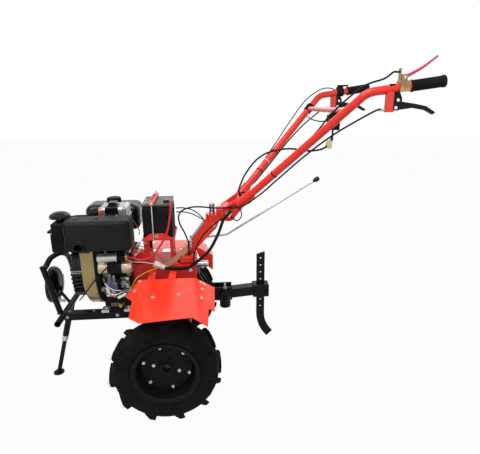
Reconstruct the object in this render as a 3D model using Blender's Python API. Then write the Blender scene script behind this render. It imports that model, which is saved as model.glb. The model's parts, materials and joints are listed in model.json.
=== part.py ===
"""Two-wheel walking tractor with an air-cooled diesel engine.

Metres, +Z up, ground at Z = 0.  The machine drives towards -X and the handles
point to +X.  Inside the model X is measured from the wheel axle; one empty
named machine moves the whole machine so that its box is centred on the origin.
"""

import math

import bmesh
import bpy
from mathutils import Matrix, Vector

# Clearances
SEAT = 0.0003  # between pieces that touch
RUN = 0.0003  # between a shaft and its bore

# Whole machine
AXLE_X = -0.2251  # axle from the middle of the machine's box

# Wheels
TYRE_RADIUS = 0.235
TYRE_WIDTH = 0.110
LUG_HEIGHT = 0.018
LUG_WIDTH = 0.020
LUG_SWEEP = math.radians(15)
LUGS_PER_SIDE = 11
TRACK = 0.684
RIM_SEAT_RADIUS = 0.127
RIM_LIP_HEIGHT = 0.014
RIM_LIP_WIDTH = 0.0055
RIM_METAL = 0.004
DISC_OFFSET = -0.010
DISC_METAL = 0.006
HUB_RADIUS = 0.030
HUB_OUTWARD = 0.012
HUB_INWARD = 0.120
AXLE_HEX_RADIUS = 0.0185
AXLE_END_RECESS = 0.030

# Final drive
GEAR_MODULE = 0.004
GEAR_TEETH = 36
PINION_TEETH = 12
GEAR_WIDTH = 0.020
TOOTH_SHARE = 0.42  # tooth width over tooth pitch
PINION_SHAFT_RADIUS = 0.009

# Gearbox
CASE_WALL = 0.010
LEG_HALF_WIDTH = 0.055
LEG_LENGTH = 0.225
GEAR_MARGIN = 0.008
CASE_HALF_WIDTH = 0.085
CASE_FRONT = 0.155
CASE_REAR = 0.135
CASE_HEIGHT = 0.151
CLUTCH_BULGE = 0.062  # near step of the clutch housing above the case
CLUTCH_FAR_BULGE = 0.034
CLUTCH_NEAR_WIDTH = 0.050
CLUTCH_FAR_EDGE = 0.035
CLUTCH_LENGTH = 0.080
CLUTCH_SLOPE = 0.010
CASE_FALL = 0.004
CASE_FALL_LENGTH = 0.115
FRONT_PLATE_THICK = 0.012
FRONT_PLATE_HALF_WIDTH = 0.155
FRONT_PLATE_DEPTH = 0.085

# Engine rails and front end
RAIL_RISE = 0.176  # rail top above the axle
RAIL_DEPTH = 0.035
RAIL_WIDTH = 0.036
RAIL_METAL = 0.004
RAIL_OFFSET = 0.1325
RAIL_LENGTH = 0.311
CROSS_RADIUS = 0.014
CROSS_METAL = 0.0025
CROSS_LENGTH = 0.400
HOOP_RADIUS = 0.0125
HOOP_OFFSET = 0.120
HOOP_HEIGHT = 0.245
HOOP_LEAN = 0.052
LAMP_RADIUS = 0.086
LAMP_DEPTH = 0.040
LAMP_AHEAD = 0.072
LAMP_RISE = 0.105
LAMP_LENS_RADIUS = 0.074
LAMP_LENS_THICK = 0.006
LAMP_BRACKET_RADIUS = 0.007

# Stand
STAND_LEAN = math.radians(15.7)
STAND_DROP = 0.042  # pivot below the cross tube, along the leg
STAND_EAR_THICK = 0.004
STAND_EAR_RADIUS = 0.013
STAND_SLEEVE_RADIUS = 0.015
STAND_SLEEVE_LENGTH = 0.135
STAND_LEG_RADIUS = 0.0105
STAND_PIN_RADIUS = 0.005
FOOT_RADIUS = 0.026
FOOT_THICK = 0.006

# Engine
CRANK_RISE = 0.189  # crank above the rail top
BLOCK_LENGTH = 0.134
CYLINDER_AHEAD = 0.008  # cylinder ahead of the middle of the block
BLOCK_HALF_WIDTH = 0.115
BLOCK_HEIGHT = 0.245
BLOCK_WALL = 0.010
BLOCK_FOOT_WIDTH = 0.030
BLOCK_FOOT_THICK = 0.010
BACK_PLATE_THICK = 0.0145
BARREL_RADIUS = 0.060
BARREL_HEIGHT = 0.142
FIN_RADIUS = 0.072
FIN_THICK = 0.007
FIN_COUNT = 4
CRANK_RADIUS = 0.019
CRANK_WEB_RADIUS = 0.044
CRANK_WEB_THICK = 0.014
CRANK_PIN_RADIUS = 0.014
CRANK_THROW = 0.026
FLYWHEEL_RADIUS = 0.135
FLYWHEEL_THICK = 0.030
BLOWER_HALF_WIDTH = 0.190
BLOWER_LENGTH = 0.058
BLOWER_TOP = 0.118
BLOWER_WALL = 0.004
RECOIL_RADIUS = 0.156
RECOIL_LENGTH = 0.061
RECOIL_WALL = 0.005
RECOIL_RIBS = 24
RECOIL_RIB_DEPTH = 0.006
HEAD_LENGTH = 0.131
HEAD_HALF_WIDTH = 0.060
HEAD_HEIGHT = 0.076
HEAD_ROUND = 0.010
BREATHER_LENGTH = 0.040
BREATHER_HEIGHT = 0.020
MUFFLER_LENGTH = 0.266
MUFFLER_WIDTH = 0.112
MUFFLER_HEIGHT = 0.128
MUFFLER_ROUND = 0.014
MUFFLER_METAL = 0.003
MUFFLER_OUT = 0.132  # inner face from the crank plane
MUFFLER_RISE = 0.134  # bottom above the crank
MUFFLER_REAR = 0.125
STUB_RADIUS = 0.0185
STUB_LENGTH = 0.026
STUB_FROM_FRONT = 0.062
STUB_RISE = 0.028
EXHAUST_RADIUS = 0.020
CLEANER_LENGTH = 0.062
CLEANER_WIDTH = 0.110
CLEANER_HEIGHT = 0.130
CLEANER_STEP = 0.012
CLEANER_GAP = 0.008  # ahead of the muffler
CLEANER_OUT = 0.095
CLEANER_RISE = 0.118
DUCT_RADIUS = 0.024
DUCT_DROP = 0.031
RAIN_CAP_RADIUS = 0.0435
RAIN_CAP_HEIGHT = 0.038
RAIN_STEM_RADIUS = 0.018
RAIN_STEM_HEIGHT = 0.014
TANK_LENGTH = 0.258
TANK_WIDTH = 0.150
TANK_HEIGHT = 0.128
TANK_ROUND = 0.030
TANK_OUT = 0.078
TANK_REAR = 0.135
TANK_FOOT = 0.024
TANK_GAP = 0.004  # tank above the blower housing
CAP_RADIUS = 0.033
CAP_HEIGHT = 0.026
CAP_STUD_RADIUS = 0.012
CAP_STUD_LENGTH = 0.014
STARTER_RADIUS = 0.030
STARTER_LENGTH = 0.142
STARTER_OUT = 0.164
STARTER_RISE = 0.035
SOLENOID_RADIUS = 0.0205
SOLENOID_LENGTH = 0.118
SOLENOID_RISE = 0.083
SOLENOID_OUT = 0.175
PUMP_LENGTH = 0.060
PUMP_OUT = 0.036
PUMP_HEIGHT = 0.070
DECOMP_RADIUS = 0.011
DECOMP_THICK = 0.008
DECOMP_REACH = 0.032
DECOMP_PIN_RADIUS = 0.004

# Battery
BATTERY_LENGTH = 0.125
BATTERY_WIDTH = 0.166
BATTERY_HEIGHT = 0.157
BATTERY_LEFT = 0.0865
BATTERY_OUT = 0.1436
BATTERY_ROUND = 0.003
POST_RADIUS = 0.008
POST_HEIGHT = 0.016
TRAY_METAL = 0.004
TRAY_MARGIN = 0.005
TRAY_RISE = 0.142  # tray floor above the gearbox top
TRAY_LIP = 0.030
TRAY_LEG = 0.030
TRAY_LEG_WIDTH = 0.016
CLAMP_WIDTH = 0.026
CLAMP_SHIFT = -0.018  # hold-down bar from the middle of the battery
CLAMP_THICK = 0.005
CLAMP_ROD_RADIUS = 0.004

# Fenders
FENDER_METAL = 0.003
FENDER_RISE = 0.350  # inner edge above the axle
FENDER_INNER = 0.200
FENDER_OUTER = 0.480
FENDER_DROP = 0.051
FENDER_FRONT = 0.135
FENDER_REAR = 0.130
FENDER_FLAP = 0.085
FENDER_FLAP_DROP = 0.050
FENDER_SKIRT = 0.085
FENDER_TABS = (-0.075, 0.015)  # front of each tab that joins the fender to the gearbox
FENDER_TAB_WIDTH = 0.030

# Column, swivel and tilt joint
ARM_HALF_WIDTH = 0.032
ARM_TOP_X = 0.242
ARM_TOP_RISE = 0.184  # arm top above the gearbox top
ARM_LEDGE_DROP = 0.153  # arm foot below the arm top
ARM_LEDGE_OUT = 0.080
SWIVEL_X = 0.214
SWIVEL_RADIUS = 0.012
SWIVEL_KNOB_RADIUS = 0.0135
SWIVEL_KNOB_HEIGHT = 0.048
SWIVEL_DEPTH = 0.035
YOKE_HEIGHT = 0.060
YOKE_HALF_WIDTH = 0.030
YOKE_BOSS_HEIGHT = 0.031
YOKE_STEP = 0.019  # full height starts this far behind the swivel pin
TILT_X = 0.288
TILT_RISE = 0.042  # tilt bolt above the arm top
TILT_DISC_RADIUS = 0.036
TILT_HALF_WIDTH = 0.045
TILT_TEETH = 12
TILT_TOOTH_DEPTH = 0.003
TILT_BOLT_RADIUS = 0.009
TILT_HEAD_RADIUS = 0.014
TILT_HEAD_THICK = 0.008
CHEEK_THICK = 0.0127

# Handlebar
TUBE_RADIUS = 0.016
TUBE_METAL = 0.0025
TUBE_BEND = 0.075
ROOT_X = 0.345
ROOT_RISE = 0.052  # tube root above the tilt bolt
ROOT_OUT = 0.068
BEND_X = 0.790
BEND_RISE = 0.518
BEND_OUT = 0.330
GRIP_AHEAD = 0.2055  # grip end from the front of the lever bracket
GRIP_RISE = 0.556
GRIP_OUT = 0.365
SOCKET_RADIUS = 0.022
SOCKET_LENGTH = 0.070
GRIP_LENGTH = 0.122
GRIP_RADIUS = 0.019
GRIP_END = 0.006
CROSSBAR_RADIUS = 0.011
CROSSBAR_AT = 0.86  # place along the straight of the tube
BRACKET_X = 0.855
BRACKET_LENGTH = 0.029
BRACKET_HALF_WIDTH = 0.0105
BRACKET_DROP = 0.063
EAR_LENGTH = 0.022
LEVER_HALF_WIDTH = 0.0065
LEVER_PIN_RADIUS = 0.004
LEVER_PIN_AHEAD = 0.012
LEVER_PIN_DROP = 0.026
LEVER_REACH = 0.150
LEVER_THICK = 0.014
HAND_AHEAD = 0.041  # hand lever saddle from the front of the lever bracket
HAND_SADDLE_LENGTH = 0.038
HAND_METAL = 0.003
HAND_PIN_RISE = 0.034
HAND_PIN_RADIUS = 0.004
HAND_HALF_WIDTH = 0.006
HAND_ROD_RADIUS = 0.0065
HAND_REACH = 0.117
HAND_RISE = 0.072
HAND_TAB_HEIGHT = 0.042
THROTTLE_AHEAD = 0.045  # throttle from the front of the lever bracket
THROTTLE_BLOCK = 0.030
THROTTLE_BLOCK_RISE = 0.012
THROTTLE_RADIUS = 0.013
THROTTLE_THICK = 0.008
THROTTLE_REACH = 0.045
THROTTLE_PIN_RADIUS = 0.004
SWITCH_LENGTH = 0.045
SWITCH_WIDTH = 0.050
SWITCH_HEIGHT = 0.068
SWITCH_OUT = 0.135

# Gear shift
SHIFT_OUT = 0.045
SHIFT_X = 0.115
SHIFT_RISE = 0.0816  # pivot above the case top at that place
SHIFT_RADIUS = 0.006
SHIFT_FLAT = 0.1687
SHIFT_FLAT_RISE = 0.0155
SHIFT_REACH = 0.4211
SHIFT_REACH_RISE = 0.2559
SHIFT_KNOB_RADIUS = 0.013
SHIFT_EYE_RADIUS = 0.012
SHIFT_PIN_RADIUS = 0.004
SHIFT_LUG_THICK = 0.008

# Hitch and depth bar
PTO_RADIUS = 0.016
PTO_LENGTH = 0.056
PTO_RISE = 0.342  # above the axle
PTO_OUT = 0.020
HITCH_PLATE_THICK = 0.012
HITCH_PLATE_HALF_WIDTH = 0.045
HITCH_PLATE_TOP = 0.305  # above the axle
HITCH_PLATE_BOTTOM = 0.225
HITCH_CHEEK_THICK = 0.008
HITCH_LENGTH = 0.155
HITCH_RISE = 0.150
HITCH_HEIGHT = 0.068
HITCH_BOSS_RADIUS = 0.026
HITCH_BOSS_DROP = 0.018
HITCH_BOSS_BACK = 0.036
DRAWBAR_HALF_WIDTH = 0.025
DRAWBAR_HEIGHT = 0.046
DRAWBAR_METAL = 0.005
DRAWBAR_RISE = 0.143
DRAWBAR_LIFT = 0.023  # rise of the drawbar over its length
DRAWBAR_LENGTH = 0.258
CLAMP_BLOCK_LENGTH = 0.080
CLAMP_BLOCK_HEIGHT = 0.064
CLAMP_BLOCK_HALF_WIDTH = 0.030
BAR_WIDTH = 0.040
BAR_THICK = 0.012
BAR_ABOVE = 0.166
BAR_BELOW = 0.101
BAR_CURVE_RADIUS = 0.150
BAR_CURVE = math.radians(44)
BAR_TOP_SLANT = 0.013
BAR_HOLES = 8
BAR_HOLE_PITCH = 0.037
BAR_HOLE_RADIUS = 0.005
BAR_HOLE_MARGIN = 0.020

# Cables
CABLE_RADIUS = 0.0035
BATTERY_CABLE_RADIUS = 0.0045
HARNESS_RADIUS = 0.007
LEAD_RADIUS = 0.004

# Heights and places that follow from the sizes above
AXLE_Z = TYRE_RADIUS
SIDE = TRACK / 2
CASE_BASE = AXLE_Z + LEG_LENGTH - CASE_WALL / 2
CASE_TOP = CASE_BASE + CASE_HEIGHT
PITCH_GEAR = GEAR_MODULE * GEAR_TEETH / 2
PITCH_PINION = GEAR_MODULE * PINION_TEETH / 2
PINION_Z = AXLE_Z + PITCH_GEAR + PITCH_PINION
GEAR_TIP = PITCH_GEAR + 0.8 * GEAR_MODULE
LEG_RADIUS = GEAR_TIP + GEAR_MARGIN + CASE_WALL
RAIL_TOP = AXLE_Z + RAIL_RISE
RAIL_REAR_X = -CASE_FRONT - SEAT
RAIL_FRONT_X = RAIL_REAR_X - RAIL_LENGTH
CROSS_X = RAIL_FRONT_X - CROSS_RADIUS - SEAT
CROSS_Z = RAIL_TOP - RAIL_DEPTH / 2 - CROSS_RADIUS / 2
CRANK_Z = RAIL_TOP + CRANK_RISE
BLOCK_REAR_X = -CASE_FRONT - SEAT
BLOCK_FRONT_X = BLOCK_REAR_X - BLOCK_LENGTH
BLOCK_BASE = RAIL_TOP + SEAT
BLOCK_TOP = BLOCK_BASE + BLOCK_HEIGHT
BLOCK_MID_X = BLOCK_REAR_X - BLOCK_LENGTH / 2 - CYLINDER_AHEAD
HEAD_BASE = BLOCK_TOP + BARREL_HEIGHT + SEAT
HEAD_TOP = HEAD_BASE + HEAD_HEIGHT
BACK_FRONT_X = BLOCK_FRONT_X - BACK_PLATE_THICK / 2
BLOWER_REAR_X = BACK_FRONT_X - SEAT
BLOWER_FRONT_X = BLOWER_REAR_X - BLOWER_LENGTH
RECOIL_FRONT_X = BLOWER_FRONT_X - SEAT - RECOIL_LENGTH
MUFFLER_BASE = CRANK_Z + MUFFLER_RISE
MUFFLER_FRONT_X = -MUFFLER_REAR - MUFFLER_LENGTH
CLEANER_REAR_X = MUFFLER_FRONT_X - CLEANER_GAP
CLEANER_BASE = CRANK_Z + CLEANER_RISE
TANK_BASE = CRANK_Z + BLOWER_TOP + TANK_GAP
TANK_TOP = TANK_BASE + TANK_HEIGHT
TRAY_FLOOR = CASE_TOP + TRAY_RISE
BATTERY_BASE = TRAY_FLOOR + SEAT
BATTERY_TOP = BATTERY_BASE + BATTERY_HEIGHT
FENDER_Z = AXLE_Z + FENDER_RISE
ARM_TOP = CASE_TOP + ARM_TOP_RISE
YOKE_BASE = ARM_TOP + SEAT
YOKE_TOP = YOKE_BASE + YOKE_HEIGHT
TILT = Vector((TILT_X, 0, ARM_TOP + TILT_RISE))
CHEEK_INNER = TILT_HALF_WIDTH + SEAT
CHEEK_OUTER = CHEEK_INNER + CHEEK_THICK
HITCH_PLATE_X = CASE_REAR + SEAT
HITCH_BASE = AXLE_Z + HITCH_RISE
DRAWBAR_Z = AXLE_Z + DRAWBAR_RISE
DRAWBAR_X = HITCH_PLATE_X + HITCH_PLATE_THICK + SEAT
CLAMP_X = DRAWBAR_X + DRAWBAR_LENGTH
CLAMP_Z = DRAWBAR_Z + DRAWBAR_LIFT + DRAWBAR_HEIGHT / 2
BAR_X = CLAMP_X + CLAMP_BLOCK_LENGTH / 2
GRIP_X = BRACKET_X + GRIP_AHEAD
HAND_X = BRACKET_X + HAND_AHEAD
THROTTLE_X = BRACKET_X + THROTTLE_AHEAD
STAND_AXIS = Vector((-math.sin(STAND_LEAN), 0, -math.cos(STAND_LEAN)))
STAND_PIVOT = Vector((CROSS_X, 0, CROSS_Z)) + STAND_AXIS * STAND_DROP
STAND_LENGTH = (STAND_PIVOT.z - FOOT_THICK / 2) / math.cos(STAND_LEAN)

X_AXIS = Vector((1, 0, 0))
Y_AXIS = Vector((0, 1, 0))
Z_AXIS = Vector((0, 0, 1))
NEAR = -1  # the machine's left side
FAR = 1


def case_top(x):
    """Height of the gearbox top behind the clutch end, at a place along X."""
    start = CASE_REAR - CASE_FALL_LENGTH
    fall = max(0.0, x - start) / CASE_FALL_LENGTH
    return CASE_TOP - CASE_FALL * fall


def clear_scene():
    """Remove what the scene held before."""
    for item in list(bpy.data.objects):
        bpy.data.objects.remove(item, do_unlink=True)


def paint(name, colour, roughness, metallic):
    """Make a plain material from a colour, a roughness and a metallic value."""
    material = bpy.data.materials.new(name)
    material.use_nodes = True
    shader = material.node_tree.nodes["Principled BSDF"]
    shader.inputs["Base Color"].default_value = (*colour, 1)
    shader.inputs["Roughness"].default_value = roughness
    shader.inputs["Metallic"].default_value = metallic
    return material


def make_paints():
    """The finishes of the machine."""
    return {
        "red": paint("red_paint", (0.55, 0.02, 0.015), 0.35, 0.0),
        "orange": paint("orange_paint", (0.90, 0.07, 0.03), 0.35, 0.0),
        "black": paint("black_paint", (0.012, 0.012, 0.012), 0.45, 0.0),
        "rubber": paint("rubber", (0.018, 0.018, 0.018), 0.85, 0.0),
        "gold": paint("gold_paint", (0.38, 0.27, 0.09), 0.40, 0.4),
        "silver": paint("silver_casting", (0.50, 0.50, 0.49), 0.45, 0.8),
        "grey": paint("grey_casting", (0.10, 0.10, 0.105), 0.55, 0.5),
        "chrome": paint("chrome", (0.75, 0.75, 0.76), 0.12, 1.0),
        "steel": paint("steel", (0.42, 0.42, 0.43), 0.35, 1.0),
        "zinc": paint("yellow_zinc", (0.55, 0.42, 0.18), 0.35, 0.8),
        "plastic": paint("black_plastic", (0.015, 0.015, 0.016), 0.50, 0.0),
        "glass": paint("lens_glass", (0.75, 0.80, 0.80), 0.08, 0.0),
    }


def empty(name, location, parent=None):
    """Add an empty that carries other objects."""
    item = bpy.data.objects.new(name, None)
    item.empty_display_size = 0.05
    item.location = location
    item.parent = parent
    bpy.context.scene.collection.objects.link(item)
    return item


def add_mesh(name, mesh):
    """Put a mesh into the scene under a name."""
    item = bpy.data.objects.new(name, mesh)
    bpy.context.scene.collection.objects.link(item)
    return item


def finish(shape):
    """Turn a bmesh into a mesh with its faces pointing out."""
    bmesh.ops.remove_doubles(shape, verts=shape.verts, dist=1e-6)
    bmesh.ops.recalc_face_normals(shape, faces=shape.faces)
    mesh = bpy.data.meshes.new("shape")
    shape.to_mesh(mesh)
    shape.free()
    return mesh


def block(x0, x1, y0, y1, z0, z1, bevel=0.0, steps=1):
    """A box between limits, with bevelled edges."""
    shape = bmesh.new()
    size = Vector((x1 - x0, y1 - y0, z1 - z0))
    middle = Vector((x1 + x0, y1 + y0, z1 + z0)) / 2
    place = Matrix.Translation(middle) @ Matrix.Diagonal((*size, 1))
    bmesh.ops.create_cube(shape, size=1, matrix=place)
    if bevel:
        bmesh.ops.bevel(
            shape,
            geom=list(shape.edges),
            offset=bevel,
            segments=steps,
            profile=0.5,
            affect="EDGES",
        )
    return finish(shape)


def frame_along(direction):
    """Two axes square to a direction."""
    direction = direction.normalized()
    guide = Z_AXIS if abs(direction.z) < 0.9 else X_AXIS
    side = guide.cross(direction).normalized()
    return side, direction.cross(side)


def rod(start, end, radius, sides=16, end_radius=None, turn=0.0):
    """A round or many-sided rod between two points."""
    start = Vector(start)
    end = Vector(end)
    side, up = frame_along(end - start)
    shape = bmesh.new()
    rings = []
    for point, size in ((start, radius), (end, end_radius or radius)):
        ring = []
        for step in range(sides):
            angle = turn + 2 * math.pi * step / sides
            ring.append(shape.verts.new(point + (side * math.cos(angle) + up * math.sin(angle)) * size))
        rings.append(ring)
    shape.faces.new(rings[0])
    shape.faces.new(rings[1])
    for step in range(sides):
        after = (step + 1) % sides
        shape.faces.new((rings[0][step], rings[0][after], rings[1][after], rings[1][step]))
    return finish(shape)


def prism(outline, axis, low, high):
    """A flat outline pushed along an axis; the outline lies in the other two axes."""
    place = {
        "X": lambda a, b, c: (c, a, b),
        "Y": lambda a, b, c: (a, c, b),
        "Z": lambda a, b, c: (a, b, c),
    }[axis]
    shape = bmesh.new()
    lower = [shape.verts.new(place(a, b, low)) for a, b in outline]
    upper = [shape.verts.new(place(a, b, high)) for a, b in outline]
    shape.faces.new(lower)
    shape.faces.new(upper)
    count = len(outline)
    for step in range(count):
        after = (step + 1) % count
        shape.faces.new((lower[step], lower[after], upper[after], upper[step]))
    return finish(shape)


def arc(middle, radius, start, end, steps):
    """Points along an arc in a plane."""
    points = []
    for step in range(steps + 1):
        angle = start + (end - start) * step / steps
        points.append((middle[0] + radius * math.cos(angle), middle[1] + radius * math.sin(angle)))
    return points


def turned(profile, origin, axis, sides):
    """A profile of (place along the axis, radius) turned round an axis."""
    origin = Vector(origin)
    axis = Vector(axis).normalized()
    side, up = frame_along(axis)
    shape = bmesh.new()
    rings = []
    for along, radius in profile:
        if radius < 1e-7:
            rings.append([shape.verts.new(origin + axis * along)])
            continue
        ring = []
        for step in range(sides):
            angle = 2 * math.pi * step / sides
            out = side * math.cos(angle) + up * math.sin(angle)
            ring.append(shape.verts.new(origin + axis * along + out * radius))
        rings.append(ring)
    count = len(rings)
    for index in range(count):
        near, far = rings[index], rings[(index + 1) % count]
        if len(near) == 1 and len(far) == 1:
            continue
        for step in range(sides):
            after = (step + 1) % sides
            corners = [near[step % len(near)], near[after % len(near)]]
            corners += [far[after % len(far)], far[step % len(far)]]
            shape.faces.new(list(dict.fromkeys(corners)))
    return finish(shape)


def rounded(points, radius, steps=5):
    """A path through points with its corners rounded."""
    points = [Vector(point) for point in points]
    path = [points[0]]
    for before, corner, after in zip(points, points[1:], points[2:]):
        back = (before - corner).normalized()
        forth = (after - corner).normalized()
        half = back.angle(forth) / 2
        reach = radius / math.tan(half)
        centre = corner + (back + forth).normalized() * (radius / math.sin(half))
        start = corner + back * reach - centre
        end = corner + forth * reach - centre
        sweep = start.angle(end)
        for step in range(steps + 1):
            share = step / steps
            low = math.sin((1 - share) * sweep) / math.sin(sweep)
            high = math.sin(share * sweep) / math.sin(sweep)
            path.append(centre + start * low + end * high)
    path.append(points[-1])
    return path


def swept(path, radius, sides=12):
    """A round bar that follows a path."""
    path = [Vector(point) for point in path]
    shape = bmesh.new()
    rings = []
    side, up = frame_along(path[1] - path[0])
    for index, point in enumerate(path):
        before = path[max(index - 1, 0)]
        after = path[min(index + 1, len(path) - 1)]
        along = (after - before).normalized()
        side = (side - along * side.dot(along)).normalized()
        up = along.cross(side)
        stretch = 1.0
        if 0 < index < len(path) - 1:
            turn = (point - before).angle(after - point)
            stretch = 1 / math.cos(turn / 2)
        bend = (after - point) - (point - before)
        bend = bend.normalized() if bend.length > 1e-9 else side
        ring = []
        for step in range(sides):
            angle = 2 * math.pi * step / sides
            out = (side * math.cos(angle) + up * math.sin(angle)) * radius
            out += bend * out.dot(bend) * (stretch - 1)
            ring.append(shape.verts.new(point + out))
        rings.append(ring)
    shape.faces.new(rings[0])
    shape.faces.new(rings[-1])
    for near, far in zip(rings, rings[1:]):
        for step in range(sides):
            after = (step + 1) % sides
            shape.faces.new((near[step], near[after], far[after], far[step]))
    return finish(shape)


def smooth(points, spacing):
    """Points at an even spacing on a smooth curve through a cable's route."""
    points = [Vector(point) for point in points]
    ends = [2 * points[0] - points[1]] + points + [2 * points[-1] - points[-2]]
    fine = []
    for first, second, third, fourth in zip(ends, ends[1:], ends[2:], ends[3:]):
        for step in range(12):
            share = step / 12
            value = 2 * second + (third - first) * share
            value += (2 * first - 5 * second + 4 * third - fourth) * share**2
            value += (3 * second - first - 3 * third + fourth) * share**3
            fine.append(value / 2)
    fine.append(points[-1])
    length = sum((after - before).length for before, after in zip(fine, fine[1:]))
    count = max(2, round(length / spacing))
    result = [fine[0]]
    walked = 0.0
    for before, after in zip(fine, fine[1:]):
        walked += (after - before).length
        if walked >= length * len(result) / count and len(result) < count:
            result.append(after)
    result.append(fine[-1])
    return result


def cable(name, route, radius, material, carrier):
    """A flexible cable: a round curve along a smooth route."""
    curve = bpy.data.curves.new(name, "CURVE")
    curve.dimensions = "3D"
    curve.bevel_depth = radius
    curve.bevel_resolution = 2
    curve.use_fill_caps = True
    route = [Vector(point) for point in route]
    points = [route[0]] + smooth(route[1:-1], 6 * radius) + [route[-1]]
    spline = curve.splines.new("POLY")
    spline.points.add(len(points) - 1)
    for knot, point in zip(spline.points, points):
        knot.co = (*point, 1)
    curve.materials.append(material)
    item = bpy.data.objects.new(name, curve)
    bpy.context.scene.collection.objects.link(item)
    item.parent = carrier
    item.location = -carrier_place(carrier)
    return item


def carrier_place(carrier):
    """Where an empty stands, measured from the axle."""
    place = Vector((0, 0, 0))
    while carrier.parent:
        place += carrier.location
        carrier = carrier.parent
    return place


def combine(body, tool_mesh, operation):
    """Join a shape to a body, or cut it away."""
    tool = add_mesh("tool", tool_mesh)
    tool.hide_render = True
    tool.display_type = "WIRE"
    change = body.modifiers.new("change", "BOOLEAN")
    change.operation = operation
    change.solver = "EXACT"
    change.object = tool
    bpy.context.view_layer.update()
    done = body.evaluated_get(bpy.context.evaluated_depsgraph_get())
    mesh = bpy.data.meshes.new_from_object(done)
    body.modifiers.remove(change)
    body.data = mesh
    bpy.data.objects.remove(tool, do_unlink=True)


def solid(name, base, material, carrier, add=(), cut=()):
    """One named piece: a base shape, what is joined to it and what is cut from it."""
    body = add_mesh(name, base)
    for shape in add:
        combine(body, shape, "UNION")
    for shape in cut:
        combine(body, shape, "DIFFERENCE")
    body.data.name = name
    body.data.materials.clear()
    body.data.materials.append(material)
    body.data.shade_smooth()
    body.data.set_sharp_from_angle(angle=math.radians(35))
    body.parent = carrier
    body.location = -carrier_place(carrier)
    return body


def joined(meshes):
    """Several separate shapes in one mesh."""
    shape = bmesh.new()
    for mesh in meshes:
        shape.from_mesh(mesh)
    result = bpy.data.meshes.new("shapes")
    shape.to_mesh(result)
    shape.free()
    return result


def bore_radius(radius, clearance, sides):
    """Radius of a many-sided bore whose flats clear a rod of a radius."""
    return (radius + clearance) / math.cos(math.pi / sides)


def along_y(x, z, y0, y1, radius, sides=16, turn=0.0):
    """A rod across the machine."""
    return rod((x, y0, z), (x, y1, z), radius, sides, turn=turn)


def along_x(y, z, x0, x1, radius, sides=16):
    """A rod along the machine."""
    return rod((x0, y, z), (x1, y, z), radius, sides)


def along_z(x, y, z0, z1, radius, sides=16):
    """An upright rod."""
    return rod((x, y, z0), (x, y, z1), radius, sides)


def lug(angle, side, tip):
    """One tyre lug that runs from the shoulder past the middle of the tread."""
    shape = bmesh.new()
    root = TYRE_RADIUS - LUG_HEIGHT - 0.012
    half = LUG_WIDTH / 2 / TYRE_RADIUS
    ends = ((side * TYRE_WIDTH / 2, angle, 0.004), (-side * 0.006, angle + LUG_SWEEP * tip, 0.0))
    rings = []
    for along, place, drop in ends:
        ring = []
        for radius, width in ((root, 1.2), (TYRE_RADIUS - drop, 1.0)):
            for edge in (-half * width, half * width):
                turn = place + edge
                ring.append(shape.verts.new((radius * math.sin(turn), along, radius * math.cos(turn))))
        rings.append(ring)
    low, high = rings
    order = (0, 1, 3, 2)
    shape.faces.new([low[i] for i in order])
    shape.faces.new([high[i] for i in order])
    for here, there in zip(order, order[1:] + order[:1]):
        shape.faces.new((low[here], low[there], high[there], high[here]))
    return finish(shape)


def make_tyre(name, side, material, carrier):
    """A tyre with two staggered rows of lugs."""
    half = TYRE_WIDTH / 2
    bead = half - RIM_LIP_WIDTH - 2 * SEAT - 0.0035
    tread = TYRE_RADIUS - LUG_HEIGHT
    lip = RIM_SEAT_RADIUS + RIM_LIP_HEIGHT
    outer = [
        (bead, RIM_SEAT_RADIUS + SEAT),
        (bead, lip + 0.002),
        (half - 0.001, lip + 0.009),
        (half, (lip + tread) / 2),
        (half - 0.008, tread - 0.006),
    ]
    profile = outer + [(-along, radius) for along, radius in reversed(outer)]
    base = turned(profile, (0, 0, 0), Y_AXIS, 2 * LUGS_PER_SIDE)
    pitch = 2 * math.pi / LUGS_PER_SIDE
    lugs = []
    for row, offset in ((NEAR, 0.0), (FAR, 0.5)):
        for step in range(LUGS_PER_SIDE):
            lugs.append(lug((step + offset) * pitch, row, 1))
    tyre = solid(name, base, material, carrier, add=[joined(lugs)])
    tyre.location = Vector((0, side * SIDE, AXLE_Z)) - carrier_place(carrier)
    return tyre


def make_wheel(name, side, material, carrier):
    """A pressed wheel: rim, disc and hub in one piece, with a hexagon bore."""
    half = TYRE_WIDTH / 2
    seat = RIM_SEAT_RADIUS
    lip = seat + RIM_LIP_HEIGHT
    inside = seat - RIM_METAL
    lip_in = half - RIM_LIP_WIDTH - 0.0035
    lip_out = half - 0.0035
    disc_in = DISC_OFFSET
    disc_out = DISC_OFFSET + DISC_METAL
    profile = [
        (HUB_OUTWARD, 0.0),
        (HUB_OUTWARD, HUB_RADIUS),
        (disc_out, HUB_RADIUS),
        (disc_out, inside - RIM_METAL),
        (disc_out - 0.002, inside),
        (lip_in + 0.0015, inside),
        (lip_out, lip),
        (lip_in, lip),
        (lip_in, seat),
        (-lip_in, seat),
        (-lip_in, lip),
        (-lip_out, lip),
        (-lip_in - 0.0015, inside),
        (disc_in - 0.002, inside),
        (disc_in, inside - RIM_METAL),
        (disc_in, HUB_RADIUS),
        (-HUB_INWARD, HUB_RADIUS),
        (-HUB_INWARD, 0.0),
    ]
    axis = Vector((0, side, 0))
    base = turned(profile, (0, 0, 0), axis, 2 * LUGS_PER_SIDE)
    hex_radius = AXLE_HEX_RADIUS + RUN / math.cos(math.pi / 6)
    bore = along_y(0, 0, -HUB_INWARD * 1.2, HUB_INWARD * 1.2, hex_radius, 6)
    wheel = solid(name, base, material, carrier, cut=[bore])
    wheel.location = Vector((0, side * SIDE, AXLE_Z)) - carrier_place(carrier)
    return wheel


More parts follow.
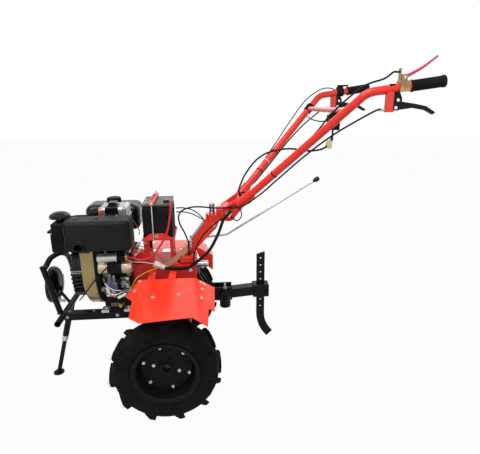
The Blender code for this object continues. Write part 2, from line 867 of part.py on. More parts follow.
def gear_outline(teeth, phase):
    """The outline of a spur gear with straight-sided teeth."""
    pitch = GEAR_MODULE * teeth / 2
    root = pitch - 1.3 * GEAR_MODULE
    tip = pitch + 0.8 * GEAR_MODULE
    step = 2 * math.pi / teeth
    points = []
    for tooth in range(teeth):
        middle = phase + tooth * step
        for radius, share in ((root, -1.45), (tip, -0.62), (tip, 0.62), (root, 1.45)):
            angle = middle + share * TOOTH_SHARE * step / 2
            points.append((radius * math.sin(angle), radius * math.cos(angle)))
    return points


def make_drive(paints, wheels, pinion_pivot):
    """Axle with its final gear, and the pinion that drives it."""
    end = SIDE + HUB_OUTWARD - AXLE_END_RECESS
    half = GEAR_WIDTH / 2
    outline = [(x, AXLE_Z + z) for x, z in gear_outline(GEAR_TEETH, math.pi / GEAR_TEETH)]
    solid(
        "axle_shaft",
        along_y(0, AXLE_Z, -end, end, AXLE_HEX_RADIUS, 6),
        paints["steel"],
        wheels,
        add=[prism(outline, "Y", -half, half)],
    )
    turn = math.pi if PINION_TEETH % 2 == 0 else math.pi + math.pi / PINION_TEETH
    outline = [(x, PINION_Z + z) for x, z in gear_outline(PINION_TEETH, turn)]
    reach = LEG_HALF_WIDTH
    solid(
        "drive_pinion",
        prism(outline, "Y", -half, half),
        paints["steel"],
        pinion_pivot,
        add=[along_y(0, PINION_Z, -reach, reach, PINION_SHAFT_RADIUS)],
    )
    for name, side in (("left", NEAR), ("right", FAR)):
        make_wheel(name + "_wheel", side, paints["black"], wheels)
        make_tyre(name + "_tyre", side, paints["rubber"], wheels)


def make_gearbox(paints, machine):
    """The hollow case with its axle leg, front plate and shift lug."""
    half = CASE_HALF_WIDTH
    outline = [
        (-CASE_FRONT, CASE_BASE),
        (-CASE_FRONT, CASE_TOP),
        (CASE_REAR - CASE_FALL_LENGTH, CASE_TOP),
        (CASE_REAR, case_top(CASE_REAR)),
        (CASE_REAR, CASE_BASE),
    ]
    inner = [
        (-CASE_FRONT + CASE_WALL, CASE_BASE + CASE_WALL),
        (-CASE_FRONT + CASE_WALL, CASE_TOP - CASE_WALL),
        (CASE_REAR - CASE_FALL_LENGTH, CASE_TOP - CASE_WALL),
        (CASE_REAR - CASE_WALL, case_top(CASE_REAR) - CASE_WALL),
        (CASE_REAR - CASE_WALL, CASE_BASE + CASE_WALL),
    ]
    housings = []
    rooms = []
    step_y = -half + CLUTCH_NEAR_WIDTH
    deep = CASE_TOP - 2 * CASE_WALL
    for y0, y1, rise in (
        (-half, step_y, CLUTCH_BULGE),
        (step_y - CASE_WALL, CLUTCH_FAR_EDGE, CLUTCH_FAR_BULGE),
    ):
        top = CASE_TOP + rise
        rear = -CASE_FRONT + CLUTCH_LENGTH
        side = [
            (-CASE_FRONT, deep),
            (-CASE_FRONT, top),
            (rear, top),
            (rear + CLUTCH_SLOPE, CASE_TOP - CASE_WALL / 2),
            (rear + CLUTCH_SLOPE, deep),
        ]
        housings.append(prism(side, "Y", y0, y1))
        rooms.append(
            block(
                -CASE_FRONT + CASE_WALL,
                rear - CASE_WALL,
                y0 + CASE_WALL,
                y1 - CASE_WALL,
                deep - CASE_WALL,
                top - CASE_WALL,
            )
        )
    leg = block(
        -LEG_RADIUS, LEG_RADIUS, -LEG_HALF_WIDTH, LEG_HALF_WIDTH, AXLE_Z, CASE_BASE + CASE_WALL / 2
    )
    foot = along_y(0, AXLE_Z, -LEG_HALF_WIDTH, LEG_HALF_WIDTH, LEG_RADIUS, 24)
    plate = block(
        -CASE_FRONT,
        -CASE_FRONT + FRONT_PLATE_THICK,
        -FRONT_PLATE_HALF_WIDTH,
        FRONT_PLATE_HALF_WIDTH,
        CASE_BASE - FRONT_PLATE_DEPTH,
        CASE_BASE + CASE_WALL,
    )
    shift = shift_pivot()
    lug_y = SHIFT_OUT + SHIFT_EYE_RADIUS / 2 + SEAT
    lug_plate = block(
        shift.x - SHIFT_EYE_RADIUS,
        shift.x + SHIFT_EYE_RADIUS,
        lug_y,
        lug_y + SHIFT_LUG_THICK,
        case_top(shift.x + SHIFT_EYE_RADIUS) - CASE_WALL / 2,
        shift.z + SHIFT_EYE_RADIUS,
    )
    room = LEG_RADIUS - CASE_WALL
    room_half = LEG_HALF_WIDTH - CASE_WALL
    gear_room = along_y(0, AXLE_Z, -room_half, room_half, room, 24)
    throat_half = PITCH_PINION + GEAR_MODULE + GEAR_MARGIN
    throat = block(
        -throat_half, throat_half, -room_half, room_half, AXLE_Z, CASE_BASE + 2 * CASE_WALL
    )
    axle_bore = along_y(0, AXLE_Z, -half, half, AXLE_HEX_RADIUS + RUN, 24)
    pinion_bore = along_y(0, PINION_Z, -half, half, PINION_SHAFT_RADIUS + RUN, 16)
    shift_bore = along_y(shift.x, shift.z, 0, half, SHIFT_PIN_RADIUS + RUN, 12)
    crank_room = bore_radius(CRANK_RADIUS, RUN, 16)
    crank_bore = along_x(
        0, CRANK_Z, -CASE_FRONT - CASE_WALL, -CASE_FRONT + 2 * CASE_WALL, crank_room
    )
    solid(
        "gearbox_case",
        prism(outline, "Y", -half, half),
        paints["red"],
        machine,
        add=[*housings, leg, foot, plate, lug_plate],
        cut=[
            *rooms,
            prism(inner, "Y", -half + CASE_WALL, half - CASE_WALL),
            gear_room,
            throat,
            axle_bore,
            pinion_bore,
            shift_bore,
            crank_bore,
        ],
    )
    pto_z = AXLE_Z + PTO_RISE
    solid(
        "pto_cap",
        along_x(-PTO_OUT, pto_z, CASE_REAR + SEAT, CASE_REAR + SEAT + PTO_LENGTH, PTO_RADIUS),
        paints["chrome"],
        machine,
    )


def make_rails(paints, machine):
    """Engine rails of channel section."""
    for name, side in (("left", NEAR), ("right", FAR)):
        inner = side * RAIL_OFFSET - RAIL_WIDTH / 2
        outer = side * RAIL_OFFSET + RAIL_WIDTH / 2
        base = block(RAIL_FRONT_X, RAIL_REAR_X, inner, outer, RAIL_TOP - RAIL_DEPTH, RAIL_TOP)
        hollow = block(
            RAIL_FRONT_X - 1,
            RAIL_REAR_X + 1,
            inner + RAIL_METAL,
            outer - RAIL_METAL,
            RAIL_TOP - 2 * RAIL_DEPTH,
            RAIL_TOP - RAIL_METAL,
        )
        solid("engine_rail_" + name, base, paints["black"], machine, cut=[hollow])


def make_front(paints, machine):
    """Front cross tube with the stand ears, the bumper and the headlight."""
    half = CROSS_LENGTH / 2
    ears = []
    inner = STAND_SLEEVE_RADIUS + SEAT
    top = Vector((CROSS_X, 0, CROSS_Z))
    side = Vector((STAND_AXIS.z, 0, -STAND_AXIS.x)) * STAND_EAR_RADIUS
    low = STAND_PIVOT + STAND_AXIS * STAND_EAR_RADIUS
    outline = [(p.x, p.z) for p in (top - side, top + side, low + side, low - side)]
    for sign in (NEAR, FAR):
        faces = sorted((sign * inner, sign * (inner + STAND_EAR_THICK)))
        ears.append(prism(outline, "Y", *faces))
    bore = along_y(CROSS_X, CROSS_Z, -half - 1, half + 1, CROSS_RADIUS - CROSS_METAL, 12)
    pin_bore = along_y(STAND_PIVOT.x, STAND_PIVOT.z, -1, 1, STAND_PIN_RADIUS + RUN, 12)
    solid(
        "front_cross_tube",
        along_y(CROSS_X, CROSS_Z, -half, half, CROSS_RADIUS, 16),
        paints["black"],
        machine,
        add=ears,
        cut=[bore, pin_bore],
    )
    wrap = along_y(CROSS_X, CROSS_Z, -half, half, bore_radius(CROSS_RADIUS, SEAT, 16), 16)
    foot = Vector((CROSS_X - CROSS_RADIUS / 2, -HOOP_OFFSET, CROSS_Z))
    shoulder = foot + Vector((-HOOP_LEAN, 0, HOOP_HEIGHT))
    solid(
        "bumper_post",
        swept([foot, shoulder], HOOP_RADIUS),
        paints["black"],
        machine,
        cut=[wrap.copy()],
    )
    lean = (foot - shoulder).normalized()
    start = shoulder + lean * HOOP_RADIUS * 1.2
    rear = Vector((foot.x, HOOP_OFFSET, foot.z))
    route = [
        start,
        start + Vector((0, 0.030, 0.002)),
        start + Vector((0.006, 0.090, 0.022)),
        start + Vector((0.032, 0.165, 0.016)),
        rear + Vector((-0.012, 0, HOOP_HEIGHT * 0.72)),
        rear,
    ]
    joint = rod(foot, shoulder, bore_radius(HOOP_RADIUS, SEAT, 12), 12)
    solid(
        "bumper_hoop",
        swept(smooth(route, 0.035), HOOP_RADIUS),
        paints["black"],
        machine,
        cut=[wrap.copy(), joint],
    )
    make_headlight(paints, machine)


def make_headlight(paints, machine):
    """Round headlight on a short stem from the cross tube."""
    middle = Vector((CROSS_X - LAMP_AHEAD, 0, CROSS_Z + LAMP_RISE))
    profile = [
        (0.0, 0.0),
        (0.0, LAMP_LENS_RADIUS + SEAT),
        (-LAMP_LENS_THICK, LAMP_LENS_RADIUS + SEAT),
        (-LAMP_LENS_THICK, LAMP_RADIUS),
        (LAMP_DEPTH * 0.35, LAMP_RADIUS),
        (LAMP_DEPTH * 0.8, LAMP_RADIUS * 0.7),
        (LAMP_DEPTH, LAMP_RADIUS * 0.3),
        (LAMP_DEPTH, 0.0),
    ]
    stem_top = middle + Vector((LAMP_DEPTH * 0.5, 0, -LAMP_RADIUS * 0.3))
    stem = swept([(CROSS_X, 0, CROSS_Z), stem_top], LAMP_BRACKET_RADIUS, 8)
    wrap = along_y(CROSS_X, CROSS_Z, -0.1, 0.1, bore_radius(CROSS_RADIUS, SEAT, 16), 16)
    solid(
        "headlight",
        turned(profile, middle, X_AXIS, 20),
        paints["black"],
        machine,
        add=[stem],
        cut=[wrap],
    )
    front = [
        (-SEAT, 0.0),
        (-SEAT, LAMP_LENS_RADIUS),
        (-LAMP_LENS_THICK, LAMP_LENS_RADIUS),
        (-LAMP_LENS_THICK - 0.006, LAMP_LENS_RADIUS * 0.6),
        (-LAMP_LENS_THICK - 0.008, 0.0),
    ]
    solid("headlight_lens", turned(front, middle, X_AXIS, 20), paints["glass"], machine)


def make_stand(paints, pivot):
    """Folding stand: sleeve, leg and foot disc in one welded piece."""
    top = STAND_PIVOT - STAND_AXIS * STAND_SLEEVE_RADIUS * 0.6
    collar = STAND_PIVOT + STAND_AXIS * STAND_SLEEVE_LENGTH
    foot = STAND_PIVOT + STAND_AXIS * STAND_LENGTH
    ear_out = STAND_SLEEVE_RADIUS + STAND_EAR_THICK
    solid(
        "stand_leg",
        rod(top, collar, STAND_SLEEVE_RADIUS, 12),
        paints["black"],
        pivot,
        add=[
            rod(STAND_PIVOT, foot, STAND_LEG_RADIUS, 12),
            along_z(foot.x, 0, 0, FOOT_THICK, FOOT_RADIUS, 20),
            along_y(STAND_PIVOT.x, STAND_PIVOT.z, -ear_out, ear_out, STAND_PIN_RADIUS, 12),
        ],
        cut=[block(foot.x - 0.2, foot.x + 0.2, -0.1, 0.1, -0.1, 0.0)],
    )


def arch(half, top, steps):
    """Outline of a round-bottomed housing round the crank, seen from the front."""
    return arc((0, CRANK_Z), half, math.pi, 2 * math.pi, steps) + [
        (half, CRANK_Z + top),
        (-half, CRANK_Z + top),
    ]


def make_engine_block(paints, machine):
    """Hollow block with back plate, finned barrel, feet and injection pump."""
    half = BLOCK_HALF_WIDTH
    base = block(BLOCK_FRONT_X, BLOCK_REAR_X, -half, half, BLOCK_BASE, BLOCK_TOP, 0.006)
    back = prism(
        arch(BLOWER_HALF_WIDTH - 0.004, BLOWER_TOP - 0.004, 18),
        "X",
        BACK_FRONT_X,
        BACK_FRONT_X + BACK_PLATE_THICK,
    )
    barrel = along_z(BLOCK_MID_X, 0, BLOCK_TOP - BLOCK_WALL, HEAD_BASE - SEAT, BARREL_RADIUS, 16)
    fins = []
    pitch = BARREL_HEIGHT / (FIN_COUNT + 0.5)
    for step in range(FIN_COUNT):
        low = BLOCK_TOP + pitch * (step + 0.6)
        fins.append(along_z(BLOCK_MID_X, 0, low, low + FIN_THICK, FIN_RADIUS, 16))
    foot = block(
        BLOCK_FRONT_X + 0.010,
        BLOCK_REAR_X - 0.010,
        -half - BLOCK_FOOT_WIDTH,
        half + BLOCK_FOOT_WIDTH,
        BLOCK_BASE,
        BLOCK_BASE + BLOCK_FOOT_THICK,
    )
    pump = block(
        BLOCK_MID_X - PUMP_LENGTH / 2,
        BLOCK_MID_X + PUMP_LENGTH / 2,
        -half - PUMP_OUT,
        -half + BLOCK_WALL,
        CRANK_Z - 0.100,
        CRANK_Z - 0.100 + PUMP_HEIGHT,
        0.006,
    )
    room = block(
        BLOCK_FRONT_X + BLOCK_WALL,
        BLOCK_REAR_X - BLOCK_WALL,
        -half + BLOCK_WALL,
        half - BLOCK_WALL,
        BLOCK_BASE + BLOCK_WALL,
        BLOCK_TOP - BLOCK_WALL,
    )
    crank_room = bore_radius(CRANK_RADIUS, RUN, 16)
    bore = along_x(0, CRANK_Z, BACK_FRONT_X - 0.1, BLOCK_REAR_X + 0.1, crank_room)
    solid(
        "engine_block",
        base,
        paints["grey"],
        machine,
        add=[back, barrel, joined(fins), foot, pump],
        cut=[room, bore],
    )


def make_crank(paints, pivot):
    """Crankshaft with its webs, and the flywheel."""
    flywheel_x = BLOWER_REAR_X - 0.010
    hub_front = flywheel_x - FLYWHEEL_THICK
    end = -CASE_FRONT + CASE_WALL
    web = CRANK_WEB_THICK
    first = BLOCK_MID_X - 1.5 * web
    webs = [
        along_x(0, CRANK_Z, first, first + web, CRANK_WEB_RADIUS, 14),
        along_x(0, CRANK_Z, first + 2 * web, first + 3 * web, CRANK_WEB_RADIUS, 14),
        along_x(0, CRANK_Z + CRANK_THROW, first, first + 3 * web, CRANK_PIN_RADIUS),
    ]
    solid(
        "crankshaft",
        along_x(0, CRANK_Z, hub_front, end, CRANK_RADIUS),
        paints["steel"],
        pivot,
        add=webs,
    )
    profile = [
        (0.0, CRANK_RADIUS + SEAT),
        (0.0, FLYWHEEL_RADIUS),
        (-FLYWHEEL_THICK, FLYWHEEL_RADIUS),
        (-FLYWHEEL_THICK, FLYWHEEL_RADIUS * 0.8),
        (-FLYWHEEL_THICK * 0.5, FLYWHEEL_RADIUS * 0.7),
        (-FLYWHEEL_THICK * 0.5, CRANK_RADIUS * 2),
        (-FLYWHEEL_THICK, CRANK_RADIUS * 2),
        (-FLYWHEEL_THICK, CRANK_RADIUS + SEAT),
    ]
    solid("flywheel", turned(profile, (flywheel_x, 0, CRANK_Z), X_AXIS, 24), paints["grey"], pivot)


def make_blower(paints, machine):
    """Blower housing and the ribbed recoil starter cover."""
    wall = BLOWER_WALL
    inside = prism(
        arch(BLOWER_HALF_WIDTH - wall, BLOWER_TOP - wall, 18),
        "X",
        BLOWER_FRONT_X + wall,
        BLOWER_REAR_X + 1,
    )
    eye = along_x(0, CRANK_Z, BLOWER_FRONT_X - 1, BLOWER_REAR_X, RECOIL_RADIUS - 0.014, 24)
    solid(
        "blower_housing",
        prism(arch(BLOWER_HALF_WIDTH, BLOWER_TOP, 18), "X", BLOWER_FRONT_X, BLOWER_REAR_X),
        paints["gold"],
        machine,
        cut=[inside, eye],
    )
    outline = []
    step = 2 * math.pi / RECOIL_RIBS
    for rib in range(RECOIL_RIBS):
        for share, drop in ((0.0, 0.0), (0.5, 0.0), (0.6, RECOIL_RIB_DEPTH), (0.9, RECOIL_RIB_DEPTH)):
            angle = (rib + share) * step
            radius = RECOIL_RADIUS - drop
            outline.append((radius * math.cos(angle), CRANK_Z + radius * math.sin(angle)))
    rear = BLOWER_FRONT_X - SEAT
    inner = along_x(
        0,
        CRANK_Z,
        RECOIL_FRONT_X + RECOIL_WALL,
        rear + 1,
        RECOIL_RADIUS - RECOIL_RIB_DEPTH - RECOIL_WALL,
        24,
    )
    solid(
        "recoil_cover",
        prism(outline, "X", RECOIL_FRONT_X, rear),
        paints["black"],
        machine,
        cut=[inner],
    )


def make_head(paints, machine, decompress):
    """Cylinder head with its cover and breather, and the decompression lever."""
    x0 = BLOCK_MID_X - HEAD_LENGTH / 2
    x1 = BLOCK_MID_X + HEAD_LENGTH / 2
    pivot = decomp_pivot()
    breather = block(
        BLOCK_MID_X - BREATHER_LENGTH / 2,
        BLOCK_MID_X + BREATHER_LENGTH / 2,
        -0.040,
        0.0,
        HEAD_TOP - HEAD_ROUND,
        HEAD_TOP + BREATHER_HEIGHT,
        0.003,
    )
    bore = along_y(
        pivot.x, pivot.z, -HEAD_HALF_WIDTH - 1, -HEAD_HALF_WIDTH + 0.012, DECOMP_PIN_RADIUS + RUN, 12
    )
    solid(
        "cylinder_head",
        block(x0, x1, -HEAD_HALF_WIDTH, HEAD_HALF_WIDTH, HEAD_BASE, HEAD_TOP, HEAD_ROUND, 2),
        paints["silver"],
        machine,
        add=[breather],
        cut=[bore],
    )
    face = -HEAD_HALF_WIDTH - SEAT
    root = Vector((pivot.x, face - DECOMP_THICK / 2, pivot.z))
    tip = root + Vector((0, 0, DECOMP_REACH))
    solid(
        "decompression_lever",
        along_y(pivot.x, pivot.z, face - DECOMP_THICK, face, DECOMP_RADIUS, 12),
        paints["orange"],
        decompress,
        add=[
            rod(root, tip, DECOMP_PIN_RADIUS * 0.875, 8),
            along_y(tip.x, tip.z, face - DECOMP_THICK - 0.004, face, DECOMP_RADIUS * 0.75, 12),
            along_y(pivot.x, pivot.z, face - 0.001, face + 0.010, DECOMP_PIN_RADIUS, 12),
        ],
    )


def decomp_pivot():
    """Pivot of the decompression lever on the near side of the head."""
    return Vector((BLOCK_MID_X - HEAD_LENGTH / 2 + 0.018, -HEAD_HALF_WIDTH, HEAD_BASE + 0.030))


def make_exhaust(paints, machine):
    """Hollow muffler with its outlet stub and the pipe to the head."""
    inner = -MUFFLER_OUT
    outer = -MUFFLER_OUT - MUFFLER_WIDTH
    top = MUFFLER_BASE + MUFFLER_HEIGHT
    metal = MUFFLER_METAL
    stub_x = MUFFLER_FRONT_X + STUB_FROM_FRONT
    stub_z = MUFFLER_BASE + STUB_RISE
    pipe_z = HEAD_BASE + EXHAUST_RADIUS + 0.006
    stub = along_y(stub_x, stub_z, outer - STUB_LENGTH, outer + 0.010, STUB_RADIUS)
    stub_bore = along_y(stub_x, stub_z, outer - 1, outer + 0.02, STUB_RADIUS - metal)
    pipe = along_y(BLOCK_MID_X, pipe_z, inner - 0.010, -HEAD_HALF_WIDTH - SEAT, EXHAUST_RADIUS)
    room = block(
        MUFFLER_FRONT_X + metal,
        -MUFFLER_REAR - metal,
        outer + metal,
        inner - metal,
        MUFFLER_BASE + metal,
        top - metal,
        MUFFLER_ROUND - metal / 2,
        2,
    )
    shell = block(
        MUFFLER_FRONT_X, -MUFFLER_REAR, outer, inner, MUFFLER_BASE, top, MUFFLER_ROUND, 2
    )
    solid("muffler", shell, paints["black"], machine, add=[stub, pipe], cut=[room, stub_bore])


def make_cleaner(paints, machine):
    """Stepped air cleaner with its duct to the head, and the rain cap."""
    x0 = CLEANER_REAR_X - CLEANER_LENGTH
    y1 = -CLEANER_OUT
    y0 = y1 - CLEANER_WIDTH
    top = CLEANER_BASE + CLEANER_HEIGHT
    low_top = CLEANER_BASE + CLEANER_HEIGHT * 0.55
    upper = block(
        x0 + CLEANER_STEP, CLEANER_REAR_X, y0, y1, low_top - CLEANER_STEP, top, 0.006
    )
    middle_y = y1 - CLEANER_WIDTH / 2
    duct_z = HEAD_BASE + HEAD_HEIGHT * 0.5
    low_z = duct_z - DUCT_DROP
    head_x = BLOCK_MID_X - HEAD_LENGTH / 2 - SEAT
    route = [
        (CLEANER_REAR_X - CLEANER_LENGTH / 2, y1 - CLEANER_WIDTH * 0.2, low_z),
        (CLEANER_REAR_X - DUCT_RADIUS, 0, low_z),
        (head_x - 2 * DUCT_RADIUS, 0, low_z),
        (head_x - DUCT_RADIUS * 1.2, 0, duct_z),
        (head_x, 0, duct_z),
    ]
    duct = swept(rounded(route, 0.030), DUCT_RADIUS, 12)
    solid(
        "air_cleaner",
        block(x0, CLEANER_REAR_X, y0 + CLEANER_STEP, y1, CLEANER_BASE, low_top, 0.006),
        paints["plastic"],
        machine,
        add=[upper, duct],
    )
    profile = [
        (SEAT, 0.0),
        (SEAT, RAIN_STEM_RADIUS),
        (RAIN_STEM_HEIGHT, RAIN_STEM_RADIUS),
        (RAIN_STEM_HEIGHT, RAIN_CAP_RADIUS * 0.93),
        (RAIN_STEM_HEIGHT + 0.004, RAIN_CAP_RADIUS),
        (RAIN_STEM_HEIGHT + 0.014, RAIN_CAP_RADIUS * 0.96),
        (RAIN_CAP_HEIGHT * 0.85, RAIN_CAP_RADIUS * 0.62),
        (RAIN_CAP_HEIGHT, RAIN_CAP_RADIUS * 0.3),
        (RAIN_CAP_HEIGHT, 0.0),
    ]
    cap_x = CLEANER_REAR_X - CLEANER_LENGTH / 2 + CLEANER_STEP / 2
    solid("rain_cap", turned(profile, (cap_x, middle_y, top), Z_AXIS, 12), paints["plastic"], machine)


def cap_place():
    """Middle of the filler on the fuel tank."""
    return Vector((-TANK_REAR - TANK_LENGTH / 2, TANK_OUT + TANK_WIDTH / 2, TANK_TOP))


def make_tank(paints, machine, cap_pivot):
    """Fuel tank on two feet, with its screw cap."""
    x1 = -TANK_REAR
    x0 = x1 - TANK_LENGTH
    feet = []
    for middle in (BLOCK_REAR_X - BLOCK_LENGTH * 0.25, BLOCK_REAR_X - BLOCK_LENGTH * 0.75):
        feet.append(
            block(
                middle - TANK_FOOT / 2,
                middle + TANK_FOOT / 2,
                TANK_OUT + TANK_ROUND * 0.4,
                BLOCK_HALF_WIDTH - 0.008,
                BLOCK_TOP + SEAT,
                TANK_BASE + TANK_ROUND,
            )
        )
    cap = cap_place()
    well = along_z(cap.x, cap.y, cap.z - CAP_STUD_LENGTH - 0.004, cap.z + 1, CAP_STUD_RADIUS + RUN)
    solid(
        "fuel_tank",
        block(x0, x1, TANK_OUT, TANK_OUT + TANK_WIDTH, TANK_BASE, TANK_TOP, TANK_ROUND, 3),
        paints["black"],
        machine,
        add=[joined(feet)],
        cut=[well],
    )
    solid(
        "fuel_cap",
        along_z(cap.x, cap.y, cap.z + SEAT, cap.z + SEAT + CAP_HEIGHT, CAP_RADIUS, 16),
        paints["black"],
        cap_pivot,
        add=[along_z(cap.x, cap.y, cap.z - CAP_STUD_LENGTH, cap.z + 0.002, CAP_STUD_RADIUS, 16)],
    )


def make_starter(paints, machine):
    """Electric starter with its solenoid, flanged to the back plate."""
    x0 = BACK_FRONT_X + BACK_PLATE_THICK + SEAT
    z = CRANK_Z + STARTER_RISE
    solenoid_z = CRANK_Z + SOLENOID_RISE
    bridge = block(
        x0, x0 + 0.030, -STARTER_OUT - 0.016, -STARTER_OUT + 0.010, z, solenoid_z, 0.003
    )
    solid(
        "starter_motor",
        along_x(-STARTER_OUT, z, x0, x0 + STARTER_LENGTH, STARTER_RADIUS, 20),
        paints["silver"],
        machine,
        add=[
            along_x(-SOLENOID_OUT, solenoid_z, x0, x0 + SOLENOID_LENGTH, SOLENOID_RADIUS, 16),
            bridge,
        ],
    )


def make_battery(paints, machine):
    """Battery, its tray on the gearbox and the hold-down bar."""
    x0 = -BATTERY_LEFT
    x1 = x0 + BATTERY_LENGTH
    y0 = -BATTERY_OUT
    y1 = y0 + BATTERY_WIDTH
    posts = []
    for x in (x0 + 0.020, x1 - 0.020):
        posts.append(
            along_z(x, y0 + 0.024, BATTERY_TOP - 0.004, BATTERY_TOP + POST_HEIGHT, POST_RADIUS, 12)
        )
    solid(
        "battery",
        block(x0, x1, y0, y1, BATTERY_BASE, BATTERY_TOP, BATTERY_ROUND),
        paints["plastic"],
        machine,
        add=[joined(posts)],
    )
    side = TRAY_MARGIN + TRAY_METAL
    floor = TRAY_FLOOR - TRAY_METAL
    lip = TRAY_FLOOR + TRAY_LIP
    outline = [
        (y0 - side, floor),
        (y1 + side, floor),
        (y1 + side, lip),
        (y1 + side - TRAY_METAL, lip),
        (y1 + side - TRAY_METAL, TRAY_FLOOR),
        (y0 - side + TRAY_METAL, TRAY_FLOOR),
        (y0 - side + TRAY_METAL, lip),
        (y0 - side, lip),
    ]
    base = prism(outline, "X", x0 - side, x1 + side)
    legs = []
    front_x = -CASE_FRONT + CLUTCH_LENGTH - TRAY_LEG_WIDTH
    rear_x = x1 - TRAY_LEG_WIDTH - TRAY_METAL
    high = TRAY_FLOOR - TRAY_METAL / 2
    near_y = -CASE_HALF_WIDTH + CASE_WALL
    far_y = y1 - TRAY_LEG
    steps = {near_y: CLUTCH_BULGE, far_y: CLUTCH_FAR_BULGE}
    for y, rise in steps.items():
        for x, low in ((front_x, CASE_TOP + rise), (rear_x, case_top(rear_x))):
            legs.append(block(x, x + TRAY_LEG_WIDTH, y, y + TRAY_LEG, low + SEAT, high))
    middle = (x0 + x1) / 2 + CLAMP_SHIFT
    solid("battery_tray", base, paints["red"], machine, add=[joined(legs)])
    y_near = y0 - side - CLAMP_ROD_RADIUS - SEAT
    y_far = y1 + side + CLAMP_ROD_RADIUS + SEAT
    bar_low = BATTERY_TOP + SEAT
    bar = block(
        middle - CLAMP_WIDTH / 2,
        middle + CLAMP_WIDTH / 2,
        y_near - CLAMP_ROD_RADIUS * 2,
        y_far + CLAMP_ROD_RADIUS * 2,
        bar_low,
        bar_low + CLAMP_THICK,
    )
    uprights = []
    for y in (y_near, y_far):
        uprights.append(along_z(middle, y, floor, bar_low + CLAMP_THICK + 0.016, CLAMP_ROD_RADIUS, 8))
    solid("battery_clamp", bar, paints["red"], machine, add=[joined(uprights)])


def folded(quads):
    """A sheet of metal made of flat panels that share their fold lines."""
    shape = bmesh.new()
    made = {}

    def corner(point):
        key = tuple(round(value, 6) for value in point)
        if key not in made:
            made[key] = shape.verts.new(point)
        return made[key]

    for panel in quads:
        shape.faces.new([corner(point) for point in panel])
    bmesh.ops.recalc_face_normals(shape, faces=shape.faces)
    if sum(face.normal.z for face in shape.faces) < 0:
        bmesh.ops.reverse_faces(shape, faces=shape.faces)
    mesh = bpy.data.meshes.new("sheet")
    shape.to_mesh(mesh)
    shape.free()
    return mesh


def make_fender(name, side, material, machine):
    """A folded fender: two inner tabs, sloping top, rear flap and inner skirt."""
    z0 = FENDER_Z
    tab_end = CASE_HALF_WIDTH + SEAT + 0.0005
    inner = FENDER_INNER
    front = -FENDER_FRONT
    rear = FENDER_REAR

    def spot(x, share):
        y = inner + (FENDER_OUTER - inner) * share
        return Vector((x, y, z0 - FENDER_DROP * share))

    top_rear = spot(rear, 0.0)
    low_rear = spot(rear - 0.006, 0.93)
    inner_edge = [spot(front + 0.023, 0.0)]
    panels = []
    for x in FENDER_TABS:
        ends = [spot(x, 0.0), spot(x + FENDER_TAB_WIDTH, 0.0)]
        roots = [Vector((end.x, tab_end, end.z)) for end in ends]
        panels.append([roots[0], roots[1], ends[1], ends[0]])
        inner_edge += ends
    lower_edge = [
        spot(front + 0.062, 1.0),
        spot(front + 0.019, 0.886),
        spot(front + 0.016, 0.518),
        spot(front - 0.012, 0.410),
    ]
    panels.append(inner_edge + [top_rear, low_rear] + lower_edge)
    fold = low_rear - top_rear
    down = Vector((FENDER_FLAP, 0, -FENDER_FLAP_DROP))

    def flap(along, share):
        return top_rear + fold * along + down * share

    panels.append([top_rear, flap(0, 1), flap(0.625, 1), flap(0.63, 0.72), flap(1.04, 0.70), low_rear])
    low = flap(0, 1) - Vector((0.002, 0, FENDER_SKIRT))
    panels.append([top_rear, low + Vector((-0.063, 0, 0.055)), low, flap(0, 1)])
    panels = [[Vector((p.x, side * p.y, p.z)) for p in panel] for panel in panels]
    fender = solid(name, folded(panels), material, machine)
    sheet = fender.modifiers.new("metal", "SOLIDIFY")
    sheet.thickness = FENDER_METAL
    sheet.offset = -1
    sheet.use_even_offset = True
    return fender


def arm_outline():
    """Side outline of the column arm, from its foot on the case to its top."""
    foot_front = BATTERY_LENGTH - BATTERY_LEFT + TRAY_MARGIN
    foot_rear = CASE_REAR - 0.004
    return [
        (foot_front, case_top(foot_front) + SEAT),
        (foot_rear, case_top(foot_rear) + SEAT),
        (foot_rear, ARM_TOP - 0.138),
        (ARM_TOP_X - 0.055, ARM_TOP - 0.078),
        (ARM_TOP_X - 0.010, ARM_TOP - 0.033),
        (ARM_TOP_X, ARM_TOP - 0.010),
        (ARM_TOP_X, ARM_TOP),
        (SWIVEL_X - 0.032, ARM_TOP),
        (0.104, ARM_TOP - 0.103),
        (foot_front + 0.030, ARM_TOP - 0.145),
        (foot_front, ARM_TOP - 0.165),
    ]


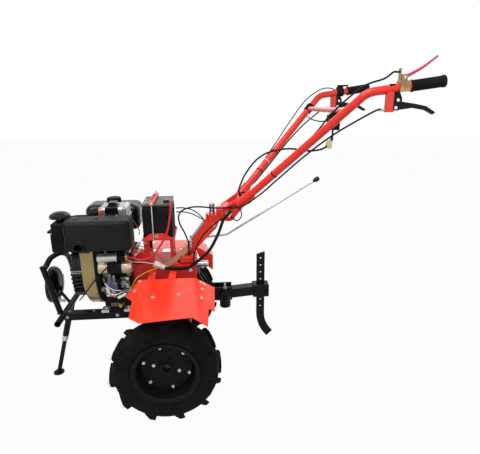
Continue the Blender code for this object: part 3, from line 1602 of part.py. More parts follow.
def make_column(paints, machine, swivel):
    """Column arm on the gearbox, the swivel yoke on it and the swivel pin."""
    pin_low = ARM_TOP - SWIVEL_DEPTH
    bore = along_z(SWIVEL_X, 0, 0, YOKE_TOP + 1, SWIVEL_RADIUS + RUN)
    ledge_low = CASE_TOP + SEAT
    ledge_front = CASE_REAR - 0.075
    ledge = block(
        ledge_front,
        CASE_REAR - 0.006,
        -ARM_LEDGE_OUT,
        ARM_HALF_WIDTH + 0.003,
        ledge_low,
        ARM_TOP - ARM_LEDGE_DROP,
        0.003,
    )
    solid(
        "column_arm",
        prism(arm_outline(), "Y", -ARM_HALF_WIDTH, ARM_HALF_WIDTH),
        paints["red"],
        machine,
        add=[ledge],
        cut=[bore.copy()],
    )
    half = YOKE_HALF_WIDTH
    boss_top = YOKE_BASE + YOKE_BOSS_HEIGHT
    disc = gear_disc(-TILT_HALF_WIDTH, TILT_HALF_WIDTH)
    bolt_bore = along_y(TILT.x, TILT.z, -1, 1, TILT_BOLT_RADIUS + RUN)
    solid(
        "swivel_yoke",
        block(SWIVEL_X + YOKE_STEP, TILT.x, -half, half, YOKE_BASE, YOKE_TOP, 0.003),
        paints["red"],
        swivel,
        add=[
            along_z(SWIVEL_X, 0, YOKE_BASE, boss_top, half, 20),
            block(SWIVEL_X, SWIVEL_X + YOKE_STEP + 0.010, -half, half, YOKE_BASE, boss_top),
            disc,
        ],
        cut=[bore.copy(), bolt_bore],
    )
    solid(
        "swivel_pin",
        along_z(SWIVEL_X, 0, pin_low, boss_top + SEAT + 0.002, SWIVEL_RADIUS),
        paints["chrome"],
        swivel,
        add=[
            along_z(
                SWIVEL_X,
                0,
                boss_top + SEAT,
                boss_top + SEAT + SWIVEL_KNOB_HEIGHT,
                SWIVEL_KNOB_RADIUS,
            )
        ],
    )


def gear_disc(low, high):
    """The toothed disc of the tilt joint."""
    outline = []
    step = 2 * math.pi / TILT_TEETH
    for tooth in range(TILT_TEETH):
        for share, drop in ((0.0, 0.0), (0.4, 0.0), (0.7, TILT_TOOTH_DEPTH)):
            radius = TILT_DISC_RADIUS - drop
            angle = (tooth + share) * step
            outline.append((TILT.x + radius * math.cos(angle), TILT.z + radius * math.sin(angle)))
    return prism(outline, "Y", low, high)


def tube_points(side):
    """Root, bend and end of one handlebar tube."""
    root = Vector((ROOT_X, side * ROOT_OUT, TILT.z + ROOT_RISE))
    bend = Vector((BEND_X, side * BEND_OUT, TILT.z + BEND_RISE))
    end = Vector((GRIP_X, side * GRIP_OUT, TILT.z + GRIP_RISE))
    return root, bend, end


def tube_at_x(side, x):
    """A point on the grip end of a handlebar tube."""
    root, bend, end = tube_points(side)
    return bend + (end - bend) * ((x - bend.x) / (end.x - bend.x))


def tube_at(side, share):
    """A point on the straight of a handlebar tube."""
    root, bend, end = tube_points(side)
    return root + (bend - root) * share


def make_handle_base(paints, carrier):
    """Tilt cheeks, bolt, web and the two tube sockets."""
    cheeks = []
    sockets = []
    bores = []
    for side in (NEAR, FAR):
        root, bend, end = tube_points(side)
        along = (bend - root).normalized()
        faces = sorted((side * CHEEK_INNER, side * CHEEK_OUTER))
        cheeks.append(along_y(TILT.x, TILT.z, *faces, TILT_DISC_RADIUS, 16))
        reach = Vector((root.x - TILT.x, 0, root.z - TILT.z))
        across = Vector((-reach.z, 0, reach.x)).normalized()
        tip = TILT + reach * 1.15
        corners = (
            TILT + across * TILT_DISC_RADIUS * 0.95,
            TILT - across * TILT_DISC_RADIUS * 0.95,
            tip - across * SOCKET_RADIUS,
            tip + across * SOCKET_RADIUS,
        )
        cheeks.append(prism([(p.x, p.z) for p in corners], "Y", *faces))
        sockets.append(rod(root - along * 0.012, root + along * SOCKET_LENGTH, SOCKET_RADIUS, 14))
        bores.append(rod(root - along * SEAT, root + along, bore_radius(TUBE_RADIUS, SEAT, 12), 12))
    bolt_end = CHEEK_OUTER + TILT_HEAD_THICK
    bolt = along_y(TILT.x, TILT.z, -bolt_end, bolt_end, TILT_BOLT_RADIUS)
    heads = []
    for side in (NEAR, FAR):
        faces = sorted((side * (CHEEK_OUTER - 0.002), side * bolt_end))
        heads.append(along_y(TILT.x, TILT.z, *faces, TILT_HEAD_RADIUS, 6))
    root = tube_points(NEAR)[0]
    web = block(
        root.x - 0.012, root.x + 0.014, -ROOT_OUT, ROOT_OUT, root.z - 0.014, root.z + 0.014
    )
    solid(
        "handle_base",
        bolt,
        paints["red"],
        carrier,
        add=cheeks + heads + [web] + sockets,
        cut=bores,
    )


def make_handlebar(paints, carrier):
    """Two bent tubes with their lever brackets, the cross bar and the grips."""
    for name, side in (("left", NEAR), ("right", FAR)):
        root, bend, end = tube_points(side)
        along = (end - bend).normalized()
        stop = end - along * (GRIP_END + SEAT)
        path = rounded([root, bend, stop], TUBE_BEND, 5)
        tube = swept(path, TUBE_RADIUS, 12)
        hollow_path = [root * 2 - path[1]] + path[1:-1] + [stop - along * TUBE_METAL]
        hollow = swept(hollow_path, TUBE_RADIUS - TUBE_METAL, 8)
        add = [lever_bracket(side)] + lever_ears(side)
        pin = lever_pivot(side)
        cut = [hollow, along_y(pin.x, pin.z, pin.y - 0.1, pin.y + 0.1, LEVER_PIN_RADIUS + RUN, 12)]
        if side == FAR:
            top = tube_at_x(side, THROTTLE_X)
            high = top.z + TUBE_RADIUS + THROTTLE_BLOCK_RISE
            add.append(
                block(
                    top.x - THROTTLE_BLOCK / 2,
                    top.x + THROTTLE_BLOCK / 2,
                    top.y - TUBE_RADIUS * 0.8,
                    top.y + TUBE_RADIUS * 0.8,
                    top.z,
                    high,
                )
            )
            cut.append(along_z(top.x, top.y, top.z, high + 1, THROTTLE_PIN_RADIUS + RUN, 12))
        solid("handlebar_" + name, tube, paints["red"], carrier, add=add, cut=cut)
        back = end - along * GRIP_LENGTH
        grip = rod(back, end, GRIP_RADIUS, 16)
        bulge = rod(end - along * 0.012, end, GRIP_RADIUS + 0.003, 16)
        collar = rod(back, back + along * 0.006, GRIP_RADIUS + 0.003, 16)
        bore = rod(back - along, stop + along * SEAT, bore_radius(TUBE_RADIUS, SEAT, 12), 12)
        solid("grip_" + name, grip, paints["rubber"], carrier, add=[bulge, collar], cut=[bore])
    near = tube_at(NEAR, CROSSBAR_AT)
    far = tube_at(FAR, CROSSBAR_AT)
    cuts = []
    for side in (NEAR, FAR):
        root, bend, end = tube_points(side)
        cuts.append(rod(root, bend, bore_radius(TUBE_RADIUS, SEAT, 12), 12))
    solid("crossbar", rod(near, far, CROSSBAR_RADIUS, 12), paints["red"], carrier, cut=cuts)
    low = near.z - CROSSBAR_RADIUS - SEAT
    solid(
        "switch_box",
        block(
            near.x - SWITCH_LENGTH / 2,
            near.x + SWITCH_LENGTH / 2,
            -SWITCH_OUT - SWITCH_WIDTH / 2,
            -SWITCH_OUT + SWITCH_WIDTH / 2,
            low - SWITCH_HEIGHT,
            low,
            0.004,
        ),
        paints["plastic"],
        carrier,
    )


def lever_pivot(side):
    """Pivot of a clutch lever under a grip."""
    top = tube_at_x(side, BRACKET_X + BRACKET_LENGTH + LEVER_PIN_AHEAD)
    return Vector((top.x, top.y, top.z - TUBE_RADIUS - LEVER_PIN_DROP))


def lever_bracket(side):
    """Bracket block under the tube that carries a clutch lever."""
    start = tube_at_x(side, BRACKET_X)
    middle = lever_pivot(side).y
    return block(
        BRACKET_X,
        BRACKET_X + BRACKET_LENGTH,
        middle - BRACKET_HALF_WIDTH,
        middle + BRACKET_HALF_WIDTH,
        start.z - TUBE_RADIUS - BRACKET_DROP,
        start.z - TUBE_RADIUS * 0.5,
    )


def lever_ears(side):
    """Two ears beside a clutch lever."""
    pin = lever_pivot(side)
    inner = LEVER_HALF_WIDTH + SEAT
    ears = []
    for sign in (NEAR, FAR):
        faces = sorted((pin.y + sign * inner, pin.y + sign * BRACKET_HALF_WIDTH))
        ears.append(
            block(
                BRACKET_X + BRACKET_LENGTH - 0.004,
                BRACKET_X + BRACKET_LENGTH + EAR_LENGTH,
                *faces,
                pin.z - 0.012,
                pin.z + LEVER_PIN_DROP + TUBE_RADIUS * 0.5,
            )
        )
    return ears


def make_clutch_lever(name, side, material, carrier):
    """A clutch lever that is squeezed towards its grip."""
    pin = lever_pivot(side)
    head = 0.008
    outline = [
        (-head, 0.0),
        (-head * 0.7, head),
        (head * 0.6, head),
        (0.020, -0.006),
        (LEVER_REACH * 0.42, -0.012),
        (LEVER_REACH * 0.75, -0.022),
        (LEVER_REACH, -0.044),
        (LEVER_REACH - 0.010, -0.052),
        (LEVER_REACH * 0.72, -0.022 - LEVER_THICK),
        (LEVER_REACH * 0.40, -0.014 - LEVER_THICK),
        (0.014, -0.034),
        (-head, -0.034),
    ]
    points = [(pin.x + x, pin.z + z) for x, z in outline]
    half = LEVER_HALF_WIDTH
    reach = BRACKET_HALF_WIDTH
    solid(
        name,
        prism(points, "Y", pin.y - half, pin.y + half),
        material,
        carrier,
        add=[along_y(pin.x, pin.z, pin.y - reach, pin.y + reach, LEVER_PIN_RADIUS, 12)],
    )


def hand_pivot():
    """Pivot of the red hand lever above the near tube."""
    top = tube_at_x(NEAR, HAND_X + HAND_SADDLE_LENGTH * 0.45)
    return Vector((top.x, top.y, top.z + HAND_PIN_RISE))


def make_hand_lever(paints, carrier, pivot):
    """Bracket on the near tube and the hand lever in it."""
    pin = hand_pivot()
    start = tube_at_x(NEAR, HAND_X)
    end = tube_at_x(NEAR, HAND_X + HAND_SADDLE_LENGTH)
    along = (end - start).normalized()
    wide = TUBE_RADIUS + SEAT + HAND_METAL
    saddle_top = max(start.z, end.z) + TUBE_RADIUS + SEAT + HAND_METAL
    saddle = block(
        HAND_X,
        HAND_X + HAND_SADDLE_LENGTH,
        pin.y - wide,
        pin.y + wide,
        start.z - TUBE_RADIUS * 0.8,
        saddle_top,
    )
    inner = HAND_HALF_WIDTH + SEAT
    ears = []
    for sign in (NEAR, FAR):
        faces = sorted((pin.y + sign * inner, pin.y + sign * (inner + HAND_METAL)))
        ears.append(
            block(pin.x - 0.011, pin.x + 0.011, *faces, saddle_top - HAND_METAL / 2, pin.z + 0.011)
        )
    tab = block(
        HAND_X,
        HAND_X + HAND_METAL,
        pin.y - inner - HAND_METAL,
        pin.y + inner + HAND_METAL,
        saddle_top - HAND_METAL / 2,
        saddle_top + HAND_TAB_HEIGHT,
    )
    groove = rod(start - along, end + along, bore_radius(TUBE_RADIUS, SEAT, 12), 12)
    under = block(
        HAND_X - 1,
        HAND_X + 1,
        pin.y - TUBE_RADIUS - SEAT,
        pin.y + TUBE_RADIUS + SEAT,
        start.z - 1,
        start.z,
    )
    bore = along_y(pin.x, pin.z, pin.y - 0.1, pin.y + 0.1, HAND_PIN_RADIUS + RUN, 12)
    solid(
        "hand_lever_bracket",
        saddle,
        paints["zinc"],
        carrier,
        add=ears + [tab],
        cut=[groove, under, bore],
    )
    reach = Vector((HAND_REACH, 0, HAND_RISE))
    side = Vector((0.010, 0, -0.010))
    path = smooth([pin, pin + reach * 0.35 + side, pin + reach * 0.7 + side * 0.8, pin + reach], 0.020)
    head = along_y(pin.x, pin.z, pin.y - HAND_HALF_WIDTH, pin.y + HAND_HALF_WIDTH, 0.0085, 12)
    ear_out = inner + HAND_METAL
    solid(
        "hand_lever",
        head,
        paints["red"],
        pivot,
        add=[
            swept(path, HAND_ROD_RADIUS * 0.9, 10),
            along_y(pin.x, pin.z, pin.y - ear_out, pin.y + ear_out, HAND_PIN_RADIUS, 12),
        ],
    )


def throttle_place():
    """Seat of the throttle lever on the far tube."""
    top = tube_at_x(FAR, THROTTLE_X)
    return Vector((top.x, top.y, top.z + TUBE_RADIUS + THROTTLE_BLOCK_RISE))


def make_throttle(paints, pivot):
    """Thumb throttle on the far tube."""
    seat = throttle_place()
    low = seat.z + SEAT
    high = low + THROTTLE_THICK
    tip = Vector((seat.x + THROTTLE_REACH * 0.75, seat.y - THROTTLE_REACH * 0.66, low))
    along = (tip - seat).normalized()
    side = Vector((-along.y, along.x, 0)) * 0.005
    arm = [(p.x, p.y) for p in (seat + side, seat - side, tip - side, tip + side)]
    solid(
        "throttle_lever",
        along_z(seat.x, seat.y, low, high, THROTTLE_RADIUS, 16),
        paints["plastic"],
        pivot,
        add=[
            prism(arm, "Z", low, high),
            along_z(seat.x, seat.y, seat.z - 0.008, low + 0.002, THROTTLE_PIN_RADIUS, 12),
        ],
    )


def shift_pivot():
    """Pivot of the gear shift rod."""
    return Vector((SHIFT_X, SHIFT_OUT, case_top(SHIFT_X) + SHIFT_RISE))


def make_shift(paints, pivot):
    """Gear shift rod with its eye and knob."""
    start = shift_pivot()
    bend = start + Vector((SHIFT_FLAT, 0, SHIFT_FLAT_RISE))
    end = bend + Vector((SHIFT_REACH, 0, SHIFT_REACH_RISE))
    along = (end - bend).normalized()
    half = SHIFT_EYE_RADIUS / 2
    lug_out = start.y + half + SEAT + SHIFT_LUG_THICK
    solid(
        "shift_rod",
        swept(rounded([start, bend, end], 0.030), SHIFT_RADIUS * 0.9, 10),
        paints["steel"],
        pivot,
        add=[
            along_y(start.x, start.z, start.y - half, start.y + half, SHIFT_EYE_RADIUS, 12),
            along_y(start.x, start.z, start.y, lug_out, SHIFT_PIN_RADIUS, 12),
            rod(end - along * 0.004, end + along * 0.030, SHIFT_KNOB_RADIUS * 0.8, 12),
        ],
    )


def drawbar_outline(start, end, inset):
    """Side outline of the rising drawbar between two places along X."""
    slope = DRAWBAR_LIFT / DRAWBAR_LENGTH
    low = DRAWBAR_Z + inset
    high = DRAWBAR_Z + DRAWBAR_HEIGHT - inset
    near = slope * (start - DRAWBAR_X)
    far = slope * (end - DRAWBAR_X)
    return [(start, low + near), (end, low + far), (end, high + far), (start, high + near)]


def make_hitch(paints, machine, bar_slide):
    """Hitch bracket, drawbar with its clamp, and the depth bar."""
    half = DRAWBAR_HALF_WIDTH + SEAT
    x0 = HITCH_PLATE_X + HITCH_PLATE_THICK
    x1 = x0 + HITCH_LENGTH
    plate = block(
        HITCH_PLATE_X,
        x0,
        -HITCH_PLATE_HALF_WIDTH,
        HITCH_PLATE_HALF_WIDTH,
        AXLE_Z + HITCH_PLATE_BOTTOM,
        AXLE_Z + HITCH_PLATE_TOP,
    )
    cheeks = []
    for sign in (NEAR, FAR):
        faces = sorted((sign * half, sign * (half + HITCH_CHEEK_THICK)))
        outline = [
            (x0 - 0.004, AXLE_Z + HITCH_PLATE_TOP - 0.010),
            (x0 - 0.004, AXLE_Z + HITCH_PLATE_BOTTOM),
            (x0 + 0.050, HITCH_BASE),
            (x1, HITCH_BASE),
            (x1, HITCH_BASE + HITCH_HEIGHT),
            (x0 + 0.040, HITCH_BASE + HITCH_HEIGHT),
        ]
        cheeks.append(prism(outline, "Y", *faces))
    boss_x = x1 - HITCH_BOSS_BACK
    boss_y = -half - HITCH_BOSS_RADIUS - HITCH_CHEEK_THICK / 2
    boss = along_z(
        boss_x, boss_y, HITCH_BASE - HITCH_BOSS_DROP, HITCH_BASE + HITCH_HEIGHT * 0.6, HITCH_BOSS_RADIUS
    )
    solid("hitch_bracket", plate, paints["black"], machine, add=cheeks + [boss])
    bar_half = DRAWBAR_HALF_WIDTH
    hollow = prism(
        drawbar_outline(DRAWBAR_X - 0.020, CLAMP_X - DRAWBAR_METAL, DRAWBAR_METAL),
        "Y",
        -bar_half + DRAWBAR_METAL,
        bar_half - DRAWBAR_METAL,
    )
    slot_half = BAR_THICK / 2 + SEAT
    slot = block(
        BAR_X - BAR_WIDTH / 2 - SEAT, BAR_X + BAR_WIDTH / 2 + SEAT, -slot_half, slot_half, 0, 1
    )
    clamp = block(
        CLAMP_X,
        CLAMP_X + CLAMP_BLOCK_LENGTH,
        -CLAMP_BLOCK_HALF_WIDTH,
        CLAMP_BLOCK_HALF_WIDTH,
        CLAMP_Z - CLAMP_BLOCK_HEIGHT / 2,
        CLAMP_Z + CLAMP_BLOCK_HEIGHT / 2,
        0.003,
    )
    solid(
        "drawbar",
        prism(drawbar_outline(DRAWBAR_X, CLAMP_X + 0.004, 0.0), "Y", -bar_half, bar_half),
        paints["black"],
        machine,
        add=[clamp],
        cut=[slot, hollow],
    )
    make_depth_bar(paints, bar_slide)


def make_depth_bar(paints, carrier):
    """Flat bar with a row of holes and a foot curved to the rear."""
    left = BAR_X - BAR_WIDTH / 2
    right = BAR_X + BAR_WIDTH / 2
    top = CLAMP_Z + CLAMP_BLOCK_HEIGHT / 2 + BAR_ABOVE
    low = CLAMP_Z - CLAMP_BLOCK_HEIGHT / 2 - BAR_BELOW
    middle = (left + BAR_WIDTH + BAR_CURVE_RADIUS, low)
    outline = [(right, top), (left, top - BAR_TOP_SLANT)]
    outline += arc(middle, BAR_CURVE_RADIUS + BAR_WIDTH, math.pi, math.pi + BAR_CURVE, 6)
    outline += arc(middle, BAR_CURVE_RADIUS, math.pi + BAR_CURVE, math.pi, 6)
    holes = []
    for step in range(BAR_HOLES):
        z = top - BAR_TOP_SLANT - BAR_HOLE_MARGIN - step * BAR_HOLE_PITCH
        holes.append(along_y(BAR_X, z, -BAR_THICK, BAR_THICK, BAR_HOLE_RADIUS, 8))
    solid(
        "depth_bar",
        prism(outline, "Y", -BAR_THICK / 2, BAR_THICK / 2),
        paints["black"],
        carrier,
        cut=[joined(holes)],
    )


def make_lower_cables(paints, machine):
    """Cables that the machine carries below the tilt joint."""
    x1 = -BATTERY_LEFT + BATTERY_LENGTH
    post = Vector((x1 - 0.020, -BATTERY_OUT + 0.024, BATTERY_TOP + POST_HEIGHT * 0.6))
    start = post + Vector((POST_RADIUS + SEAT, 0, 0))
    end = Vector(
        (
            BACK_FRONT_X + BACK_PLATE_THICK + 2 * SEAT + SOLENOID_LENGTH,
            -SOLENOID_OUT,
            CRANK_Z + SOLENOID_RISE,
        )
    )
    route = [
        start,
        start + Vector((0.008, 0, 0)),
        (x1 + 0.0005, post.y - 0.0090, BATTERY_TOP + 0.0115),
        (x1 + 0.0005, post.y - 0.0240, BATTERY_TOP + 0.0115),
        (x1 - 0.0010, post.y - 0.0365, BATTERY_TOP + 0.0020),
        (x1 - 0.0020, post.y - 0.0394, BATTERY_TOP - 0.018),
        (0.0327, -0.1590, 0.8540),
        (0.0184, -0.1640, 0.7902),
        (-0.0099, -0.1730, 0.7355),
        (-0.0516, -0.1810, 0.6860),
        (-0.1000, -0.1820, 0.6700),
        end + Vector((0.036, -0.003, -0.005)),
        end + Vector((0.012, 0, 0)),
        end,
    ]
    cable("battery_cable", route, BATTERY_CABLE_RADIUS, paints["red"], machine)
    side = -CHEEK_OUTER - CABLE_RADIUS - SEAT
    lie = FENDER_Z + HARNESS_RADIUS + SEAT
    route = [
        (TILT.x + 0.010, side - 0.016, TILT.z + 0.018),
        (0.262, -0.092, 0.812),
        (0.236, -0.106, 0.748),
        (0.196, -0.113, 0.678),
        (0.144, -0.115, 0.630),
        (0.092, -0.113, lie + 0.003),
        (0.030, -0.105, lie),
        (-0.004, -0.100, lie),
    ]
    cable("harness_lower", route, HARNESS_RADIUS, paints["plastic"], machine)
    route = [
        (TILT.x + 0.014, side, TILT.z + 0.029),
        (TILT.x - 0.006, side, TILT.z + 0.030),
        (0.228, -0.068, 0.864),
        (0.150, -0.070, 0.872),
        (0.105, -0.070, 0.867),
        (0.074, -0.070, 0.851),
        (0.0625, -0.069, 0.824),
        (0.069, -0.066, 0.788),
        (0.086, -0.060, 0.748),
        (0.102, -0.056, 0.700),
        (0.102, -0.056, ARM_TOP - ARM_LEDGE_DROP + CABLE_RADIUS * 0.6),
    ]
    cable("clutch_cable_lower", route, CABLE_RADIUS, paints["plastic"], machine)


def make_upper_cables(paints, carrier):
    """Cables that ride on the handlebar."""
    root = tube_points(NEAR)[0]
    web_top = root.z + 0.014
    for name, side in (("left", NEAR), ("right", FAR)):
        route = []
        for share, out, drop in (
            (0.06, 0.030, 0.020),
            (0.20, 0.012, 0.034),
            (0.36, 0.006, 0.034),
            (0.56, 0.006, 0.034),
            (0.76, 0.006, 0.046),
            (0.94, 0.002, 0.072),
        ):
            point = tube_at(side, share)
            route.append(point + Vector((0, side * out, -drop)))
        middle = lever_pivot(side).y
        low = tube_at_x(side, BRACKET_X).z - TUBE_RADIUS - BRACKET_DROP + 0.008
        route.append(Vector((BRACKET_X - 0.030, middle, low)))
        route.append(Vector((BRACKET_X - 0.012, middle, low)))
        route.append(Vector((BRACKET_X - SEAT, middle, low)))
        cable("clutch_cable_" + name, route, CABLE_RADIUS, paints["plastic"], carrier)
    pin = hand_pivot()
    start = Vector((HAND_X - SEAT, pin.y, pin.z + 0.018))
    cross = tube_at(NEAR, CROSSBAR_AT)
    route = [
        start,
        start + Vector((-0.012, 0, 0)),
        start + Vector((-0.024, 0, -0.001)),
        start + Vector((-0.0527, 0.0059, -0.0223)),
        start + Vector((-0.1107, 0.0399, -0.0453)),
        (cross.x + 0.004, -0.255, cross.z + 0.036),
        (0.684, -0.216, 1.262),
        (0.648, -0.190, 1.206),
        (0.545, -0.136, 1.075),
        (0.470, -0.095, 0.996),
        (0.400, -0.056, 0.938),
        (root.x + 0.006, -0.035, web_top + 0.026),
        (root.x, -0.035, web_top + 0.012),
        (root.x, -0.035, web_top + SEAT),
    ]
    cable("hand_lever_cable", route, CABLE_RADIUS, paints["plastic"], carrier)
    box_low = cross.z - CROSSBAR_RADIUS - SEAT - SWITCH_HEIGHT
    route = [
        (root.x, 0.010, web_top + SEAT),
        (root.x, 0.010, web_top + 0.014),
        (root.x - 0.002, 0.014, web_top + 0.034),
        (0.372, 0.042, 0.990),
        (0.420, 0.052, 1.052),
        (0.470, 0.040, 1.090),
        (0.524, -0.010, 1.112),
        (0.565, -0.085, 1.124),
        (0.630, -0.135, 1.120),
        (0.690, -0.150, 1.132),
        (cross.x - 0.004, -SWITCH_OUT - 0.004, box_low - 0.034),
        (cross.x, -SWITCH_OUT, box_low - 0.014),
        (cross.x, -SWITCH_OUT, box_low - SEAT),
    ]
    cable("harness_upper", route, LEAD_RADIUS, paints["plastic"], carrier)


def main():
    """Build the whole machine."""
    clear_scene()
    paints = make_paints()
    machine = empty("machine", (AXLE_X, 0, 0))
    wheels = empty("wheels_pivot", (0, 0, AXLE_Z), machine)
    pinion = empty("pinion_pivot", (0, 0, PINION_Z), machine)
    crank = empty("crank_pivot", (BLOCK_MID_X, 0, CRANK_Z), machine)
    stand = empty("stand_pivot", STAND_PIVOT, machine)
    decompress = empty("decompression_pivot", decomp_pivot(), machine)
    fuel_cap = empty("fuel_cap_pivot", cap_place(), machine)
    shift = empty("shift_pivot", shift_pivot(), machine)
    bar_slide = empty("depth_bar_slide", (BAR_X, 0, CLAMP_Z), machine)
    swivel = empty("swivel_pivot", (SWIVEL_X, 0, ARM_TOP), machine)
    tilt = empty("tilt_pivot", TILT - swivel.location, swivel)
    left = empty("left_lever_pivot", lever_pivot(NEAR) - TILT, tilt)
    right = empty("right_lever_pivot", lever_pivot(FAR) - TILT, tilt)
    hand = empty("hand_lever_pivot", hand_pivot() - TILT, tilt)
    throttle = empty("throttle_pivot", throttle_place() - TILT, tilt)

    make_drive(paints, wheels, pinion)
    make_gearbox(paints, machine)
    make_rails(paints, machine)
    make_front(paints, machine)
    make_stand(paints, stand)
    make_engine_block(paints, machine)
    make_crank(paints, crank)
    make_blower(paints, machine)
    make_head(paints, machine, decompress)
    make_exhaust(paints, machine)
    make_cleaner(paints, machine)
    make_tank(paints, machine, fuel_cap)
    make_starter(paints, machine)
    make_battery(paints, machine)
    make_fender("fender_left", NEAR, paints["orange"], machine)
    make_fender("fender_right", FAR, paints["orange"], machine)
    make_column(paints, machine, swivel)
    make_handle_base(paints, tilt)
    make_handlebar(paints, tilt)
    make_clutch_lever("clutch_lever_left", NEAR, paints["plastic"], left)
    make_clutch_lever("clutch_lever_right", FAR, paints["plastic"], right)
    make_hand_lever(paints, tilt, hand)
    make_throttle(paints, throttle)
    make_shift(paints, shift)
    make_hitch(paints, machine, bar_slide)
    make_lower_cables(paints, machine)
    make_upper_cables(paints, tilt)


main()
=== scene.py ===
"""Looks of a two-wheel walking tractor with an air-cooled diesel engine.

Lengths are metres and +Z is up.  Shapes are written with X measured from the
wheel axle, as the solids are, and every piece is moved by one shift on its way
into the scene.  The machine's left side faces the camera.
"""

from __future__ import annotations

import json
import logging
import math
from dataclasses import dataclass
from enum import Enum
from itertools import product
from typing import Callable, ClassVar, Iterable, Sequence

import bmesh
import bpy
from bpy.types import Material, Mesh, Node, NodeSocket, NodeTree, Nodes, Object, Scene
from mathutils import Matrix, Vector

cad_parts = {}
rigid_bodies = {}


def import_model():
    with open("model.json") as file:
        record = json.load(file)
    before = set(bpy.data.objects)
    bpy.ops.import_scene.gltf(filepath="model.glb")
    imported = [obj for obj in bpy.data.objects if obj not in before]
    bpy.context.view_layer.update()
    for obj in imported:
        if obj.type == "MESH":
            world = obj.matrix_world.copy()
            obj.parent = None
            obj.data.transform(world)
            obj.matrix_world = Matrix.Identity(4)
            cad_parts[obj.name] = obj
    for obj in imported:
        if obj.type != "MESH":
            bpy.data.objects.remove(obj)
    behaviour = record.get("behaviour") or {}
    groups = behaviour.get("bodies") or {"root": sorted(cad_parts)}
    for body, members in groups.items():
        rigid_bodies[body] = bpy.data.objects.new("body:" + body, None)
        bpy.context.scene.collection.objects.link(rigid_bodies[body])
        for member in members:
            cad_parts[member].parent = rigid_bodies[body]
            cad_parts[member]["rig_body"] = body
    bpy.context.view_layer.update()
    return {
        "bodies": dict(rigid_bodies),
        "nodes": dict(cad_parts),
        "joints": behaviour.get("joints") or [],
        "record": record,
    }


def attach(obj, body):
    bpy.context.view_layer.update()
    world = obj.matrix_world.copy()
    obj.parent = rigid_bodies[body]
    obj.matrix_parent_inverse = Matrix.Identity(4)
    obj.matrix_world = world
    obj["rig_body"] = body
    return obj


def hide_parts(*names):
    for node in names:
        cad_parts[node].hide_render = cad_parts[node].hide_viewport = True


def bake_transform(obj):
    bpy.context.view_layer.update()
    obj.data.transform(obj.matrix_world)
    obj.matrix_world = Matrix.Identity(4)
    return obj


LOG = logging.getLogger("tractor")
Point = Sequence[float]
Colour = tuple[float, float, float]
DisplayColour = tuple[int, int, int]

SHIFT = Vector((-0.2251, 0.0, 0.0))  # axle from the middle of the machine's box

AXLE_Z = 0.235  # height of the wheel axle
HALF_TRACK = 0.342  # from the middle plane to the middle of a tyre
CRANK_Z = 0.600  # height of the crankshaft
TILT = Vector((0.288, 0.0, 0.832))  # middle of the handlebar's tilt joint
SHARP_DEGREES = 38.0  # edges that turn by more stay sharp
BOLT_DEGREES = 30.0  # the same for bolt heads
CABLE_DEGREES = 60.0  # the same for cables and wires
BEVEL_DEGREES = 32.0  # edges that turn by more are bevelled
FLAT_DEGREES = 1.0  # faces that turn by less become one
WELD_DISTANCE = 1e-5  # corners of a solid that are nearer become one
SEAM_DISTANCE = 1e-6  # the same for shapes made here
CURVE_STEPS = 16  # fine steps between two points of a route
POINT_RADIUS = 1e-7  # a turned ring that is smaller becomes a point
X_AXIS = Vector((1.0, 0.0, 0.0))
Y_AXIS = Vector((0.0, 1.0, 0.0))
Z_AXIS = Vector((0.0, 0.0, 1.0))


class Side(Enum):
    """The machine's two sides, with their sign along Y."""

    LEFT = -1
    RIGHT = 1


class Axis(Enum):
    """The axis that a flat outline is pushed along."""

    X = "X"
    Y = "Y"
    Z = "Z"


class Pattern(Enum):
    """Fine relief of a finish."""

    ORANGE_PEEL = "orange_peel"
    CRINKLE = "crinkle"
    BRUSHED = "brushed"
    CAST = "cast"
    RUBBER = "rubber"


def linear(red: int, green: int, blue: int) -> Colour:
    """Turn a display colour of 0 to 255 into linear light.

    Args:
        red: Red as displayed.
        green: Green as displayed.
        blue: Blue as displayed.

    Returns:
        The colour that a shader socket takes.
    """
    values = []
    for value in (red / 255, green / 255, blue / 255):
        values.append(value / 12.92 if value <= 0.04045 else ((value + 0.055) / 1.055) ** 2.4)
    return values[0], values[1], values[2]


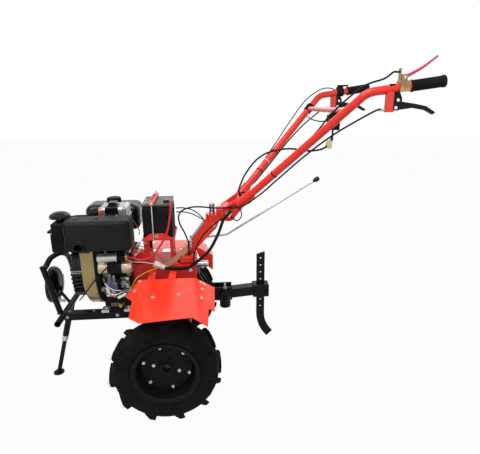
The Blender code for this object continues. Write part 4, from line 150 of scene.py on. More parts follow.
@dataclass(frozen=True)
class Finish:
    """One surface finish: its two colours as displayed, its gloss and its fine relief."""

    name: str
    colour: DisplayColour
    shade: DisplayColour
    roughness: float
    spread: float = 0.08
    metallic: float = 0.0
    coat: float = 0.0
    specular: float = 0.5
    mottle: float = 7.0
    grain: float = 500.0
    bump: float = 0.05
    dust: float = 0.0
    dust_colour: Colour = (0.32, 0.29, 0.25)
    pattern: Pattern = Pattern.ORANGE_PEEL
    coat_roughness: ClassVar[float] = 0.08
    bump_distance: ClassVar[float] = 0.001
    brush_stretch: ClassVar[float] = 14.0
    smudges_per_mottle: ClassVar[float] = 5.3
    dust_scale: ClassVar[float] = 95.0

    def material(self) -> Material:
        """Give the material of this finish, made once.

        Returns:
            A procedural material.
        """
        found = bpy.data.materials.get(self.name)
        if found and found.get("tractor_finish"):
            return found
        material = bpy.data.materials.new(self.name)
        material.name = self.name
        material["tractor_finish"] = True
        material.use_nodes = True
        self._wire(material.node_tree)
        return material

    def _wire(self, tree: NodeTree) -> None:
        """Build the nodes: mottled colour, uneven gloss, relief and dust."""
        nodes = tree.nodes
        link = tree.links.new
        shader = nodes["Principled BSDF"]
        shader.inputs["Metallic"].default_value = self.metallic
        shader.inputs["Coat Weight"].default_value = self.coat
        shader.inputs["Specular IOR Level"].default_value = self.specular
        shader.inputs["Coat Roughness"].default_value = self.coat_roughness
        place = nodes.new("ShaderNodeTexCoord")
        mapping = nodes.new("ShaderNodeMapping")
        stretch = self.brush_stretch if self.pattern is Pattern.BRUSHED else 1.0
        mapping.inputs["Scale"].default_value = (1.0, 1.0, stretch)
        link(place.outputs["Object"], mapping.inputs["Vector"])
        cloud = self._noise(nodes, self.mottle, 4.0)
        link(place.outputs["Object"], cloud.inputs["Vector"])
        mix = nodes.new("ShaderNodeMix")
        mix.data_type = "RGBA"
        mix.inputs["A"].default_value = (*linear(*self.colour), 1)
        mix.inputs["B"].default_value = (*linear(*self.shade), 1)
        contrast = self._range(nodes, 0.35, 0.68, 0.0, 1.0)
        link(cloud.outputs["Fac"], contrast.inputs["Value"])
        link(contrast.outputs["Result"], mix.inputs["Factor"])
        colour = mix.outputs["Result"]
        if self.dust > 0:
            colour = self._dusty(tree, place, colour)
        link(colour, shader.inputs["Base Color"])
        smudge = self._noise(nodes, self.mottle * self.smudges_per_mottle, 3.0)
        link(mapping.outputs["Vector"], smudge.inputs["Vector"])
        gloss = self._range(
            nodes, 0.3, 0.7, self.roughness - self.spread, self.roughness + self.spread,
        )
        link(smudge.outputs["Fac"], gloss.inputs["Value"])
        link(gloss.outputs["Result"], shader.inputs["Roughness"])
        height = self._relief(tree, mapping)
        bump = nodes.new("ShaderNodeBump")
        bump.inputs["Strength"].default_value = self.bump
        bump.inputs["Distance"].default_value = self.bump_distance
        link(height, bump.inputs["Height"])
        link(bump.outputs["Normal"], shader.inputs["Normal"])

    @staticmethod
    def _noise(nodes: Nodes, scale: float, detail: float) -> Node:
        """Add a noise texture of a scale and a detail."""
        noise = nodes.new("ShaderNodeTexNoise")
        noise.inputs["Scale"].default_value = scale
        noise.inputs["Detail"].default_value = detail
        return noise

    @staticmethod
    def _range(nodes: Nodes, low: float, high: float, start: float, end: float) -> Node:
        """Add a node that maps one range of values to another."""
        node = nodes.new("ShaderNodeMapRange")
        node.inputs["From Min"].default_value = low
        node.inputs["From Max"].default_value = high
        node.inputs["To Min"].default_value = start
        node.inputs["To Max"].default_value = end
        return node

    def _dusty(self, tree: NodeTree, place: Node, colour: NodeSocket) -> NodeSocket:
        """Lay fine specks of dust over the colour."""
        specks = self._noise(tree.nodes, self.dust_scale, 6.0)
        specks.inputs["Roughness"].default_value = 0.75
        tree.links.new(place.outputs["Object"], specks.inputs["Vector"])
        share = self._range(tree.nodes, 0.56, 0.80, 0.0, self.dust)
        tree.links.new(specks.outputs["Fac"], share.inputs["Value"])
        mix = tree.nodes.new("ShaderNodeMix")
        mix.data_type = "RGBA"
        mix.inputs["B"].default_value = (*self.dust_colour, 1)
        tree.links.new(colour, mix.inputs["A"])
        tree.links.new(share.outputs["Result"], mix.inputs["Factor"])
        return mix.outputs["Result"]

    def _relief(self, tree: NodeTree, mapping: Node) -> NodeSocket:
        """Give the height of the finish's fine relief."""
        if self.pattern is Pattern.CRINKLE:
            wave = tree.nodes.new("ShaderNodeTexWave")
            wave.bands_direction = "DIAGONAL"
            wave.inputs["Scale"].default_value = self.grain
            wave.inputs["Distortion"].default_value = 3.0
            wave.inputs["Detail"].default_value = 2.0
            tree.links.new(mapping.outputs["Vector"], wave.inputs["Vector"])
            return wave.outputs["Fac"]
        if self.pattern is Pattern.CAST:
            cells = tree.nodes.new("ShaderNodeTexVoronoi")
            cells.inputs["Scale"].default_value = self.grain
            tree.links.new(mapping.outputs["Vector"], cells.inputs["Vector"])
            return cells.outputs["Distance"]
        detail = 6.0 if self.pattern is Pattern.RUBBER else 2.0
        noise = self._noise(tree.nodes, self.grain, detail)
        tree.links.new(mapping.outputs["Vector"], noise.inputs["Vector"])
        return noise.outputs["Fac"]


class Finishes:
    """The finishes of the machine."""

    RED = Finish("red_paint", (224, 46, 30), (217, 42, 27), 0.30, specular=0.35, bump=0.01)
    CASTING_RED = Finish(
        "red_casting", (216, 40, 28), (204, 35, 25), 0.42, specular=0.35, grain=260, bump=0.05,
        pattern=Pattern.CAST,
    )
    ORANGE = Finish("orange_paint", (242, 58, 32), (237, 54, 30), 0.28, specular=0.38, bump=0.01)
    PINK = Finish("faded_red_paint", (216, 92, 84), (204, 78, 70), 0.30)
    BLACK = Finish("black_paint", (15, 15, 16), (21, 21, 22), 0.38, specular=0.10, dust=0.02)
    WHEEL = Finish("wheel_black", (15, 15, 15), (22, 22, 22), 0.52, specular=0.08, dust=0.06)
    MUFFLER = Finish(
        "crinkle_black", (20, 20, 21), (29, 29, 30), 0.42, specular=0.10, grain=90, bump=0.35,
        pattern=Pattern.CRINKLE,
    )
    PLASTIC = Finish("black_plastic", (14, 14, 15), (20, 20, 21), 0.45, specular=0.08, bump=0.12)
    GLOSS = Finish("gloss_black", (11, 11, 12), (17, 17, 18), 0.18, specular=0.22, bump=0.02)
    TYRE = Finish(
        "tyre_rubber", (16, 16, 16), (25, 25, 24), 0.74, specular=0.05, grain=220, bump=0.30,
        dust=0.10, pattern=Pattern.RUBBER,
    )
    GRIP = Finish(
        "grip_rubber", (16, 16, 17), (23, 23, 24), 0.66, specular=0.08, bump=0.25,
        pattern=Pattern.RUBBER,
    )
    CABLE = Finish("cable_black", (13, 13, 13), (19, 19, 19), 0.42, specular=0.10, bump=0.05)
    CABLE_RED = Finish("cable_red", (205, 16, 36), (186, 12, 30), 0.34, bump=0.04)
    CABLE_YELLOW = Finish("wire_yellow", (226, 176, 30), (208, 160, 24), 0.40, bump=0.03)
    CABLE_BLUE = Finish("wire_blue", (28, 62, 176), (22, 52, 150), 0.40, bump=0.03)
    CABLE_BROWN = Finish("wire_brown", (150, 110, 62), (130, 94, 50), 0.45, bump=0.03)
    GOLD = Finish(
        "gold_paint", (158, 138, 88), (140, 121, 74), 0.34, metallic=0.45, coat=0.2, bump=0.06,
    )
    SILVER = Finish(
        "silver_casting", (200, 199, 194), (168, 167, 162), 0.38, metallic=0.75, grain=420,
        bump=0.16, pattern=Pattern.CAST,
    )
    WARM_SILVER = Finish(
        "zinc_casting", (196, 184, 156), (168, 156, 130), 0.36, metallic=0.7, grain=420, bump=0.10,
        pattern=Pattern.CAST,
    )
    GREY = Finish(
        "grey_casting", (132, 130, 126), (96, 95, 92), 0.46, metallic=0.45, grain=340, bump=0.25,
        dust=0.12, pattern=Pattern.CAST,
    )
    DARK = Finish(
        "dark_casting", (26, 26, 27), (17, 17, 18), 0.50, specular=0.10, grain=340, bump=0.25,
        dust=0.06, pattern=Pattern.CAST,
    )
    # Darker than bare chrome, with a strongly mottled second colour: both paint the grey streaks
    # that the chrome reflects.
    CHROME = Finish(
        "chrome_plate", (176, 175, 174), (112, 111, 110), 0.16, 0.06, metallic=1.0, mottle=55.0,
        bump=0.01,
    )
    STEEL = Finish(
        "bare_steel", (172, 170, 166), (146, 144, 140), 0.32, metallic=0.95, grain=900, bump=0.05,
        pattern=Pattern.BRUSHED,
    )
    ZINC = Finish("pale_zinc", (214, 211, 196), (196, 192, 176), 0.34, metallic=0.55, bump=0.03)
    YELLOW_ZINC = Finish(
        "yellow_zinc", (158, 134, 84), (116, 80, 62), 0.32, metallic=0.6, mottle=26, bump=0.03,
    )
    BRASS = Finish("brass", (206, 170, 70), (176, 140, 50), 0.30, metallic=0.85, bump=0.03)
    ORANGE_PLASTIC = Finish("orange_plastic", (244, 104, 24), (230, 90, 18), 0.35, bump=0.02)
    LEVER_RED = Finish("lever_red", (196, 30, 66), (176, 24, 54), 0.28, coat=0.3, bump=0.02)
    WHITE = Finish("white_plastic", (232, 231, 226), (218, 216, 208), 0.42, bump=0.03)
    CREAM = Finish("cream_plastic", (222, 206, 164), (200, 182, 136), 0.42, bump=0.03)
    KRAFT = Finish(
        "kraft_strip", (196, 146, 104), (176, 128, 88), 0.62, bump=0.10, pattern=Pattern.RUBBER,
    )
    GLASS = Finish(
        "lamp_glass", (214, 220, 222), (196, 204, 208), 0.10, metallic=0.35, coat=0.6, grain=60,
        bump=0.5, pattern=Pattern.CRINKLE,
    )
    PLATE = Finish("grey_plate", (150, 148, 145), (132, 130, 128), 0.42, metallic=0.3, bump=0.05)
    BATTERY_LID = Finish("battery_lid_grey", (66, 67, 69), (54, 55, 57), 0.44, bump=0.10)
    # Painted shade: a flat dark colour for holes, slots and the insides of pipes.
    HOLE_SHADE = Finish("dark_hollow", (6, 6, 6), (9, 9, 9), 0.85, specular=0.05, bump=0.02)


# Shapes


def to_mesh(shape: bmesh.types.BMesh) -> Mesh:
    """Close a shape's seams, turn its faces outwards and give its mesh."""
    bmesh.ops.remove_doubles(shape, verts=shape.verts, dist=SEAM_DISTANCE)
    bmesh.ops.recalc_face_normals(shape, faces=shape.faces)
    mesh = bpy.data.meshes.new("shape")
    shape.to_mesh(mesh)
    shape.free()
    return mesh


def soften(
    shape: bmesh.types.BMesh, width: float, steps: int = 2, angle: float = BEVEL_DEGREES,
) -> None:
    """Bevel the sharp edges of a shape.

    Args:
        shape: The shape, changed in place.
        width: Width of the bevel.
        steps: Steps across the bevel.
        angle: Edges that turn by more than this many degrees are bevelled.
    """
    limit = math.radians(angle)
    edges = [e for e in shape.edges if len(e.link_faces) == 2 and e.calc_face_angle(0.0) > limit]
    if edges and width > 0:
        bmesh.ops.bevel(
            shape, geom=edges, offset=width, segments=steps, profile=0.5, affect="EDGES",
            clamp_overlap=True,
        )


def block(low: Point, high: Point, bevel: float = 0.0015, steps: int = 2) -> Mesh:
    """Make a box between two corners, with bevelled edges.

    Args:
        low: Lowest corner.
        high: Highest corner.
        bevel: Width of the bevel.
        steps: Steps across the bevel.

    Returns:
        The box.
    """
    shape = bmesh.new()
    size = Vector(high) - Vector(low)
    middle = (Vector(high) + Vector(low)) / 2
    bmesh.ops.create_cube(
        shape, size=1, matrix=Matrix.Translation(middle) @ Matrix.Diagonal((*size, 1)),
    )
    soften(shape, bevel, steps)
    return to_mesh(shape)


def square_axes(direction: Vector) -> tuple[Vector, Vector]:
    """Give two axes square to a direction and to each other."""
    direction = direction.normalized()
    guide = Z_AXIS if abs(direction.z) < 0.9 else X_AXIS
    side = guide.cross(direction).normalized()
    return side, direction.cross(side)


def circle(middle: Vector, side: Vector, up: Vector, radius: float, sides: int) -> list[Vector]:
    """Give points round a middle, in the plane of two axes."""
    points = []
    for step in range(sides):
        angle = 2 * math.pi * step / sides
        points.append(middle + (side * math.cos(angle) + up * math.sin(angle)) * radius)
    return points


def ring_section(start: float, end: float, inner: float, outer: float) -> list[tuple[float, float]]:
    """Give the square section of a ring, as a profile to turn."""
    return [(start, inner), (start, outer), (end, outer), (end, inner)]


def lofted(sections: Iterable[Iterable[Point]], bevel: float = 0.0, steps: int = 2) -> Mesh:
    """Join rings of points, one after the other, into a closed shape.

    Args:
        sections: Rings with the same number of points.
        bevel: Width of the bevel on the edges, 0 for none.
        steps: Steps across the bevel.

    Returns:
        The shape, closed at both ends.
    """
    shape = bmesh.new()
    rings = [[shape.verts.new(point) for point in section] for section in sections]
    shape.faces.new(rings[0])
    shape.faces.new(rings[-1])
    for near, far in zip(rings, rings[1:]):
        for step in range(len(near)):
            after = (step + 1) % len(near)
            shape.faces.new((near[step], near[after], far[after], far[step]))
    if bevel > 0:
        bmesh.ops.recalc_face_normals(shape, faces=shape.faces)
        soften(shape, bevel, steps)
    return to_mesh(shape)


def turned(
    profile: Iterable[tuple[float, float]], origin: Point, axis: Point, sides: int = 48,
) -> Mesh:
    """Turn a profile round an axis.

    Args:
        profile: Pairs of place along the axis and radius.
        origin: Start of the axis.
        axis: Direction of the axis.
        sides: Faces round the axis.

    Returns:
        The turned shape.
    """
    start = Vector(origin)
    along = Vector(axis).normalized()
    side, up = square_axes(along)
    shape = bmesh.new()
    rings: list[list[bmesh.types.BMVert]] = []
    for place, radius in profile:
        middle = start + along * place
        points = [middle] if radius < POINT_RADIUS else circle(middle, side, up, radius, sides)
        rings.append([shape.verts.new(point) for point in points])
    for index in range(len(rings)):
        near, far = rings[index], rings[(index + 1) % len(rings)]
        if len(near) == 1 and len(far) == 1:
            continue
        for step in range(sides):
            after = (step + 1) % sides
            corners = [near[step % len(near)], near[after % len(near)]]
            corners += [far[after % len(far)], far[step % len(far)]]
            shape.faces.new(list(dict.fromkeys(corners)))
    return to_mesh(shape)


def rod(start: Point, end: Point, radius: float, sides: int = 32, bevel: float = 0.0008) -> Mesh:
    """Make a round or many-sided rod with bevelled ends.

    Args:
        start: Middle of the first end.
        end: Middle of the other end.
        radius: Radius of the rod.
        sides: Faces round the rod.
        bevel: Width of the bevel at the ends.

    Returns:
        The rod.
    """
    first, last = Vector(start), Vector(end)
    length = (last - first).length
    bevel = min(bevel, radius * 0.4, length * 0.3)
    profile = [
        (0.0, 0.0), (0.0, radius - bevel), (bevel, radius), (length - bevel, radius),
        (length, radius - bevel), (length, 0.0),
    ]
    return turned(profile, first, last - first, sides)


def tube(start: Point, end: Point, radius: float, wall: float, sides: int = 32) -> Mesh:
    """Make an open round tube with a wall."""
    first, last = Vector(start), Vector(end)
    length = (last - first).length
    inner = radius - wall
    return turned(ring_section(0.0, length, inner, radius), first, last - first, sides)


def prism(
    outline: Iterable[tuple[float, float]], axis: Axis, low: float, high: float,
    bevel: float = 0.0015, steps: int = 2,
) -> Mesh:
    """Push a flat outline along an axis.

    Args:
        outline: Points in the other two axes.
        axis: The axis to push along.
        low: Start along the axis.
        high: End along the axis.
        bevel: Width of the bevel on the edges.
        steps: Steps across the bevel.

    Returns:
        The pushed shape.
    """
    places = {
        Axis.X: lambda a, b, c: (c, a, b), Axis.Y: lambda a, b, c: (a, c, b), Axis.Z: lambda a, b,
        c: (a, b, c),
    }
    place = places[axis]
    points = list(outline)
    return lofted([[place(a, b, c) for a, b in points] for c in (low, high)], bevel, steps)


def arc(
    middle: tuple[float, float], radius: float, start: float, end: float, steps: int,
) -> list[tuple[float, float]]:
    """Give points along an arc in a plane, between two angles in degrees."""
    points = []
    for step in range(steps + 1):
        angle = math.radians(start + (end - start) * step / steps)
        points.append((middle[0] + radius * math.cos(angle), middle[1] + radius * math.sin(angle)))
    return points


def rounded(points: Iterable[Point], radius: float, steps: int = 10) -> list[Vector]:
    """Round the corners of a path.

    Args:
        points: Corners of the path.
        radius: Radius of each bend.
        steps: Steps along each bend.

    Returns:
        The points of the rounded path.
    """
    corners = [Vector(point) for point in points]
    path = [corners[0]]
    for before, corner, after in zip(corners, corners[1:], corners[2:]):
        back = (before - corner).normalized()
        forth = (after - corner).normalized()
        half = back.angle(forth) / 2
        centre = corner + (back + forth).normalized() * (radius / math.sin(half))
        start = corner + back * (radius / math.tan(half)) - centre
        end = corner + forth * (radius / math.tan(half)) - centre
        sweep = start.angle(end)
        for step in range(steps + 1):
            share = step / steps
            low = math.sin((1 - share) * sweep) / math.sin(sweep)
            high = math.sin(share * sweep) / math.sin(sweep)
            path.append(centre + start * low + end * high)
    path.append(corners[-1])
    return path


def smooth(points: Iterable[Point], spacing: float) -> list[Vector]:
    """Give points at an even spacing on a smooth curve through a route.

    Args:
        points: The route.
        spacing: Distance between the points.

    Returns:
        The points of the curve.
    """
    route = [Vector(point) for point in points]
    ends = [2 * route[0] - route[1]] + route + [2 * route[-1] - route[-2]]
    fine: list[Vector] = []
    for first, second, third, fourth in zip(ends, ends[1:], ends[2:], ends[3:]):
        for step in range(CURVE_STEPS):
            share = step / CURVE_STEPS
            value = 2 * second + (third - first) * share
            value += (2 * first - 5 * second + 4 * third - fourth) * share**2
            value += (3 * second - first - 3 * third + fourth) * share**3
            fine.append(value / 2)
    fine.append(route[-1])
    length = sum((after - before).length for before, after in zip(fine, fine[1:]))
    count = max(2, round(length / spacing))
    result = [fine[0]]
    walked = 0.0
    for before, after in zip(fine, fine[1:]):
        walked += (after - before).length
        if walked >= length * len(result) / count and len(result) < count:
            result.append(after)
    result.append(fine[-1])
    return result


def swept(
    path: Iterable[Point], radius: float, sides: int = 20, end_radius: float | None = None,
) -> Mesh:
    """Make a round bar that follows a path.

    Args:
        path: Points of the path.
        radius: Radius of the bar.
        sides: Faces round the bar.
        end_radius: Radius at the end, the same where left out.

    Returns:
        The bar.
    """
    points = [Vector(point) for point in path]
    last = radius if end_radius is None else end_radius
    sections = []
    side, _ = square_axes(points[1] - points[0])
    for index, point in enumerate(points):
        before = points[max(index - 1, 0)]
        after = points[min(index + 1, len(points) - 1)]
        along = (after - before).normalized()
        side = (side - along * side.dot(along)).normalized()
        size = radius + (last - radius) * index / (len(points) - 1)
        sections.append(circle(point, side, along.cross(side), size, sides))
    return lofted(sections)


def joined(meshes: Iterable[Mesh]) -> Mesh:
    """Put several shapes into one mesh."""
    shape = bmesh.new()
    for mesh in meshes:
        shape.from_mesh(mesh)
    result = bpy.data.meshes.new("shapes")
    shape.to_mesh(result)
    shape.free()
    return result


def mirrored(mesh: Mesh) -> Mesh:
    """Give a mesh's mirror image across the machine's middle plane."""
    shape = bmesh.new()
    shape.from_mesh(mesh)
    for vertex in shape.verts:
        vertex.co.y = -vertex.co.y
    return to_mesh(shape)


def evaluated(base: Mesh, modify: Callable[[Object], None]) -> Mesh:
    """Put a mesh through modifiers and give the plain result.

    Args:
        base: The mesh.
        modify: A function that adds modifiers to the object that holds it.

    Returns:
        The changed mesh, without modifiers.
    """
    holder = bpy.data.objects.new("holder", base)
    bpy.context.scene.collection.objects.link(holder)
    modify(holder)
    bpy.context.view_layer.update()
    done = holder.evaluated_get(bpy.context.evaluated_depsgraph_get())
    mesh = bpy.data.meshes.new_from_object(done)
    holder.modifiers.clear()
    bpy.data.objects.remove(holder, do_unlink=True)
    return mesh


# Geometry Nodes


class NodeRecipe:
    """A Geometry Nodes tree with named inputs, which turns a mesh into a mesh."""

    def __init__(self, name: str, inputs: dict[str, str]) -> None:
        """Start the tree.

        Args:
            name: Name of the tree.
            inputs: Socket types of the named inputs.
        """
        self.group = bpy.data.node_groups.new(name, "GeometryNodeTree")
        face = self.group.interface
        face.new_socket("Geometry", in_out="INPUT", socket_type="NodeSocketGeometry")
        self.sockets: dict[str, str] = {}
        for title, kind in inputs.items():
            socket = face.new_socket(title, in_out="INPUT", socket_type=kind)
            self.sockets[title] = socket.identifier
        face.new_socket("Geometry", in_out="OUTPUT", socket_type="NodeSocketGeometry")
        self.source = self.group.nodes.new("NodeGroupInput")
        self.build()

    def build(self) -> None:
        """Add the nodes of this recipe."""
        raise NotImplementedError

    def node(self, kind: str, **values: object) -> Node:
        """Add a node and set its properties."""
        made = self.group.nodes.new(kind)
        for name, value in values.items():
            setattr(made, name, value)
        return made

    def link(self, start: NodeSocket, end: NodeSocket) -> None:
        """Join two sockets."""
        self.group.links.new(start, end)

    def join(self, start: Node, out: str, end: Node, into: str) -> None:
        """Join a named output of one node to a named input of another."""
        self.link(start.outputs[out], end.inputs[into])

    def maths(self, operation: str, first: object, second: object) -> NodeSocket:
        """Add a maths node over two sockets or numbers and give its result."""
        made = self.node("ShaderNodeMath", operation=operation)
        for socket, value in zip(made.inputs, (first, second)):
            if isinstance(value, NodeSocket):
                self.link(value, socket)
            else:
                socket.default_value = value
        return made.outputs[0]

    def end(self, geometry: NodeSocket) -> None:
        """Make the copies real, give them their material and end the tree."""
        real = self.node("GeometryNodeRealizeInstances")
        dress = self.node("GeometryNodeSetMaterial")
        out = self.node("NodeGroupOutput")
        self.link(geometry, real.inputs["Geometry"])
        self.join(real, "Geometry", dress, "Geometry")
        self.join(self.source, "Finish", dress, "Material")
        self.join(dress, "Geometry", out, "Geometry")

    def grow(self, base: Mesh, **sizes: object) -> Mesh:
        """Run the tree on a mesh.

        Args:
            base: The mesh that the tree starts from.
            sizes: Values of the named inputs, with _ for a space.

        Returns:
            The plain mesh that the tree gives.
        """

        def modify(holder: Object) -> None:
            change = holder.modifiers.new("grow", "NODES")
            change.node_group = self.group
            for name, value in sizes.items():
                change[self.sockets[name.replace("_", " ")]] = value

        return evaluated(base, modify)


class RepeatRecipe(NodeRecipe):
    """Copies of a shape, each turned about a pivot and moved on by a step."""

    def __init__(self) -> None:
        """Name the tree and its inputs."""
        super().__init__(
            "repeat_shape",
            {
                "Count": "NodeSocketInt", "Turn": "NodeSocketVector", "Step": "NodeSocketVector",
                "Pivot": "NodeSocketVector", "Finish": "NodeSocketMaterial",
            },
        )

    def build(self) -> None:
        """Duplicate the shape, then turn and move each copy by its number."""
        wrap = self.node("GeometryNodeGeometryToInstance")
        copies = self.node("GeometryNodeDuplicateElements", domain="INSTANCE")
        turn = self.node("GeometryNodeRotateInstances")
        move = self.node("GeometryNodeTranslateInstances")
        self.join(self.source, "Geometry", wrap, "Geometry")
        self.join(wrap, "Instances", copies, "Geometry")
        self.join(self.source, "Count", copies, "Amount")
        angle = self._scaled(copies, "Turn")
        place = self._scaled(copies, "Step")
        spin = self.node("FunctionNodeEulerToRotation")
        self.link(angle, spin.inputs["Euler"])
        self.join(copies, "Geometry", turn, "Instances")
        self.join(spin, "Rotation", turn, "Rotation")
        self.join(self.source, "Pivot", turn, "Pivot Point")
        turn.inputs["Local Space"].default_value = False
        self.join(turn, "Instances", move, "Instances")
        self.link(place, move.inputs["Translation"])
        move.inputs["Local Space"].default_value = False
        self.end(move.outputs["Instances"])

    def _scaled(self, copies: Node, title: str) -> NodeSocket:
        """Multiply a vector input by the copy's number."""
        scale = self.node("ShaderNodeVectorMath", operation="SCALE")
        self.link(self.source.outputs[title], scale.inputs[0])
        self.join(copies, "Duplicate Index", scale, "Scale")
        return scale.outputs["Vector"]


class BoltRecipe(NodeRecipe):
    """A hexagon bolt head on a washer at each point, along the point's axis."""

    washer_height: ClassVar[float] = 0.35  # over the height of the head
    crown_height: ClassVar[float] = 1.18  # over the height of the head
    crown_radius: ClassVar[float] = 0.72  # over the radius of the head

    def __init__(self) -> None:
        """Name the tree and its inputs."""
        super().__init__(
            "bolt_heads",
            {
                "Radius": "NodeSocketFloat", "Height": "NodeSocketFloat",
                "Washer": "NodeSocketFloat", "Sides": "NodeSocketInt",
                "Finish": "NodeSocketMaterial",
            },
        )

    def build(self) -> None:
        """Build the head and the washer and set them on the points."""
        height = self.source.outputs["Height"]
        head = self._disc(self.source.outputs["Radius"], height, self.source.outputs["Sides"])
        thin = self.maths("MULTIPLY", height, self.washer_height)
        washer = self._disc(self.source.outputs["Washer"], thin, 20)
        crown_size = self.maths("MULTIPLY", self.source.outputs["Radius"], self.crown_radius)
        crown = self._disc(crown_size, self.maths("MULTIPLY", height, self.crown_height), 16)
        both = self.node("GeometryNodeJoinGeometry")
        for shape in (head, washer, crown):
            self.link(shape, both.inputs["Geometry"])
        axis = self.node("GeometryNodeInputNamedAttribute", data_type="FLOAT_VECTOR")
        axis.inputs["Name"].default_value = "axis"
        aim = self.node("FunctionNodeAlignRotationToVector", axis="Z")
        self.join(axis, "Attribute", aim, "Vector")
        points = self.node("GeometryNodeInstanceOnPoints")
        self.join(self.source, "Geometry", points, "Points")
        self.join(both, "Geometry", points, "Instance")
        self.join(aim, "Rotation", points, "Rotation")
        self.end(points.outputs["Instances"])

    def _disc(self, radius: NodeSocket, height: NodeSocket, sides: object) -> NodeSocket:
        """Add a short cylinder that stands on the point."""
        disc = self.node("GeometryNodeMeshCylinder", fill_type="NGON")
        self.link(radius, disc.inputs["Radius"])
        self.link(height, disc.inputs["Depth"])
        if isinstance(sides, NodeSocket):
            self.link(sides, disc.inputs["Vertices"])
        else:
            disc.inputs["Vertices"].default_value = sides
        lift = self.node("ShaderNodeCombineXYZ")
        self.link(self.maths("MULTIPLY", height, 0.5), lift.inputs["Z"])
        place = self.node("GeometryNodeTransform")
        self.join(disc, "Mesh", place, "Geometry")
        self.join(lift, "Vector", place, "Translation")
        return place.outputs["Geometry"]


class SleeveRecipe(NodeRecipe):
    """A round sleeve along a line of edges, plain or with rings along it."""

    faces_round: ClassVar[int] = 14

    def __init__(self) -> None:
        """Name the tree and its inputs."""
        super().__init__(
            "sleeve_along_route",
            {
                "Radius": "NodeSocketFloat", "Spacing": "NodeSocketFloat",
                "Ring Depth": "NodeSocketFloat", "Ring Pitch": "NodeSocketFloat",
                "Finish": "NodeSocketMaterial",
            },
        )

    def build(self) -> None:
        """Turn the line into a curve, even its points out and put the sleeve on it."""
        line = self.node("GeometryNodeMeshToCurve")
        even = self.node("GeometryNodeResampleCurve")
        even.mode = "LENGTH"
        sleeve = self.node("GeometryNodeCurveToMesh")
        ring = self.node("GeometryNodeCurvePrimitiveCircle")
        ring.inputs["Resolution"].default_value = self.faces_round
        self.join(self.source, "Geometry", line, "Mesh")
        self.join(line, "Curve", even, "Curve")
        self.join(self.source, "Spacing", even, "Length")
        self.join(self.source, "Radius", ring, "Radius")
        along = self.node("GeometryNodeSplineParameter")
        turns = self.maths("DIVIDE", along.outputs["Length"], self.source.outputs["Ring Pitch"])
        wave = self.maths("SINE", self.maths("MULTIPLY", turns, 2 * math.pi), 0.0)
        swell = self.maths("MULTIPLY", wave, self.source.outputs["Ring Depth"])
        size = self.node("GeometryNodeSetCurveRadius")
        self.join(even, "Curve", size, "Curve")
        self.link(self.maths("ADD", swell, 1.0), size.inputs["Radius"])
        self.join(size, "Curve", sleeve, "Curve")
        self.join(ring, "Curve", sleeve, "Profile Curve")
        scale = sleeve.inputs.get("Scale")
        if scale is not None:
            width = self.node("GeometryNodeInputRadius")
            self.link(width.outputs["Radius"], scale)
        sleeve.inputs["Fill Caps"].default_value = True
        self.end(sleeve.outputs["Mesh"])


class Recipes:
    """The Geometry Nodes trees, made once the frame is loaded."""

    def __init__(self) -> None:
        """Build every tree."""
        self.repeat = RepeatRecipe()
        self.bolt = BoltRecipe()
        self.sleeve = SleeveRecipe()


def line_mesh(points: Iterable[Point]) -> Mesh:
    """Give a mesh of edges through points."""
    places = [tuple(Vector(point)) for point in points]
    mesh = bpy.data.meshes.new("line")
    mesh.from_pydata(places, [(i, i + 1) for i in range(len(places) - 1)], [])
    return mesh


def point_mesh(places: Iterable[tuple[Point, Point]]) -> Mesh:
    """Give a mesh of points that each carry an axis.

    Args:
        places: Pairs of a point and its axis.

    Returns:
        A mesh without faces.
    """
    pairs = [(Vector(point), Vector(axis).normalized()) for point, axis in places]
    mesh = bpy.data.meshes.new("points")
    mesh.from_pydata([tuple(point) for point, _ in pairs], [], [])
    axes = mesh.attributes.new("axis", "FLOAT_VECTOR", "POINT")
    for item, (_, axis) in zip(axes.data, pairs):
        item.vector = axis
    return mesh


# Pieces


